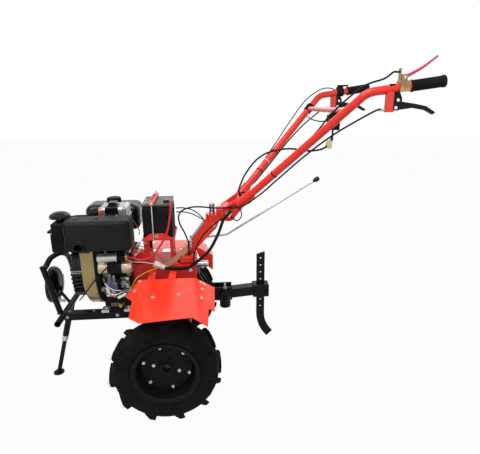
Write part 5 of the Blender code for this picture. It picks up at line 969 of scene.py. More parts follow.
class Assembly:
    """A group of pieces that share the recipes of the scene, and mostly one body."""

    body: ClassVar[str] = "chassis"

    def __init__(self, recipes: Recipes, frame: dict) -> None:
        """Keep the recipes and the loaded frame.

        Args:
            recipes: The Geometry Nodes trees.
        """
        self.recipes = recipes
        self.nodes = frame["nodes"]

    def build(self) -> None:
        """Make and dress the pieces of the assembly."""
        raise NotImplementedError

    def piece(
        self, name: str, meshes: Sequence[Mesh], finish: Finish, replaces: Sequence[str] = (),
        angle: float = SHARP_DEGREES, body: str | None = None,
    ) -> Object:
        """Join shapes into one dressed piece that rides on a body.

        Args:
            name: Name of the piece.
            meshes: Its shapes.
            finish: Its finish.
            replaces: Solids that it stands for.
            angle: Edges that turn by more than this many degrees stay sharp.
            body: The body that it moves with, the assembly's own where left out.

        Returns:
            The piece.
        """
        body = body or self.body
        mesh = joined(meshes)
        mesh.transform(Matrix.Translation(SHIFT))
        mesh.shade_smooth()
        mesh.set_sharp_from_angle(angle=math.radians(angle))

        def modify(holder: Object) -> None:
            even = holder.modifiers.new("even", "WEIGHTED_NORMAL")
            even.keep_sharp = True

        mesh = evaluated(mesh, modify)
        mesh.materials.clear()
        mesh.materials.append(finish.material())
        for polygon in mesh.polygons:
            polygon.material_index = 0
        mesh.name = name
        item = bpy.data.objects.new(name, mesh)
        bpy.context.scene.collection.objects.link(item)
        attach(item, body)
        if replaces:
            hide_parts(*replaces)
        LOG.info("%s on %s, %d faces", name, body, len(mesh.polygons))
        return item

    def refined(
        self, node: str, finish: Finish, bevel: float = 0.0012, steps: int = 2,
        extra: Sequence[Mesh] = (), body: str | None = None,
    ) -> Object:
        """Stand a bevelled copy in for a solid.

        Args:
            node: The solid.
            finish: Finish of the copy.
            bevel: Width of the bevel on sharp edges.
            steps: Steps across the bevel.
            extra: Shapes that are joined to the copy.
            body: The body that it moves with, the assembly's own where left out.

        Returns:
            The piece.
        """
        shape = bmesh.new()
        shape.from_mesh(self.nodes[node].data)
        bmesh.ops.remove_doubles(shape, verts=shape.verts, dist=WELD_DISTANCE)
        bmesh.ops.dissolve_limit(
            shape, angle_limit=math.radians(FLAT_DEGREES), verts=shape.verts, edges=shape.edges,
        )
        soften(shape, bevel, steps, SHARP_DEGREES)
        mesh = bpy.data.meshes.new(node)
        shape.to_mesh(mesh)
        shape.free()
        mesh.transform(Matrix.Translation(-SHIFT))
        return self.piece(node + "_skin", [mesh, *extra], finish, [node], body=body)

    def dress(self, node: str, finish: Finish) -> None:
        """Give a solid that stays its finish."""
        data = self.nodes[node].data
        data.materials.clear()
        data.materials.append(finish.material())
        LOG.info("%s keeps its solid", node)

    def bolts(
        self, name: str, places: Sequence[tuple[Point, Point]], radius: float, height: float,
        finish: Finish = Finishes.ZINC, washer: float = 1.35, sides: int = 6,
        body: str | None = None,
    ) -> Object:
        """Set bolt heads on places.

        Args:
            name: Name of the piece.
            places: Pairs of a point and the way the head faces.
            radius: Radius of the head.
            height: Height of the head.
            finish: Finish of the bolts.
            washer: Radius of the washer over the radius of the head.
            sides: Sides of the head.
            body: The body that they move with, the assembly's own where left out.

        Returns:
            The piece.
        """
        mesh = self.recipes.bolt.grow(
            point_mesh(places), Radius=radius, Height=height, Washer=radius * washer, Sides=sides,
            Finish=finish.material(),
        )
        return self.piece(name, [mesh], finish, angle=BOLT_DEGREES, body=body)

    def repeated(
        self, shape: Mesh, count: int, finish: Finish, turn: Point = (0, 0, 0),
        step: Point = (0, 0, 0), pivot: Point = (0, 0, 0),
    ) -> Mesh:
        """Repeat a shape by a turn about a pivot, a step, or both.

        Args:
            shape: The first copy, in place.
            count: How many copies.
            finish: Finish of the copies.
            turn: Turn from one copy to the next, in radians about each axis.
            step: Move from one copy to the next.
            pivot: Point that the turn is about.

        Returns:
            One mesh with all copies.
        """
        return self.recipes.repeat.grow(
            shape, Count=count, Turn=tuple(turn), Step=tuple(step), Pivot=tuple(pivot),
            Finish=finish.material(),
        )

    def sleeve(
        self, route: Iterable[Point], radius: float, finish: Finish, ring_depth: float = 0.0,
        ring_pitch: float = 0.004,
    ) -> Mesh:
        """Lay a round sleeve along a smooth route.

        Args:
            route: Points that the sleeve goes through.
            radius: Radius of the sleeve.
            finish: Finish of the sleeve.
            ring_depth: Depth of the rings over the radius, 0 for a plain sleeve.
            ring_pitch: Distance from ring to ring.

        Returns:
            The sleeve.
        """
        spacing = ring_pitch / 4 if ring_depth else max(radius * 1.2, 0.003)
        return self.recipes.sleeve.grow(
            line_mesh(smooth(route, spacing * 1.1)), Radius=radius, Spacing=spacing,
            Ring_Depth=ring_depth, Ring_Pitch=ring_pitch, Finish=finish.material(),
        )


@dataclass
class WheelSizes:
    """Sizes of a wheel and its tyre."""

    half_width: float = 0.055
    outer: float = 0.235
    lugs: int = 11
    sweep: float = math.radians(15)
    lug_width: float = 0.020
    bolt_circle: float = 0.0997
    inner_circle: float = 0.056
    hex_radius: float = 0.0185
    bore: float = 0.0188
    disc_face: float = -0.004


class Wheels(Assembly):
    """Two lugged tyres on pressed wheels, with the axle between them."""

    sizes = WheelSizes()
    body: ClassVar[str] = "drive_wheels"

    def build(self) -> None:
        """Make both wheels and dress the axle and the pinion."""
        for side, name in ((Side.LEFT, "left"), (Side.RIGHT, "right")):
            middle = Vector((0, side.value * HALF_TRACK, AXLE_Z))
            self._tyre(name, middle)
            self._wheel(name, side, middle)
        self.dress("axle_shaft", Finishes.STEEL)
        self.dress("drive_pinion", Finishes.STEEL)

    def _tyre(self, name: str, middle: Vector) -> None:
        """Turn the carcass and set two staggered rows of lugs on it."""
        half = [
            (0.0420, 0.1274), (0.0440, 0.1440), (0.0478, 0.1500), (0.0492, 0.1512),
            (0.0505, 0.1530), (0.0532, 0.1600), (0.0546, 0.1700), (0.0550, 0.1800),
            (0.0540, 0.1860), (0.0548, 0.1880), (0.0534, 0.1960), (0.0495, 0.2065),
            (0.0430, 0.2145), (0.0320, 0.2200), (0.0150, 0.2232),
        ]
        profile = half + [(-along, radius) for along, radius in reversed(half)]
        carcass = turned(profile, middle, Y_AXIS, 88)
        pitch = 2 * math.pi / self.sizes.lugs
        shapes = [carcass]
        for row, offset in ((-1, 0.0), (1, 0.5)):
            first = self._lug(offset * pitch, row)
            first.transform(Matrix.Translation(middle))
            shapes.append(
                self.repeated(
                    first, self.sizes.lugs, Finishes.TYRE, turn=(0, pitch, 0), pivot=middle,
                )
            )
        hair = self._hairs(middle, pitch)
        self.piece(name + "_tyre_lugged", shapes + [hair], Finishes.TYRE, [name + "_tyre"])

    def _lug(self, angle: float, row: int) -> Mesh:
        """Loft one lug from the sidewall over the shoulder past the middle of the tread."""
        half = self.sizes.half_width
        stations = [
            (half - 0.0005, 0.1925, 0.188, 0.75), (half + 0.0005, 0.2130, 0.190, 0.9),
            (half - 0.0010, 0.2275, 0.195, 1.0), (half - 0.0075, 0.2335, 0.200, 1.0),
            (0.0280, 0.2345, 0.208, 1.0), (0.0080, 0.2348, 0.210, 0.95),
            (-0.0060, 0.2340, 0.210, 0.85),
        ]
        sections = []
        for along, top, root, width in stations:
            share = min(1.0, max(0.0, (half - along) / (half + 0.006)))
            turn = angle + self.sizes.sweep * share
            edge = self.sizes.lug_width / 2 / self.sizes.outer * width
            ring = []
            for radius, wide in (
                (root, -1.35), (top - 0.002, -1.05), (top, -0.9), (top, 0.9), (top - 0.002, 1.05),
                (root, 1.35),
            ):
                place = turn + edge * wide
                ring.append((radius * math.sin(place), row * along, radius * math.cos(place)))
            sections.append(ring)
        return lofted(sections)

    def _hairs(self, middle: Vector, pitch: float) -> Mesh:
        """Leave thin moulding hairs on the lugs of the front quarter."""
        first = []
        start = -4 * pitch
        edge = self.sizes.lug_width / 2 / self.sizes.outer
        for share, along in ((-0.9, 0.047), (0.9, 0.049)):
            turn = start + edge * share
            out = Vector((math.sin(turn), 0, math.cos(turn)))
            root = middle + out * 0.2315 - Y_AXIS * along
            first.append(swept([root, root + out * 0.007, root + out * 0.013], 0.0010, 6, 0.0003))
        return self.repeated(joined(first), 3, Finishes.TYRE, turn=(0, pitch, 0), pivot=middle)

    def _wheel(self, name: str, side: Side, middle: Vector) -> None:
        """Turn the pressed wheel, cut its hexagon bore and set its bolts."""
        profile = [
            (-0.1200, self.sizes.bore), (0.0090, self.sizes.bore), (0.0115, 0.0205),
            (0.0120, 0.0215), (0.0120, 0.0285), (0.0108, 0.0300), (-0.0005, 0.0305),
            (-0.0035, 0.0335), (-0.0040, 0.0370), (-0.0040, 0.1060), (-0.0052, 0.1105),
            (-0.0080, 0.1130), (-0.0140, 0.1150), (-0.0160, 0.1180), (-0.0145, 0.1210),
            (-0.0100, 0.1222), (0.0400, 0.1232), (0.0450, 0.1262), (0.0485, 0.1320),
            (0.0505, 0.1390), (0.0518, 0.1432), (0.0512, 0.1452), (0.0495, 0.1458),
            (0.0478, 0.1440), (0.0472, 0.1400), (0.0456, 0.1272), (-0.0456, 0.1272),
            (-0.0472, 0.1400), (-0.0495, 0.1458), (-0.0518, 0.1432), (-0.0485, 0.1320),
            (-0.0400, 0.1232), (-0.0200, 0.1222), (-0.0170, 0.1120), (-0.0100, 0.1060),
            (-0.0100, 0.0310), (-0.1200, 0.0300),
        ]
        axis = Vector((0, side.value, 0))
        mesh = turned(profile, middle, axis, 72)
        apothem = self.sizes.hex_radius * math.cos(math.pi / 6) + 0.0003
        for vertex in mesh.vertices:
            out = vertex.co - middle
            angle = math.atan2(out.z, out.x)
            if abs(math.hypot(out.x, out.z) - self.sizes.bore) < 1e-4:
                part = (angle + math.pi / 6) % (math.pi / 3) - math.pi / 6
                radius = apothem / math.cos(part)
                vertex.co.x = middle.x + radius * math.cos(angle)
                vertex.co.z = middle.z + radius * math.sin(angle)
        self.piece(name + "_wheel_pressed", [mesh], Finishes.WHEEL, [name + "_wheel"], 40.0)
        face = middle + axis * self.sizes.disc_face
        places = []
        for degrees in (103.5, 43, -17, -77, -137, 163):
            places.append((face + self._round(degrees, self.sizes.bolt_circle), axis))
        for degrees in (166, -18):
            places.append((face + self._round(degrees, self.sizes.inner_circle), axis))
        self.bolts(name + "_wheel_bolts", places, 0.0064, 0.0055, Finishes.ZINC, 1.1)
        # Thin dark discs on the wheel face paint the shade seen through its spare holes.
        hole_shades = []
        for degrees, radius in ((72, 0.042), (135, 0.095), (-110, 0.040)):
            spot = face + self._round(degrees, radius)
            hole_shades.append(rod(spot, spot + axis * 0.0006, 0.0034, 16))
        self.piece(name + "_wheel_spare_holes", hole_shades, Finishes.HOLE_SHADE)

    @staticmethod
    def _round(degrees: float, radius: float) -> Vector:
        """Give a step from the wheel's middle at an angle."""
        angle = math.radians(degrees)
        return Vector((radius * math.cos(angle), 0, radius * math.sin(angle)))


@dataclass
class GearboxSizes:
    """Sizes of the gearbox details."""

    half_width: float = 0.085


class Gearbox(Assembly):
    """The red gear case with its side covers, bolts and bright shaft cap."""

    sizes = GearboxSizes()

    def build(self) -> None:
        """Refine the case and add its covers, shoulder, lip, bolts and the shaft cap."""
        near = -self.sizes.half_width
        cover = prism(
            [
                (-0.062, 0.470), (-0.074, 0.482), (-0.074, 0.574), (-0.062, 0.586), (0.106, 0.586),
                (0.118, 0.574), (0.118, 0.482), (0.106, 0.470),
            ], Axis.Y, near - 0.006, near + 0.002, 0.002, 3,
        )
        shoulder = block((-0.150, near - 0.005, 0.590), (0.130, near + 0.002, 0.6015), 0.002, 3)
        lip = block((-0.155, near - 0.005, 0.646), (-0.078, near + 0.002, 0.667), 0.003, 3)
        post = block((-0.155, near - 0.004, 0.600), (-0.141, near + 0.002, 0.646), 0.002, 2)
        foot_cap = rod((0, -0.062, AXLE_Z), (0, 0.062, AXLE_Z), 0.060, 40, bevel=0.004)
        self.refined(
            "gearbox_case", Finishes.CASTING_RED, 0.0035, 3,
            [cover, shoulder, lip, post, foot_cap, mirrored(cover)],
        )
        heads = []
        for x, z in product((-0.064, 0.022, 0.108), (0.480, 0.576)):
            heads.append(((x, near - 0.006, z), -Y_AXIS))
            heads.append(((x, -near + 0.006, z), Y_AXIS))
        self.bolts("gearbox_bolts", heads, 0.0062, 0.005)
        cap = [
            (0.0, 0.0), (0.0, 0.0185), (0.006, 0.0185), (0.007, 0.0160), (0.049, 0.0160),
            (0.053, 0.0152), (0.0556, 0.0125), (0.0556, 0.0110), (0.048, 0.0095), (0.046, 0.0),
        ]
        self.piece(
            "pto_cap_bright", [turned(cap, (0.1353, -0.020, 0.577), X_AXIS, 48)], Finishes.CHROME,
            ["pto_cap"],
        )


@dataclass
class EngineSizes:
    """Sizes of the engine's outer pieces."""

    blower_half: float = 0.190
    blower_top: float = 0.118
    blower_front: float = -0.35485
    blower_rear: float = -0.29685
    recoil_front: float = -0.41615
    recoil_radius: float = 0.156
    block_middle: float = -0.2303
    head_base: float = 0.7986
    head_top: float = 0.8746
    ribs: int = 44


class Engine(Assembly):
    """Air-cooled engine: block, blower, recoil cover, head, starter and pump."""

    sizes = EngineSizes()

    def build(self) -> None:
        """Make every piece of the engine."""
        self.refined("engine_block", Finishes.DARK, 0.002, 2)
        self.dress("crankshaft", Finishes.STEEL)
        self.dress("flywheel", Finishes.GREY)
        self._blower()
        self._recoil()
        self._head()
        self._starter()
        self._pump()
        self._tank()

    def _arch(self, half: float, top: float) -> list[tuple[float, float]]:
        """Give the outline of a round-bottomed housing, seen from the front."""
        return arc((0, CRANK_Z), half, 180, 360, 44) + [
            (half, CRANK_Z + top), (-half, CRANK_Z + top),
        ]

    def _blower(self) -> None:
        """Make the gold blower housing with its seam band and screws."""
        size = self.sizes
        shell = prism(
            self._arch(size.blower_half, size.blower_top), Axis.X, size.blower_front,
            size.blower_rear, 0.013, 5,
        )
        seam = prism(
            self._arch(size.blower_half + 0.0015, size.blower_top), Axis.X,
            size.blower_rear - 0.010, size.blower_rear, 0.001,
        )
        self.piece("blower_housing_shell", [shell, seam], Finishes.GOLD, ["blower_housing"])
        gasket = prism(
            self._arch(size.blower_half + 0.002, size.blower_top - 0.002), Axis.X,
            size.blower_rear + 0.0005, size.blower_rear + 0.009, 0.001,
        )
        self.piece("blower_gasket", [gasket], Finishes.PLASTIC)
        places = []
        for degrees in (186, 208, 230, 252, 275, 298, 320, 345):
            angle = math.radians(degrees)
            out = Vector((0, math.cos(angle), math.sin(angle)))
            spot = Vector(
                (size.blower_rear - 0.005, 0, CRANK_Z)
            ) + out * (size.blower_half + 0.0012)
            places.append((spot, out))
        self.bolts("blower_screws", places, 0.0042, 0.0035, Finishes.YELLOW_ZINC)

    def _recoil(self) -> None:
        """Make the slotted recoil cover, a band of bright dots that paints highlights on its slots,
        and the pull grip.
        """
        size = self.sizes
        depth = size.blower_front - size.recoil_front
        core = [
            (0.0, 0.0), (0.0, 0.146), (-depth + 0.012, 0.146), (-depth + 0.003, 0.138),
            (-depth, 0.128), (-depth, 0.072), (-depth + 0.004, 0.066), (-depth + 0.004, 0.0),
        ]
        start = (size.blower_front - 0.0003, 0, CRANK_Z)
        shapes = [turned(core, start, X_AXIS, 64)]
        rib = block(
            (size.recoil_front + 0.004, -0.0042, CRANK_Z + 0.138),
            (size.blower_front - 0.0005, 0.0042, CRANK_Z + size.recoil_radius - 0.001), 0.0012,
        )
        turn = (2 * math.pi / size.ribs, 0, 0)
        shapes.append(self.repeated(rib, size.ribs, Finishes.PLASTIC, turn=turn, pivot=start))
        for place, radius in ((-0.034, 0.150), (-0.006, 0.1545)):
            band = ring_section(place, place - 0.007, radius - 0.012, radius)
            shapes.append(turned(band, start, X_AXIS, 64))
        spoke = block(
            (size.recoil_front + 0.0005, -0.004, CRANK_Z + 0.070),
            (size.recoil_front + 0.004, 0.004, CRANK_Z + 0.128), 0.001,
        )
        shapes.append(
            self.repeated(spoke, 16, Finishes.PLASTIC, turn=(math.pi / 8, 0, 0), pivot=start)
        )
        self.piece("recoil_cover_slotted", shapes, Finishes.GLOSS, ["recoil_cover"])
        # Two rows of bright dots paint the highlights on the cover's slots.
        highlight_dot = rod(
            (size.recoil_front + 0.008, -0.150, CRANK_Z + 0.016),
            (size.recoil_front + 0.008, -0.1568, CRANK_Z + 0.016), 0.0022, 10,
        )
        rows = [self.repeated(highlight_dot, 8, Finishes.ZINC, step=(0.0062, 0, 0))]
        highlight_dot = highlight_dot.copy()
        highlight_dot.transform(Matrix.Translation((0, -0.0004, -0.0085)))
        rows.append(self.repeated(highlight_dot, 8, Finishes.ZINC, step=(0.0062, 0, 0)))
        self.piece("recoil_cover_studs", rows, Finishes.ZINC)
        grip = swept(
            rounded(
                [(-0.405, -0.100, 0.515), (-0.408, -0.118, 0.508), (-0.405, -0.136, 0.515)], 0.012,
            ), 0.0062, 16,
        )
        self.piece("recoil_pull_grip", [grip], Finishes.GRIP)

    def _head(self) -> None:
        """Make the rocker cover, its breather and the decompression lever."""
        size = self.sizes
        x0, x1 = size.block_middle - 0.0655, size.block_middle + 0.0655
        cover = block(
            (x0 + 0.004, -0.056, size.head_base + 0.026), (x1 - 0.004, 0.056, size.head_top), 0.014,
            5,
        )
        lip = block(
            (x0, -0.060, size.head_base + 0.020), (x1, 0.060, size.head_base + 0.029), 0.0025, 3,
        )
        body = block(
            (x0 + 0.002, -0.059, size.head_base), (x1 - 0.002, 0.059, size.head_base + 0.020),
            0.002,
        )
        corners = list(product((x0 + 0.014, x1 - 0.014), (-0.049, 0.049)))
        seat = size.head_top - 0.006
        pads = [rod((x, y, size.head_base + 0.020), (x, y, seat), 0.010, 24) for x, y in corners]
        self.piece("rocker_cover", [cover, lip, body, *pads], Finishes.SILVER, ["cylinder_head"])
        self.bolts("rocker_bolts", [((x, y, seat), Z_AXIS) for x, y in corners], 0.0055, 0.006)
        middle = size.block_middle
        base = block(
            (middle - 0.024, -0.044, size.head_top - 0.004),
            (middle + 0.024, 0.004, size.head_top + 0.006), 0.002,
        )
        lid = prism(
            [
                (middle - 0.020, size.head_top + 0.004), (middle - 0.017, size.head_top + 0.0195),
                (middle + 0.017, size.head_top + 0.0195), (middle + 0.020, size.head_top + 0.004),
            ], Axis.Y, -0.040, 0.0, 0.003, 3,
        )
        skirt = block(
            (middle - 0.030, -0.0625, size.head_base + 0.046),
            (middle + 0.026, -0.036, size.head_top + 0.002), 0.003, 3,
        )
        self.piece("breather_cap", [base, lid, skirt], Finishes.GLOSS)
        pivot = Vector((middle - 0.0475, -0.0643, size.head_base + 0.030))
        lever = [
            rod(
                pivot + Vector((0, 0.0038, 0)), pivot - Vector((0, 0.0042, 0)), 0.011, 32,
                bevel=0.002,
            ), rod(pivot, pivot + Vector((0, 0, 0.032)), 0.0034, 16),
            rod(
                pivot + Vector((0, 0.0038, 0.032)), pivot + Vector((0, -0.0080, 0.032)), 0.0088, 32,
                bevel=0.0025,
            ),
        ]
        self.piece(
            "decompression_knob", lever, Finishes.ORANGE_PLASTIC, ["decompression_lever"],
            body="decompression",
        )

    def _starter(self) -> None:
        """Make the starter motor, its solenoid and their bright and black parts."""
        y, z = -0.164, 0.635
        nose = turned(
            [
                (0, 0.0), (0, 0.0300), (0.010, 0.0300), (0.012, 0.0285), (0.030, 0.0275),
                (0.034, 0.0300), (0.038, 0.0300), (0.038, 0.0),
            ], (-0.2817, y, z), X_AXIS, 40,
        )
        tail = turned(
            [
                (0, 0.0), (0, 0.0298), (0.028, 0.0298), (0.032, 0.0270), (0.040, 0.0240),
                (0.042, 0.0200), (0.042, 0.0),
            ], (-0.1820, y, z), X_AXIS, 40,
        )
        bracket = block((-0.2817, -0.186, 0.636), (-0.2520, -0.154, 0.684), 0.003, 3)
        self.piece(
            "starter_castings", [nose, tail, bracket], Finishes.WARM_SILVER, ["starter_motor"],
        )
        drum = turned(
            [
                (0, 0.0), (0, 0.0295), (0.0015, 0.0303), (0.060, 0.0303), (0.0615, 0.0295),
                (0.0615, 0.0),
            ], (-0.2437, y, z), X_AXIS, 40,
        )
        sy, sz = -0.175, 0.683
        end = turned(
            [(0, 0.0), (0, 0.0200), (0.026, 0.0200), (0.032, 0.0170), (0.0345, 0.0)],
            (-0.1990, sy, sz), X_AXIS, 32,
        )
        self.piece("starter_black_parts", [drum, end], Finishes.PLASTIC)
        can = turned(
            [
                (0, 0.0), (0, 0.0195), (0.002, 0.0206), (0.018, 0.0206), (0.019, 0.0198),
                (0.064, 0.0198), (0.066, 0.0206), (0.081, 0.0206), (0.0825, 0.0196), (0.0825, 0.0),
            ], (-0.2817, sy, sz), X_AXIS, 40,
        )
        self.piece("starter_solenoid", [can], Finishes.SILVER)
        ends = [(sy + dy, sz + dz) for dy, dz in ((-0.008, 0.006), (0.008, 0.006), (0.0, -0.009))]
        studs = [rod((-0.168, y, z), (-0.154, y, z), 0.0028, 12) for y, z in ends]
        self.piece("solenoid_studs", studs, Finishes.BRASS)
        nuts = [((-0.165, y, z), X_AXIS) for y, z in ends]
        self.bolts("starter_nuts", nuts, 0.0045, 0.004)

    def _pump(self) -> None:
        """Make the injection pump, its pipes, the side cover, feet and oil plug."""
        near = -0.115
        castings = [
            block((-0.266, -0.166, 0.512), (-0.214, -0.149, 0.560), 0.004, 3),
            block((-0.208, near - 0.020, 0.520), (-0.168, near + 0.004, 0.572), 0.005, 3),
            rod((-0.246, -0.160, 0.548), (-0.246, -0.160, 0.590), 0.0105, 28, bevel=0.002),
            rod((-0.228, -0.158, 0.552), (-0.228, -0.158, 0.584), 0.0080, 24, bevel=0.002),
            rod((-0.268, -0.158, 0.530), (-0.288, -0.158, 0.530), 0.0120, 28, bevel=0.002),
            rod(
                (-0.188, near - 0.018, 0.548), (-0.188, near - 0.034, 0.548), 0.0150, 32,
                bevel=0.002,
            ), block((-0.290, -0.130, 0.486), (-0.228, near + 0.002, 0.508), 0.004, 3),
            rod((-0.280, -0.128, 0.566), (-0.266, -0.128, 0.566), 0.0230, 36, bevel=0.003),
            block((-0.278, -0.142, 0.576), (-0.252, near + 0.002, 0.606), 0.005, 3),
            rod(
                (-0.176, near - 0.004, 0.590), (-0.158, near - 0.004, 0.590), 0.0180, 32,
                bevel=0.003,
            ), block((-0.206, near - 0.012, 0.466), (-0.166, near + 0.002, 0.512), 0.005, 3),
            block((-0.262, near - 0.007, 0.4090), (-0.200, near + 0.002, 0.440), 0.004, 3),
        ]
        self.piece("pump_castings", castings, Finishes.GREY)
        bright = [
            rod((-0.246, -0.160, 0.588), (-0.246, -0.160, 0.600), 0.0075, 6),
            rod((-0.228, -0.158, 0.583), (-0.228, -0.158, 0.594), 0.0065, 6),
            block((-0.262, -0.172, 0.498), (-0.220, -0.168, 0.508), 0.001),
            block((-0.236, -0.1735, 0.500), (-0.228, -0.1695, 0.534), 0.001),
            swept(
                rounded(
                    [
                        (-0.246, -0.160, 0.598), (-0.246, -0.160, 0.640), (-0.262, -0.120, 0.668),
                        (-0.268, -0.105, 0.720), (-0.262, -0.064, 0.806),
                    ], 0.012,
                ), 0.0032, 14,
            ),
            swept(
                rounded(
                    [
                        (-0.188, -0.149, 0.548), (-0.172, -0.156, 0.548), (-0.158, -0.150, 0.520),
                        (-0.160, -0.140, 0.480),
                    ], 0.010,
                ), 0.0032, 14,
            ), block((-0.297, -0.160, 0.412), (-0.262, -0.116, 0.4245), 0.002),
            block((-0.196, -0.160, 0.412), (-0.162, -0.116, 0.4245), 0.002),
        ]
        self.piece("pump_bright_parts", bright, Finishes.SILVER)
        self.bolts(
            "engine_bolts",
            [
                ((-0.278, -0.138, 0.4245), Z_AXIS), ((-0.178, -0.138, 0.4245), Z_AXIS),
                ((-0.256, -0.166, 0.520), -Y_AXIS), ((-0.222, -0.166, 0.520), -Y_AXIS),
                ((-0.202, -0.135, 0.528), -Y_AXIS), ((-0.174, -0.135, 0.566), -Y_AXIS),
                ((-0.174, -0.135, 0.528), -Y_AXIS),
            ], 0.0055, 0.005,
        )
        plug = [
            rod((-0.214, -0.114, 0.432), (-0.214, -0.136, 0.432), 0.0095, 28, bevel=0.001),
            rod((-0.214, -0.135, 0.432), (-0.214, -0.142, 0.432), 0.0070, 6),
        ]
        self.piece("oil_plug", plug, Finishes.BRASS)

    def _tank(self) -> None:
        """Make the fuel tank with rounded ends, its seam and its cap."""
        shell = block((-0.393, 0.078, 0.722), (-0.135, 0.228, 0.850), 0.034, 7)
        seam = block((-0.394, 0.077, 0.783), (-0.134, 0.229, 0.788), 0.0015)
        feet = [
            block((x - 0.012, 0.090, 0.6568), (x + 0.012, 0.107, 0.750), 0.002)
            for x in (-0.1928, -0.2678)
        ]
        self.piece("fuel_tank_shell", [shell, seam, *feet], Finishes.GLOSS, ["fuel_tank"])
        cap = [
            (-0.014, 0.0), (-0.014, 0.0117), (0.0003, 0.0117), (0.0003, 0.033), (0.020, 0.0325),
            (0.024, 0.031), (0.0262, 0.027), (0.0262, 0.0),
        ]
        middle = Vector((-0.264, 0.153, 0.850))
        lobe = block(
            middle + Vector((0.0315, -0.003, 0.002)), middle + Vector((0.0345, 0.003, 0.022)),
            0.001,
        )
        lobes = self.repeated(lobe, 16, Finishes.PLASTIC, turn=(0, 0, math.pi / 8), pivot=middle)
        self.piece(
            "fuel_cap_ribbed", [turned(cap, middle, Z_AXIS, 48), lobes], Finishes.PLASTIC,
            ["fuel_cap"], body="tank_cap",
        )


class Exhaust(Assembly):
    """Muffler with its outlet, air cleaner and rain cap."""

    def build(self) -> None:
        """Make the muffler, the cleaner and the cap."""
        self._muffler()
        self._cleaner()

    def _muffler(self) -> None:
        """Make the crinkle-black muffler with its folded rims and top screws."""
        shell = block((-0.391, -0.244, 0.734), (-0.125, -0.132, 0.862), 0.016, 6)
        rims = [
            block((x, -0.2455, 0.7325), (x + 0.005, -0.1305, 0.8635), 0.016, 6)
            for x in (-0.3835, -0.1375)
        ]
        pipe = rod((-0.2303, -0.143, 0.8246), (-0.2303, -0.0603, 0.8246), 0.020, 32)
        flange = block((-0.2603, -0.0720, 0.8005), (-0.2003, -0.0605, 0.8480), 0.003, 2)
        outlet = tube((-0.329, -0.236, 0.762), (-0.329, -0.270, 0.762), 0.0185, 0.0025, 40)
        collar = turned(
            [(0, 0.0187), (0, 0.0240), (0.003, 0.0235), (0.006, 0.0200), (0.006, 0.0187)],
            (-0.329, -0.2435, 0.762), -Y_AXIS, 40,
        )
        self.piece(
            "muffler_shell", [shell, *rims, pipe, flange, outlet, collar], Finishes.MUFFLER,
            ["muffler"],
        )
        # A dark disc inside the outlet pipe paints the shade in it.
        outlet_shade = rod((-0.329, -0.238, 0.762), (-0.329, -0.246, 0.762), 0.0158, 32)
        self.piece("muffler_outlet_dark", [outlet_shade], Finishes.HOLE_SHADE)
        self.bolts(
            "muffler_screws",
            [
                ((-0.353, -0.186, 0.862), Z_AXIS), ((-0.268, -0.176, 0.862), Z_AXIS),
                ((-0.188, -0.164, 0.862), Z_AXIS),
            ], 0.0052, 0.005, Finishes.YELLOW_ZINC,
        )

    def _cleaner(self) -> None:
        """Make the stepped cleaner box, its duct and the faceted rain cap."""
        lower = block((-0.461, -0.193, 0.718), (-0.399, -0.095, 0.790), 0.008, 4)
        upper = block((-0.449, -0.205, 0.776), (-0.399, -0.095, 0.848), 0.007, 4)
        band = block((-0.463, -0.207, 0.808), (-0.398, -0.093, 0.818), 0.002)
        ribs = self.repeated(
            block((-0.452, -0.2075, 0.778), (-0.446, -0.2045, 0.806), 0.001), 5, Finishes.PLASTIC,
            step=(0.011, 0, 0),
        )
        route = [
            (-0.430, -0.117, 0.8056), (-0.423, 0.0, 0.8056), (-0.3441, 0.0, 0.8056),
            (-0.3249, 0.0, 0.8366), (-0.2961, 0.0, 0.8366),
        ]
        duct = swept(rounded(route, 0.030), 0.024, 28)
        collar = turned(ring_section(0, 0.008, 0.0238, 0.0262), (-0.3050, 0.0, 0.8366), X_AXIS, 32)
        self.piece(
            "air_cleaner_box", [lower, upper, band, ribs, duct, collar], Finishes.PLASTIC,
            ["air_cleaner"],
        )
        middle = (-0.424, -0.150, 0.848)
        stem = turned(
            [(0.0003, 0.0), (0.0003, 0.018), (0.015, 0.018), (0.015, 0.0)], middle, Z_AXIS, 32,
        )
        dome = turned(
            [
                (0.012, 0.0), (0.012, 0.0395), (0.013, 0.0425), (0.018, 0.0435), (0.026, 0.0400),
                (0.034, 0.0280), (0.0376, 0.0150), (0.0378, 0.0),
            ], middle, Z_AXIS, 14,
        )
        self.piece("rain_cap_dome", [stem, dome], Finishes.GLOSS, ["rain_cap"], 20.0)


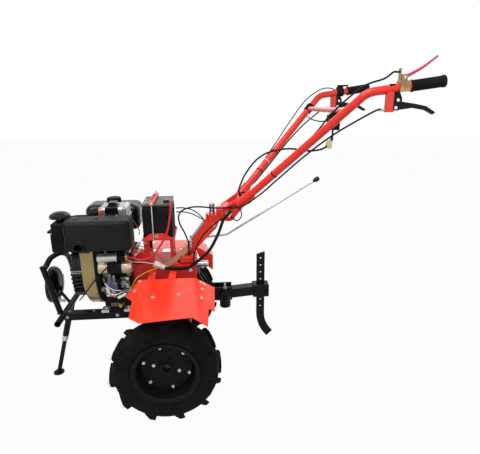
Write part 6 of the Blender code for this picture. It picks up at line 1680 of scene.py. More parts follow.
class FrontFrame(Assembly):
    """Engine rails, bumper, headlight and the folding stand."""

    cross = Vector((-0.4806, 0.0, 0.3865))
    stand_pivot = Vector((-0.49197, 0.0, 0.34607))
    stand_axis = Vector((-0.27060, 0.0, -0.96269))
    bar_radius = 0.0125

    def build(self) -> None:
        """Make the frame pieces, the lamp and the stand."""
        for node in ("engine_rail_left", "engine_rail_right"):
            self.refined(node, Finishes.BLACK, 0.0010)
        self.bolts(
            "rail_bolts",
            [
                ((x, side * 0.1325, 0.411), Z_AXIS) for x in (-0.445, -0.335) for side in (-1, 1)
            ] + [((x, -0.1505, 0.394), -Y_AXIS) for x in (-0.452, -0.230)], 0.0060, 0.005,
            Finishes.STEEL,
        )
        self.refined("front_cross_tube", Finishes.BLACK, 0.0006)
        self._bumper()
        self._lamp()
        self._stand()

    def _bumper(self) -> None:
        """Bend the bumper from round bar, with weld beads at its feet."""
        foot = Vector((self.cross.x - 0.007, -0.120, self.cross.z))
        shoulder = foot + Vector((-0.052, 0, 0.245))
        lean = (foot - shoulder).normalized()
        start = shoulder + lean * 0.015
        rear = Vector((foot.x, 0.120, foot.z))
        radius = self.bar_radius
        post = [
            swept([foot - lean * 0.014, shoulder], radius, 24),
            self._bead(foot - lean * 0.015, radius),
        ]
        self.piece("bumper_post_bar", post, Finishes.BLACK, ["bumper_post"])
        route = [
            start, start + Vector((0, 0.030, 0.002)), start + Vector((0.006, 0.090, 0.022)),
            start + Vector((0.032, 0.165, 0.016)), rear + Vector((-0.012, 0, 0.1764)),
            rear + Vector((0, 0, 0.014)),
        ]
        hoop = [swept(smooth(route, 0.007), radius, 24), self._bead(route[-1], radius)]
        self.piece("bumper_hoop_bar", hoop, Finishes.BLACK, ["bumper_hoop"])

    @staticmethod
    def _bead(middle: Vector, radius: float) -> Mesh:
        """Lay a weld bead round the foot of a bar."""
        profile = [
            (-0.002, radius), (-0.002, radius + 0.002), (0.0, radius + 0.003),
            (0.003, radius + 0.002), (0.004, radius),
        ]
        return turned(profile, middle, Z_AXIS, 24)

    def _lamp(self) -> None:
        """Turn the lamp bowl, its ring and its patterned glass."""
        middle = Vector((-0.5526, 0, 0.4915))
        bowl = [
            (-0.004, 0.0745), (-0.0055, 0.0760), (-0.0060, 0.0850), (-0.0045, 0.0865),
            (0.004, 0.0870), (0.0055, 0.0855), (0.014, 0.0845), (0.024, 0.0760), (0.032, 0.0600),
            (0.037, 0.0400), (0.0395, 0.0200), (0.0400, 0.0), (0.0, 0.0), (0.0, 0.0745),
        ]
        stem = swept(
            [self.cross + Vector((-0.009, 0, 0.011)), middle + Vector((0.020, 0, -0.0258))], 0.0072,
            16,
        )
        yoke = [
            block(
                (middle.x + 0.006, side * 0.0885 - 0.002, middle.z - 0.012),
                (middle.x + 0.022, side * 0.0885 + 0.002, middle.z + 0.012), 0.001,
            ) for side in (-1, 1)
        ]
        self.piece(
            "headlight_bowl", [turned(bowl, middle, X_AXIS, 72), stem, *yoke], Finishes.GLOSS,
            ["headlight"],
        )
        glass = [
            (-0.0005, 0.0), (-0.0005, 0.0738), (-0.0060, 0.0738), (-0.0085, 0.0640),
            (-0.0112, 0.0460), (-0.0132, 0.0240), (-0.0140, 0.0),
        ]
        self.piece(
            "headlight_glass", [turned(glass, middle, X_AXIS, 72)], Finishes.GLASS,
            ["headlight_lens"],
        )
        plate = [
            block((-0.530, -0.036, 0.412), (-0.494, -0.031, 0.428), 0.001),
            block((-0.528, -0.035, 0.412), (-0.522, -0.008, 0.446), 0.001),
        ]
        self.piece("headlight_bracket_plate", plate, Finishes.SILVER)
        self.bolts(
            "headlight_bracket_bolts",
            [((-0.503, -0.036, 0.420), -Y_AXIS), ((-0.520, -0.036, 0.420), -Y_AXIS)], 0.0050, 0.005,
        )

    def _stand(self) -> None:
        """Refine the stand and wind its pale spring collar."""
        self.refined("stand_leg", Finishes.BLACK, 0.0010, body="stand")
        side, up = square_axes(self.stand_axis)
        coil = []
        turns, steps = 7, 14
        for step in range(turns * steps + 1):
            angle = 2 * math.pi * step / steps
            along = 0.1365 + 0.0275 * step / (turns * steps)
            out = side * math.cos(angle) + up * math.sin(angle)
            coil.append(self.stand_pivot + self.stand_axis * along + out * 0.0128)
        spring = self.recipes.sleeve.grow(
            line_mesh(coil), Radius=0.0017, Spacing=0.004, Ring_Depth=0.0, Ring_Pitch=0.004,
            Finish=Finishes.ZINC.material(),
        )
        self.piece("stand_spring", [spring], Finishes.ZINC, body="stand")
        places = [
            (self.stand_pivot + Vector((0, sign * 0.0192, 0)), Vector((0, sign, 0)))
            for sign in (-1, 1)
        ]
        self.bolts("stand_bolt_ends", places, 0.0075, 0.005, Finishes.STEEL, body="stand")


class BatteryBay(Assembly):
    """Battery, tray, hold-down bar and its threaded rods."""

    def build(self) -> None:
        """Make the battery and what holds it."""
        case = block((-0.0865, -0.1436, 0.7483), (0.0385, 0.0224, 0.8850), 0.004, 3)
        step = block((-0.0845, -0.1416, 0.8820), (0.0365, 0.0204, 0.8990), 0.002, 2)
        ribs = []
        for low, high in ((-0.0875, -0.0855), (0.0375, 0.0395)):
            rib = block((low, -0.1380, 0.7600), (high, -0.1320, 0.8740), 0.0008)
            ribs.append(self.repeated(rib, 9, Finishes.PLASTIC, step=(0, 0.0185, 0)))
        face = block((-0.0760, -0.1446, 0.7860), (0.0280, -0.1425, 0.8690), 0.001)
        self.piece("battery_case", [case, step, *ribs, face], Finishes.PLASTIC, ["battery"])
        lid = block((-0.0865, -0.1436, 0.8960), (0.0385, 0.0224, 0.9053), 0.0025, 3)
        caps = self.repeated(
            rod((-0.050, -0.060, 0.904), (-0.050, -0.060, 0.9085), 0.009, 24), 4, Finishes.GREY,
            step=(0, 0.020, 0),
        )
        self.piece("battery_lid", [lid, caps], Finishes.BATTERY_LID)
        posts = []
        for x in (-0.0665, 0.0185):
            posts.append(block((x - 0.011, -0.1310, 0.9045), (x + 0.011, -0.1086, 0.9125), 0.001))
            posts.append(rod((x, -0.1196, 0.912), (x, -0.1196, 0.9213), 0.0062, 24))
        self.piece("battery_posts", posts, Finishes.STEEL)
        boot = [block((0.0050, -0.1345, 0.9080), (0.0315, -0.1080, 0.9180), 0.003, 3)]
        self.piece("battery_terminal_boot", boot, Finishes.PLASTIC)
        self._tray()
        self._clamp()

    def _tray(self) -> None:
        """Fold the tray with its sloping flanges and set it on its legs."""
        near, far = -0.1526, 0.0314
        flange = [
            (-0.0955, 0.7455), (-0.0930, 0.7505), (-0.0560, 0.7780), (0.0020, 0.7780),
            (0.0440, 0.7535), (0.0475, 0.7455),
        ]
        shapes = [
            block((-0.0955, near, 0.7455), (0.0475, far, 0.7480), 0.0006),
            prism(flange, Axis.Y, near, near + 0.0028, 0.0006),
            prism(flange, Axis.Y, far - 0.0028, far, 0.0006),
        ]
        for x, y, low in (
            (-0.0910, -0.0750, 0.6683), (-0.0910, -0.0076, 0.6403), (0.0185, -0.0750, 0.6063),
            (0.0185, -0.0076, 0.6063),
        ):
            shapes.append(block((x, y, low), (x + 0.0160, y + 0.0300, 0.7470), 0.0010))
        shapes.append(block((-0.1000, -0.0785, 0.6683), (-0.0580, -0.0752, 0.7470), 0.0008))
        self.piece("battery_tray_folded", shapes, Finishes.RED, ["battery_tray"])
        self.bolts(
            "tray_bolts",
            [((-0.0290, near, 0.7660), -Y_AXIS), ((-0.0930, -0.0785, 0.7120), -Y_AXIS)], 0.0060,
            0.005, Finishes.STEEL,
        )
        # A thin dark sheet paints the shade seen through the slot in the tray leg.
        slot = block((-0.0720, -0.0790, 0.6880), (-0.0620, -0.0780, 0.7260), 0.0003)
        self.piece("tray_leg_slot", [slot], Finishes.HOLE_SHADE)

    def _clamp(self) -> None:
        """Fold the hold-down bar and put its threaded rods through it."""
        middle, low = -0.042, 0.9056
        bar = []
        for left, right, height in (
            (-0.0110, 0.0110, 0.0030), (-0.0110, -0.0085, 0.0130), (0.0085, 0.0110, 0.0130),
        ):
            bar.append(
                block((middle + left, -0.1640, low), (middle + right, 0.0430, low + height), 0.0006)
            )
        self.piece("battery_hold_down", bar, Finishes.RED, ["battery_clamp"])
        rods, nuts = [], []
        for y in (-0.1569, 0.0357):
            route = [(middle, y, z) for z in (0.7455, 0.8100, 0.8700, 0.9262)]
            rods.append(self.sleeve(route, 0.0034, Finishes.STEEL, 0.09, 0.0022))
            nuts.append(((middle, y, low + 0.0030), Z_AXIS))
        self.piece("hold_down_rods", rods, Finishes.STEEL)
        self.bolts("hold_down_nuts", nuts, 0.0068, 0.006)


class Fenders(Assembly):
    """Folded orange fenders with their bolts and rivets."""

    def build(self) -> None:
        """Refine both fenders and set their bolts and rivets."""
        slope = Vector((0.0, -0.179, 0.984))
        flap = Vector((0.500, -0.166, 0.850))
        near = [
            ((-0.0387, -0.3267, 0.5620), slope), ((0.0636, -0.3158, 0.5640), slope),
            ((-0.1060, -0.2103, 0.5831), slope), ((-0.1170, -0.2809, 0.5703), slope),
            ((0.1612, -0.2565, 0.5556), flap), ((0.1588, -0.3171, 0.5451), flap),
            ((0.1560, -0.2120, 0.5674), flap), ((0.1690, -0.2150, 0.5591), flap),
        ]
        small = [((0.1974, -0.2744, 0.5308), flap), ((0.1962, -0.3375, 0.5191), flap)]
        for name, sign in (("left", 1), ("right", -1)):
            self.refined("fender_" + name, Finishes.ORANGE, 0.0007)
            self.bolts(
                f"fender_{name}_bolts", [self._side(place, sign) for place in near], 0.0048, 0.0042,
                Finishes.ZINC, 1.5,
            )
            self.bolts(
                f"fender_{name}_rivets", [self._side(place, sign) for place in small], 0.0030,
                0.0016, Finishes.STEEL, 1.1, 12,
            )

    @staticmethod
    def _side(place: tuple[Point, Vector], sign: int) -> tuple[Vector, Vector]:
        """Give a place on the near fender, or its mirror image on the far one."""
        point, axis = Vector(place[0]), Vector(place[1])
        if sign < 0:
            point.y, axis.y = -point.y, -axis.y
        return point, axis


class Column(Assembly):
    """Column arm, swivel yoke, swivel pin and gear shift rod."""

    def build(self) -> None:
        """Make the arm, its plates, the swivel and the shift rod."""
        self.refined("column_arm", Finishes.RED, 0.003, 3)
        low, high = Vector((0.104, 0, 0.687)), Vector((0.182, 0, 0.790))
        along = (high - low).normalized()
        out = Vector((-along.z, 0, along.x))
        corners = [low + along * 0.004, high - along * 0.012]
        outline = [
            (p.x, p.z)
            for p in (
                corners[0] + out * 0.0004, corners[1] + out * 0.0004, corners[1] + out * 0.0040,
                corners[0] + out * 0.0040,
            )
        ]
        self.piece(
            "column_grey_plate", [prism(outline, Axis.Y, -0.024, 0.024, 0.0006)], Finishes.PLATE,
        )
        strip = [Vector((0.1105, -0.0450, 0.6810)), Vector((-0.0130, -0.0965, 0.6000))]
        way = (strip[1] - strip[0]).normalized()
        wide = way.cross(Y_AXIS).normalized() * 0.0125
        self.piece("column_brown_strip", [self._strip(strip[0], strip[1], wide)], Finishes.KRAFT)
        self.bolts(
            "column_bolts",
            [
                ((0.1100, -0.0470, 0.6830), -Y_AXIS), ((0.2220, -0.0320, 0.7720), -Y_AXIS),
                ((0.0750, -0.0620, 0.6370), Z_AXIS), ((0.1150, -0.0640, 0.6370), Z_AXIS),
            ], 0.0068, 0.006, Finishes.STEEL,
        )
        self._swivel()
        self._shift()

    @staticmethod
    def _strip(start: Vector, end: Vector, wide: Vector) -> Mesh:
        """Make a thin strip that sags a little between two points."""
        thick = (end - start).cross(wide).normalized() * 0.0009
        sections = []
        for share in (0.0, 0.25, 0.5, 0.75, 1.0):
            middle = start.lerp(end, share) + Vector((0, 0, -0.006 * math.sin(math.pi * share)))
            corners = (
                middle + wide + thick, middle - wide + thick, middle - wide - thick,
                middle + wide - thick,
            )
            sections.append(corners)
        return lofted(sections)

    def _swivel(self) -> None:
        """Refine the yoke and turn the bright swivel pin."""
        self.refined("swivel_yoke", Finishes.RED, 0.0014, body="swivel")
        knob = [
            (-0.0663, 0.0), (-0.0663, 0.0118), (0.0004, 0.0118), (0.0004, 0.0135), (0.004, 0.0136),
            (0.0050, 0.0128), (0.042, 0.0128), (0.0455, 0.0135), (0.048, 0.0120), (0.048, 0.0),
        ]
        self.piece(
            "swivel_pin_bright", [turned(knob, (0.214, 0, 0.8213), Z_AXIS, 40)], Finishes.CHROME,
            ["swivel_pin"], body="swivel",
        )

    def _shift(self) -> None:
        """Bend the shift rod and set its knob."""
        start = Vector((0.115, 0.045, 0.6843))
        bend = start + Vector((0.1687, 0, 0.0155))
        end = bend + Vector((0.4211, 0, 0.2559))
        along = (end - bend).normalized()
        bar = swept(rounded([start, bend, end], 0.030, 12), 0.0052, 20)
        eye = rod(start - Y_AXIS * 0.006, start + Y_AXIS * 0.006, 0.012, 32)
        pin = rod(start, start + Y_AXIS * 0.0143, 0.004, 16)
        self.piece(
            "shift_rod_bar", [bar, eye, pin], Finishes.STEEL, ["shift_rod"], body="gear_shift",
        )
        knob = [
            (-0.004, 0.0), (-0.004, 0.0060), (0.004, 0.0085), (0.010, 0.0112), (0.018, 0.0120),
            (0.025, 0.0108), (0.029, 0.0075), (0.0300, 0.0),
        ]
        self.piece("shift_knob", [turned(knob, end, along, 32)], Finishes.GLOSS, body="gear_shift")


@dataclass
class HandleSizes:
    """Sizes of the handlebar."""

    tube: float = 0.016
    bend: float = 0.075
    root: tuple[float, float, float] = (0.345, 0.068, 0.884)
    corner: tuple[float, float, float] = (0.790, 0.330, 1.350)
    end: tuple[float, float, float] = (1.0605, 0.365, 1.388)
    grip_length: float = 0.122
    crossbar_share: float = 0.86
    crossbar_seat: float = 0.0113
    switch_drop: float = 0.068
    strap_bore: float = 0.0161
    lever_x: float = 0.896

    def points(self, side: Side) -> tuple[Vector, Vector, Vector]:
        """Give the root, bend and end of one tube."""
        flip = Vector((1, side.value, 1))
        return Vector(self.root) * flip, Vector(self.corner) * flip, Vector(self.end) * flip

    def straight(self, side: Side, share: float) -> Vector:
        """Give a point on the straight of a tube."""
        root, bend, _ = self.points(side)
        return root.lerp(bend, share)

    def grip_point(self, side: Side, x: float) -> Vector:
        """Give a point on the grip end of a tube."""
        _, bend, end = self.points(side)
        return bend.lerp(end, (x - bend.x) / (end.x - bend.x))

    def clutch_pin(self, side: Side) -> Vector:
        """Give the pivot of a clutch lever."""
        spot = self.grip_point(side, self.lever_x)
        return Vector((self.lever_x, spot.y, spot.z - 0.042))


class Handlebar(Assembly):
    """Two bent tubes with grips, brackets, levers, cross bar and switch box."""

    sizes = HandleSizes()
    body: ClassVar[str] = "handlebar"

    def build(self) -> None:
        """Make every piece of the handlebar."""
        self.refined("handle_base", Finishes.RED, 0.0012)
        self.bolts(
            "tilt_bolt", [((TILT.x, s * 0.0660, TILT.z), Vector((0, s, 0))) for s in (-1, 1)],
            0.0105, 0.008, Finishes.ZINC, 1.35,
        )
        for side in (Side.LEFT, Side.RIGHT):
            self._tube(side)
            self._grip(side)
            self._clutch(side)
        self._crossbar()
        self._hand_lever()
        self._throttle()

    def _tube(self, side: Side) -> None:
        """Bend one tube and add its lever bracket."""
        name = side.name.lower()
        root, bend, end = self.sizes.points(side)
        along = (end - bend).normalized()
        bar = swept(
            rounded([root, bend, end - along * 0.0065], self.sizes.bend, 16), self.sizes.tube, 32,
        )
        pin = self.sizes.clutch_pin(side)
        bracket = block((0.855, pin.y - 0.0105, 1.2801), (0.884, pin.y + 0.0105, 1.3520), 0.0015)
        self.piece(f"handlebar_{name}_tube", [bar, bracket], Finishes.RED, [f"handlebar_{name}"])
        outline = [
            (0.8800, 1.3540), (0.8800, 1.2860), (0.9020, 1.2860), (0.9130, 1.3040),
            (0.9110, 1.3300), (0.9000, 1.3540),
        ]
        ears = []
        for sign in (-1, 1):
            faces = sorted((pin.y + sign * 0.0069, pin.y + sign * 0.0108))
            ears.append(prism(outline, Axis.Y, *faces, 0.0006))
        self.piece(f"clutch_{name}_ears", ears, Finishes.BLACK)
        heads = []
        for sign in (-1, 1):
            heads.append(((pin.x, pin.y + sign * 0.0108, pin.z), Vector((0, sign, 0))))
            heads.append(((0.8900, pin.y + sign * 0.0108, 1.2960), Vector((0, sign, 0))))
        self.bolts(f"clutch_{name}_screws", heads, 0.0055, 0.003, Finishes.ZINC, 1.05, 16)
        if side is Side.LEFT:
            spot = self.sizes.grip_point(side, 0.874)
            pad = block(
                spot + Vector((-0.010, -0.0125, 0.0085)), spot + Vector((0.010, 0.0060, 0.0172)),
                0.002, 3,
            )
            self.piece("tube_rubber_pad", [pad], Finishes.GRIP)

    def _grip(self, side: Side) -> None:
        """Make a rubber grip with raised rings and a round end."""
        name = side.name.lower()
        _, bend, end = self.sizes.points(side)
        along = (end - bend).normalized()
        start = end - along * self.sizes.grip_length
        length = self.sizes.grip_length
        profile = [
            (0.0, 0.0163), (0.0, 0.0212), (0.001, 0.0220), (0.005, 0.0220), (0.007, 0.0192),
            (length - 0.014, 0.0192), (length - 0.011, 0.0218), (length - 0.004, 0.0220),
            (length - 0.001, 0.0200), (length, 0.0165), (length, 0.0), (length - 0.0063, 0.0),
            (length - 0.0063, 0.0163),
        ]
        sleeve = turned(profile, start, along, 40)
        ring = turned(
            [
                (0.0105, 0.0188), (0.0105, 0.0196), (0.0115, 0.0203), (0.0135, 0.0203),
                (0.0145, 0.0196), (0.0145, 0.0188),
            ], start, along, 40,
        )
        rings = self.repeated(ring, 17, Finishes.GRIP, step=along * 0.0057)
        self.piece(f"grip_{name}_ribbed", [sleeve, rings], Finishes.GRIP, [f"grip_{name}"])

    def _clutch(self, side: Side) -> None:
        """Refine a clutch lever."""
        name = side.name.lower()
        self.refined(f"clutch_lever_{name}", Finishes.BLACK, 0.0022, 3, body=f"{name}_clutch")

    def _crossbar(self) -> None:
        """Make the cross bar and the switch box below it."""
        near = self.sizes.straight(Side.LEFT, self.sizes.crossbar_share)
        far = self.sizes.straight(Side.RIGHT, self.sizes.crossbar_share)
        inset = Vector((0, 0.010, 0))
        self.piece(
            "crossbar_tube", [rod(near + inset, far - inset, 0.0112, 32)], Finishes.PINK,
            ["crossbar"],
        )
        low = near.z - self.sizes.crossbar_seat
        box = block(
            (near.x - 0.0225, -0.160, low - self.sizes.switch_drop),
            (near.x + 0.0225, -0.110, low - 0.006), 0.004, 3,
        )
        strap = block((near.x - 0.0150, -0.150, low - 0.010), (near.x + 0.0150, -0.120, low), 0.001)
        nose = rod((near.x, -0.135, low - 0.066), (near.x, -0.135, low - 0.0675), 0.009, 24)
        rocker = block(
            (near.x - 0.0120, -0.1625, low - 0.050), (near.x + 0.0120, -0.159, low - 0.024), 0.002,
            3,
        )
        self.piece("switch_box_case", [box, strap, nose, rocker], Finishes.PLASTIC, ["switch_box"])
        self._ties()

    def _ties(self) -> None:
        """Put the rubber clip, the black ties and the white ties round the tubes."""
        bore = self.sizes.strap_bore
        clip = [
            (0, bore), (0, 0.0195), (0.002, 0.0205), (0.036, 0.0205), (0.038, 0.0195),
            (0.038, bore),
        ]
        self.piece("tube_clip", [self._band(Side.RIGHT, 0.835, clip, 32)], Finishes.GRIP)
        tie = ring_section(0, 0.004, bore, 0.0176)
        spots = ((Side.LEFT, 0.30), (Side.RIGHT, 0.42), (Side.RIGHT, 0.24))
        self.piece("tube_ties", [self._band(*spot, tie) for spot in spots], Finishes.GRIP)
        tie = ring_section(0, 0.003, bore, 0.0181)
        spots = ((Side.LEFT, 0.085), (Side.LEFT, 0.012), (Side.RIGHT, 0.330))
        self.piece("white_ties", [self._band(*spot, tie) for spot in spots], Finishes.WHITE)

    def _band(
        self, side: Side, share: float, profile: Sequence[tuple[float, float]], sides: int = 28,
    ) -> Mesh:
        """Turn a band round the straight of a tube.

        Args:
            side: Side of the tube.
            share: Place along the straight, from 0 at its root to 1 at its bend.
            profile: Section of the band.
            sides: Faces round the band.

        Returns:
            The band.
        """
        root, bend, _ = self.sizes.points(side)
        return turned(profile, self.sizes.straight(side, share), (bend - root).normalized(), sides)

    def _hand_lever(self) -> None:
        """Make the red hand lever in its yellow zinc bracket."""
        self.refined("hand_lever_bracket", Finishes.YELLOW_ZINC, 0.0006)
        pin = Vector((0.9131, -0.34593, 1.40129))
        self.bolts(
            "hand_lever_bolts",
            [((pin.x, pin.y + s * 0.0093, pin.z), Vector((0, s, 0))) for s in (-1, 1)], 0.0050,
            0.003, Finishes.STEEL, 1.1,
        )
        route = [
            pin, pin + Vector((0.034, 0, 0.016)), pin + Vector((0.066, 0, 0.034)),
            pin + Vector((0.094, 0, 0.054)), pin + Vector((0.117, 0, 0.0718)),
        ]
        arm = swept(smooth(route, 0.006), 0.0066, 18, 0.0038)
        tip = rod(
            route[-1] - Vector((0.002, 0, 0.002)), route[-1] + Vector((0.0012, 0, 0.0010)), 0.0036,
            16, bevel=0.0012,
        )
        hub = rod(pin - Y_AXIS * 0.006, pin + Y_AXIS * 0.006, 0.0088, 28)
        self.piece(
            "hand_lever_arm", [arm, tip, hub], Finishes.LEVER_RED, ["hand_lever"], body="hand",
        )

    def _throttle(self) -> None:
        """Make the throttle block and its thumb lever on the far tube."""
        seat = self.sizes.grip_point(Side.RIGHT, 0.900)
        top = seat.z + 0.028
        base = block(
            (0.885, seat.y - 0.0128, seat.z + 0.002), (0.915, seat.y + 0.0128, top), 0.0015,
        )
        clamp = turned(ring_section(-0.018, 0.018, self.sizes.strap_bore, 0.0205), seat, X_AXIS, 32)
        self.piece("throttle_block", [base, clamp], Finishes.PLASTIC)
        self.refined("throttle_lever", Finishes.PLASTIC, 0.0010, body="throttle")


class Hitch(Assembly):
    """Hitch bracket, drawbar with its clamp, and the depth bar."""

    def build(self) -> None:
        """Refine the hitch pieces and add their bolts."""
        cap = [
            rod((0.2663, -0.0553, 0.424), (0.2663, -0.0553, 0.434), 0.018, 28, bevel=0.002),
            rod((0.2663, -0.0553, 0.432), (0.2663, -0.0553, 0.460), 0.011, 24, bevel=0.002),
        ]
        self.refined("hitch_bracket", Finishes.BLACK, 0.0020, 2, cap)
        self.refined("drawbar", Finishes.BLACK, 0.0016)
        self.refined("depth_bar", Finishes.BLACK, 0.0008, body="depth")
        heads = [
            ((x, side * 0.030, 0.424), Vector((0, side, 0))) for x in (0.4200, 0.4710)
            for side in (-1, 1)
        ]
        self.bolts("hitch_bolts", heads, 0.0075, 0.006, Finishes.BLACK)
        self.bolts("hitch_pin", [((0.2663, -0.0553, 0.460), Z_AXIS)], 0.0060, 0.022, Finishes.STEEL)


class Wiring(Assembly):
    """Control cables, battery cable, wiring harness, loose wires and connectors."""

    held_share: ClassVar[float] = 0.22  # share of a blended cable's length, given for its second body
    ring_pitch: ClassVar[float] = 0.0044  # from ring to ring of a corrugated cable

    def build(self) -> None:
        """Lay every cable and wire."""
        self._lower()
        self._upper()
        self._engine_wires()
        self._handle_wires()
        self._column_wires()

    def cable(
        self, name: str, route: Sequence[Point], radius: float, finish: Finish, node: str,
        ring_depth: float = 0.0, blend: str = "", body: str | None = None,
    ) -> None:
        """Lay one declared cable in place of its solid.

        Args:
            name: Name of the piece.
            route: Points of the route.
            radius: Radius of the cable.
            finish: Finish of the cable.
            node: The solid that it stands for, or nothing.
            ring_depth: Depth of the rings of a corrugated cable.
            blend: A second body; where one is given, the cable rides on no body and stays in place.
            body: The body that it moves with, the assembly's own where left out.
        """
        body = body or self.body
        points = [Vector(point) for point in route]
        fine = [points[0]] + smooth(points[1:-1], radius * 1.2) + [points[-1]]
        spacing = self.ring_pitch / 4 if ring_depth else radius
        mesh = self.recipes.sleeve.grow(
            line_mesh(fine), Radius=radius, Spacing=spacing, Ring_Depth=ring_depth,
            Ring_Pitch=self.ring_pitch, Finish=finish.material(),
        )
        item = self.piece(name, [mesh], finish, [node] if node else [], CABLE_DEGREES, body=body)
        if blend:
            item.parent = None
            del item["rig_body"]
            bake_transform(item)

    def _lower(self) -> None:
        """Lay the cables below the tilt joint."""
        x1 = 0.0385
        post = Vector((x1 - 0.020, -0.1196, 0.9149))
        start = post + Vector((0.0083, 0, 0))
        end = Vector((-0.16345, -0.175, 0.683))
        route = [
            start, start + Vector((0.008, 0, 0)), (x1 + 0.0005, post.y - 0.0090, 0.9168),
            (x1 + 0.0005, post.y - 0.0240, 0.9168), (x1 - 0.0010, post.y - 0.0365, 0.9073),
            (x1 - 0.0020, post.y - 0.0394, 0.8873), (0.0327, -0.1590, 0.8540),
            (0.0184, -0.1640, 0.7902), (-0.0099, -0.1730, 0.7355), (-0.0516, -0.1810, 0.6860),
            (-0.1000, -0.1820, 0.6700), end + Vector((0.036, -0.003, -0.005)),
            end + Vector((0.012, 0, 0)), end,
        ]
        self.cable("battery_cable_red", route, 0.0045, Finishes.CABLE_RED, "battery_cable")
        side = -0.0618
        lie = 0.5923
        route = [
            (TILT.x + 0.010, side - 0.016, TILT.z + 0.018), (0.262, -0.092, 0.812),
            (0.236, -0.106, 0.748), (0.196, -0.113, 0.678), (0.144, -0.115, 0.630),
            (0.092, -0.113, lie + 0.003), (0.030, -0.105, lie), (-0.004, -0.100, lie),
        ]
        self.cable(
            "harness_lower_corrugated", route, 0.007, Finishes.CABLE, "harness_lower", 0.10,
            "swivel",
        )
        route = [
            (TILT.x + 0.014, side, TILT.z + 0.029), (TILT.x - 0.006, side, TILT.z + 0.030),
            (0.228, -0.068, 0.864), (0.150, -0.070, 0.872), (0.105, -0.070, 0.867),
            (0.074, -0.070, 0.851), (0.0625, -0.069, 0.824), (0.069, -0.066, 0.788),
            (0.086, -0.060, 0.748), (0.102, -0.056, 0.700), (0.102, -0.056, 0.6391),
        ]
        self.cable(
            "clutch_cable_lower_loop", route, 0.0035, Finishes.CABLE, "clutch_cable_lower", 0.0,
            "swivel",
        )
        route = [
            (TILT.x + 0.002, side - 0.014, TILT.z + 0.012),
            (TILT.x - 0.012, side - 0.022, TILT.z - 0.004), (0.215, -0.088, 0.788),
            (0.172, -0.088, 0.744), (0.145, -0.088, 0.700), (0.1275, -0.086, 0.656),
            (0.1235, -0.082, 0.623), (0.1270, -0.074, 0.590), (0.1290, -0.070, 0.572),
        ]
        self.cable("clutch_cable_second_loop", route, 0.0032, Finishes.CABLE, "", 0.0, "swivel")
        fitting = [rod((0.1288, -0.0705, 0.574), (0.1300, -0.0680, 0.552), 0.0055, 20, bevel=0.001)]
        self.piece("clutch_cable_second_end", fitting, Finishes.STEEL)

    def _upper(self) -> None:
        """Lay the cables that ride on the handlebar."""
        bar = Handlebar.sizes
        web_top = 0.898
        for side in (Side.LEFT, Side.RIGHT):
            route: list[Vector] = []
            for share, out, drop in (
                (0.06, 0.030, 0.020), (0.20, 0.012, 0.034), (0.36, 0.006, 0.034),
                (0.56, 0.006, 0.034), (0.76, 0.006, 0.046), (0.94, 0.002, 0.072),
            ):
                route.append(bar.straight(side, share) + Vector((0, side.value * out, -drop)))
            middle = bar.clutch_pin(side).y
            low = 1.2881
            for x in (0.825, 0.843, 0.8547):
                route.append(Vector((x, middle, low)))
            name = side.name.lower()
            self.cable(
                f"clutch_cable_{name}_run", route, 0.0035, Finishes.CABLE, f"clutch_cable_{name}",
                body="handlebar",
            )
            sleeve = rod((0.830, middle, low), (0.8549, middle, low), 0.0046, 20)
            self.piece(f"clutch_cable_{name}_adjuster", [sleeve], Finishes.STEEL, body="handlebar")
        start = Vector((0.8957, -0.34593, 1.41929))
        cross = bar.straight(Side.LEFT, bar.crossbar_share)
        route = [
            start, start + Vector((-0.012, 0, 0)), start + Vector((-0.024, 0, -0.001)),
            (0.843, -0.340, 1.397), (0.785, -0.306, 1.374),
            (cross.x + 0.004, -0.255, cross.z + 0.036), (0.684, -0.216, 1.262),
            (0.648, -0.190, 1.206), (0.545, -0.136, 1.075), (0.470, -0.095, 0.996),
            (0.400, -0.056, 0.938), (0.351, -0.035, web_top + 0.026),
            (0.345, -0.035, web_top + 0.012), (0.345, -0.035, web_top + 0.0003),
        ]
        self.cable(
            "hand_lever_cable_run", route, 0.0035, Finishes.CABLE, "hand_lever_cable",
            body="handlebar",
        )
        low = cross.z - bar.crossbar_seat - bar.switch_drop
        route = [
            (0.345, 0.010, web_top + 0.0003), (0.345, 0.010, web_top + 0.014),
            (0.343, 0.014, web_top + 0.034), (0.372, 0.042, 0.990), (0.420, 0.052, 1.052),
            (0.470, 0.040, 1.090), (0.524, -0.010, 1.112), (0.565, -0.085, 1.124),
            (0.630, -0.135, 1.120), (0.690, -0.150, 1.132), (cross.x - 0.004, -0.139, low - 0.034),
            (cross.x, -0.135, low - 0.014), (cross.x, -0.135, low - 0.0003),
        ]
        self.cable(
            "harness_upper_lead", route, 0.004, Finishes.CABLE, "harness_upper", body="handlebar",
        )
        plug = [block((0.701, -0.156, 1.130), (0.722, -0.136, 1.164), 0.003, 3)]
        self.piece("harness_cream_connector", plug, Finishes.CREAM, body="handlebar")

    def wires(
        self, name: str, radius: float, finish: Finish, *routes: Sequence[Point],
        body: str | None = None,
    ) -> None:
        """Lay short wires that are held at both ends.

        Args:
            name: Name of the piece.
            radius: Radius of each wire.
            finish: Finish of the wires.
            routes: The points of each wire.
            body: The body that they move with, the assembly's own where left out.
        """
        shapes = [self.sleeve(route, radius, finish) for route in routes]
        self.piece(name, shapes, finish, angle=CABLE_DEGREES, body=body)

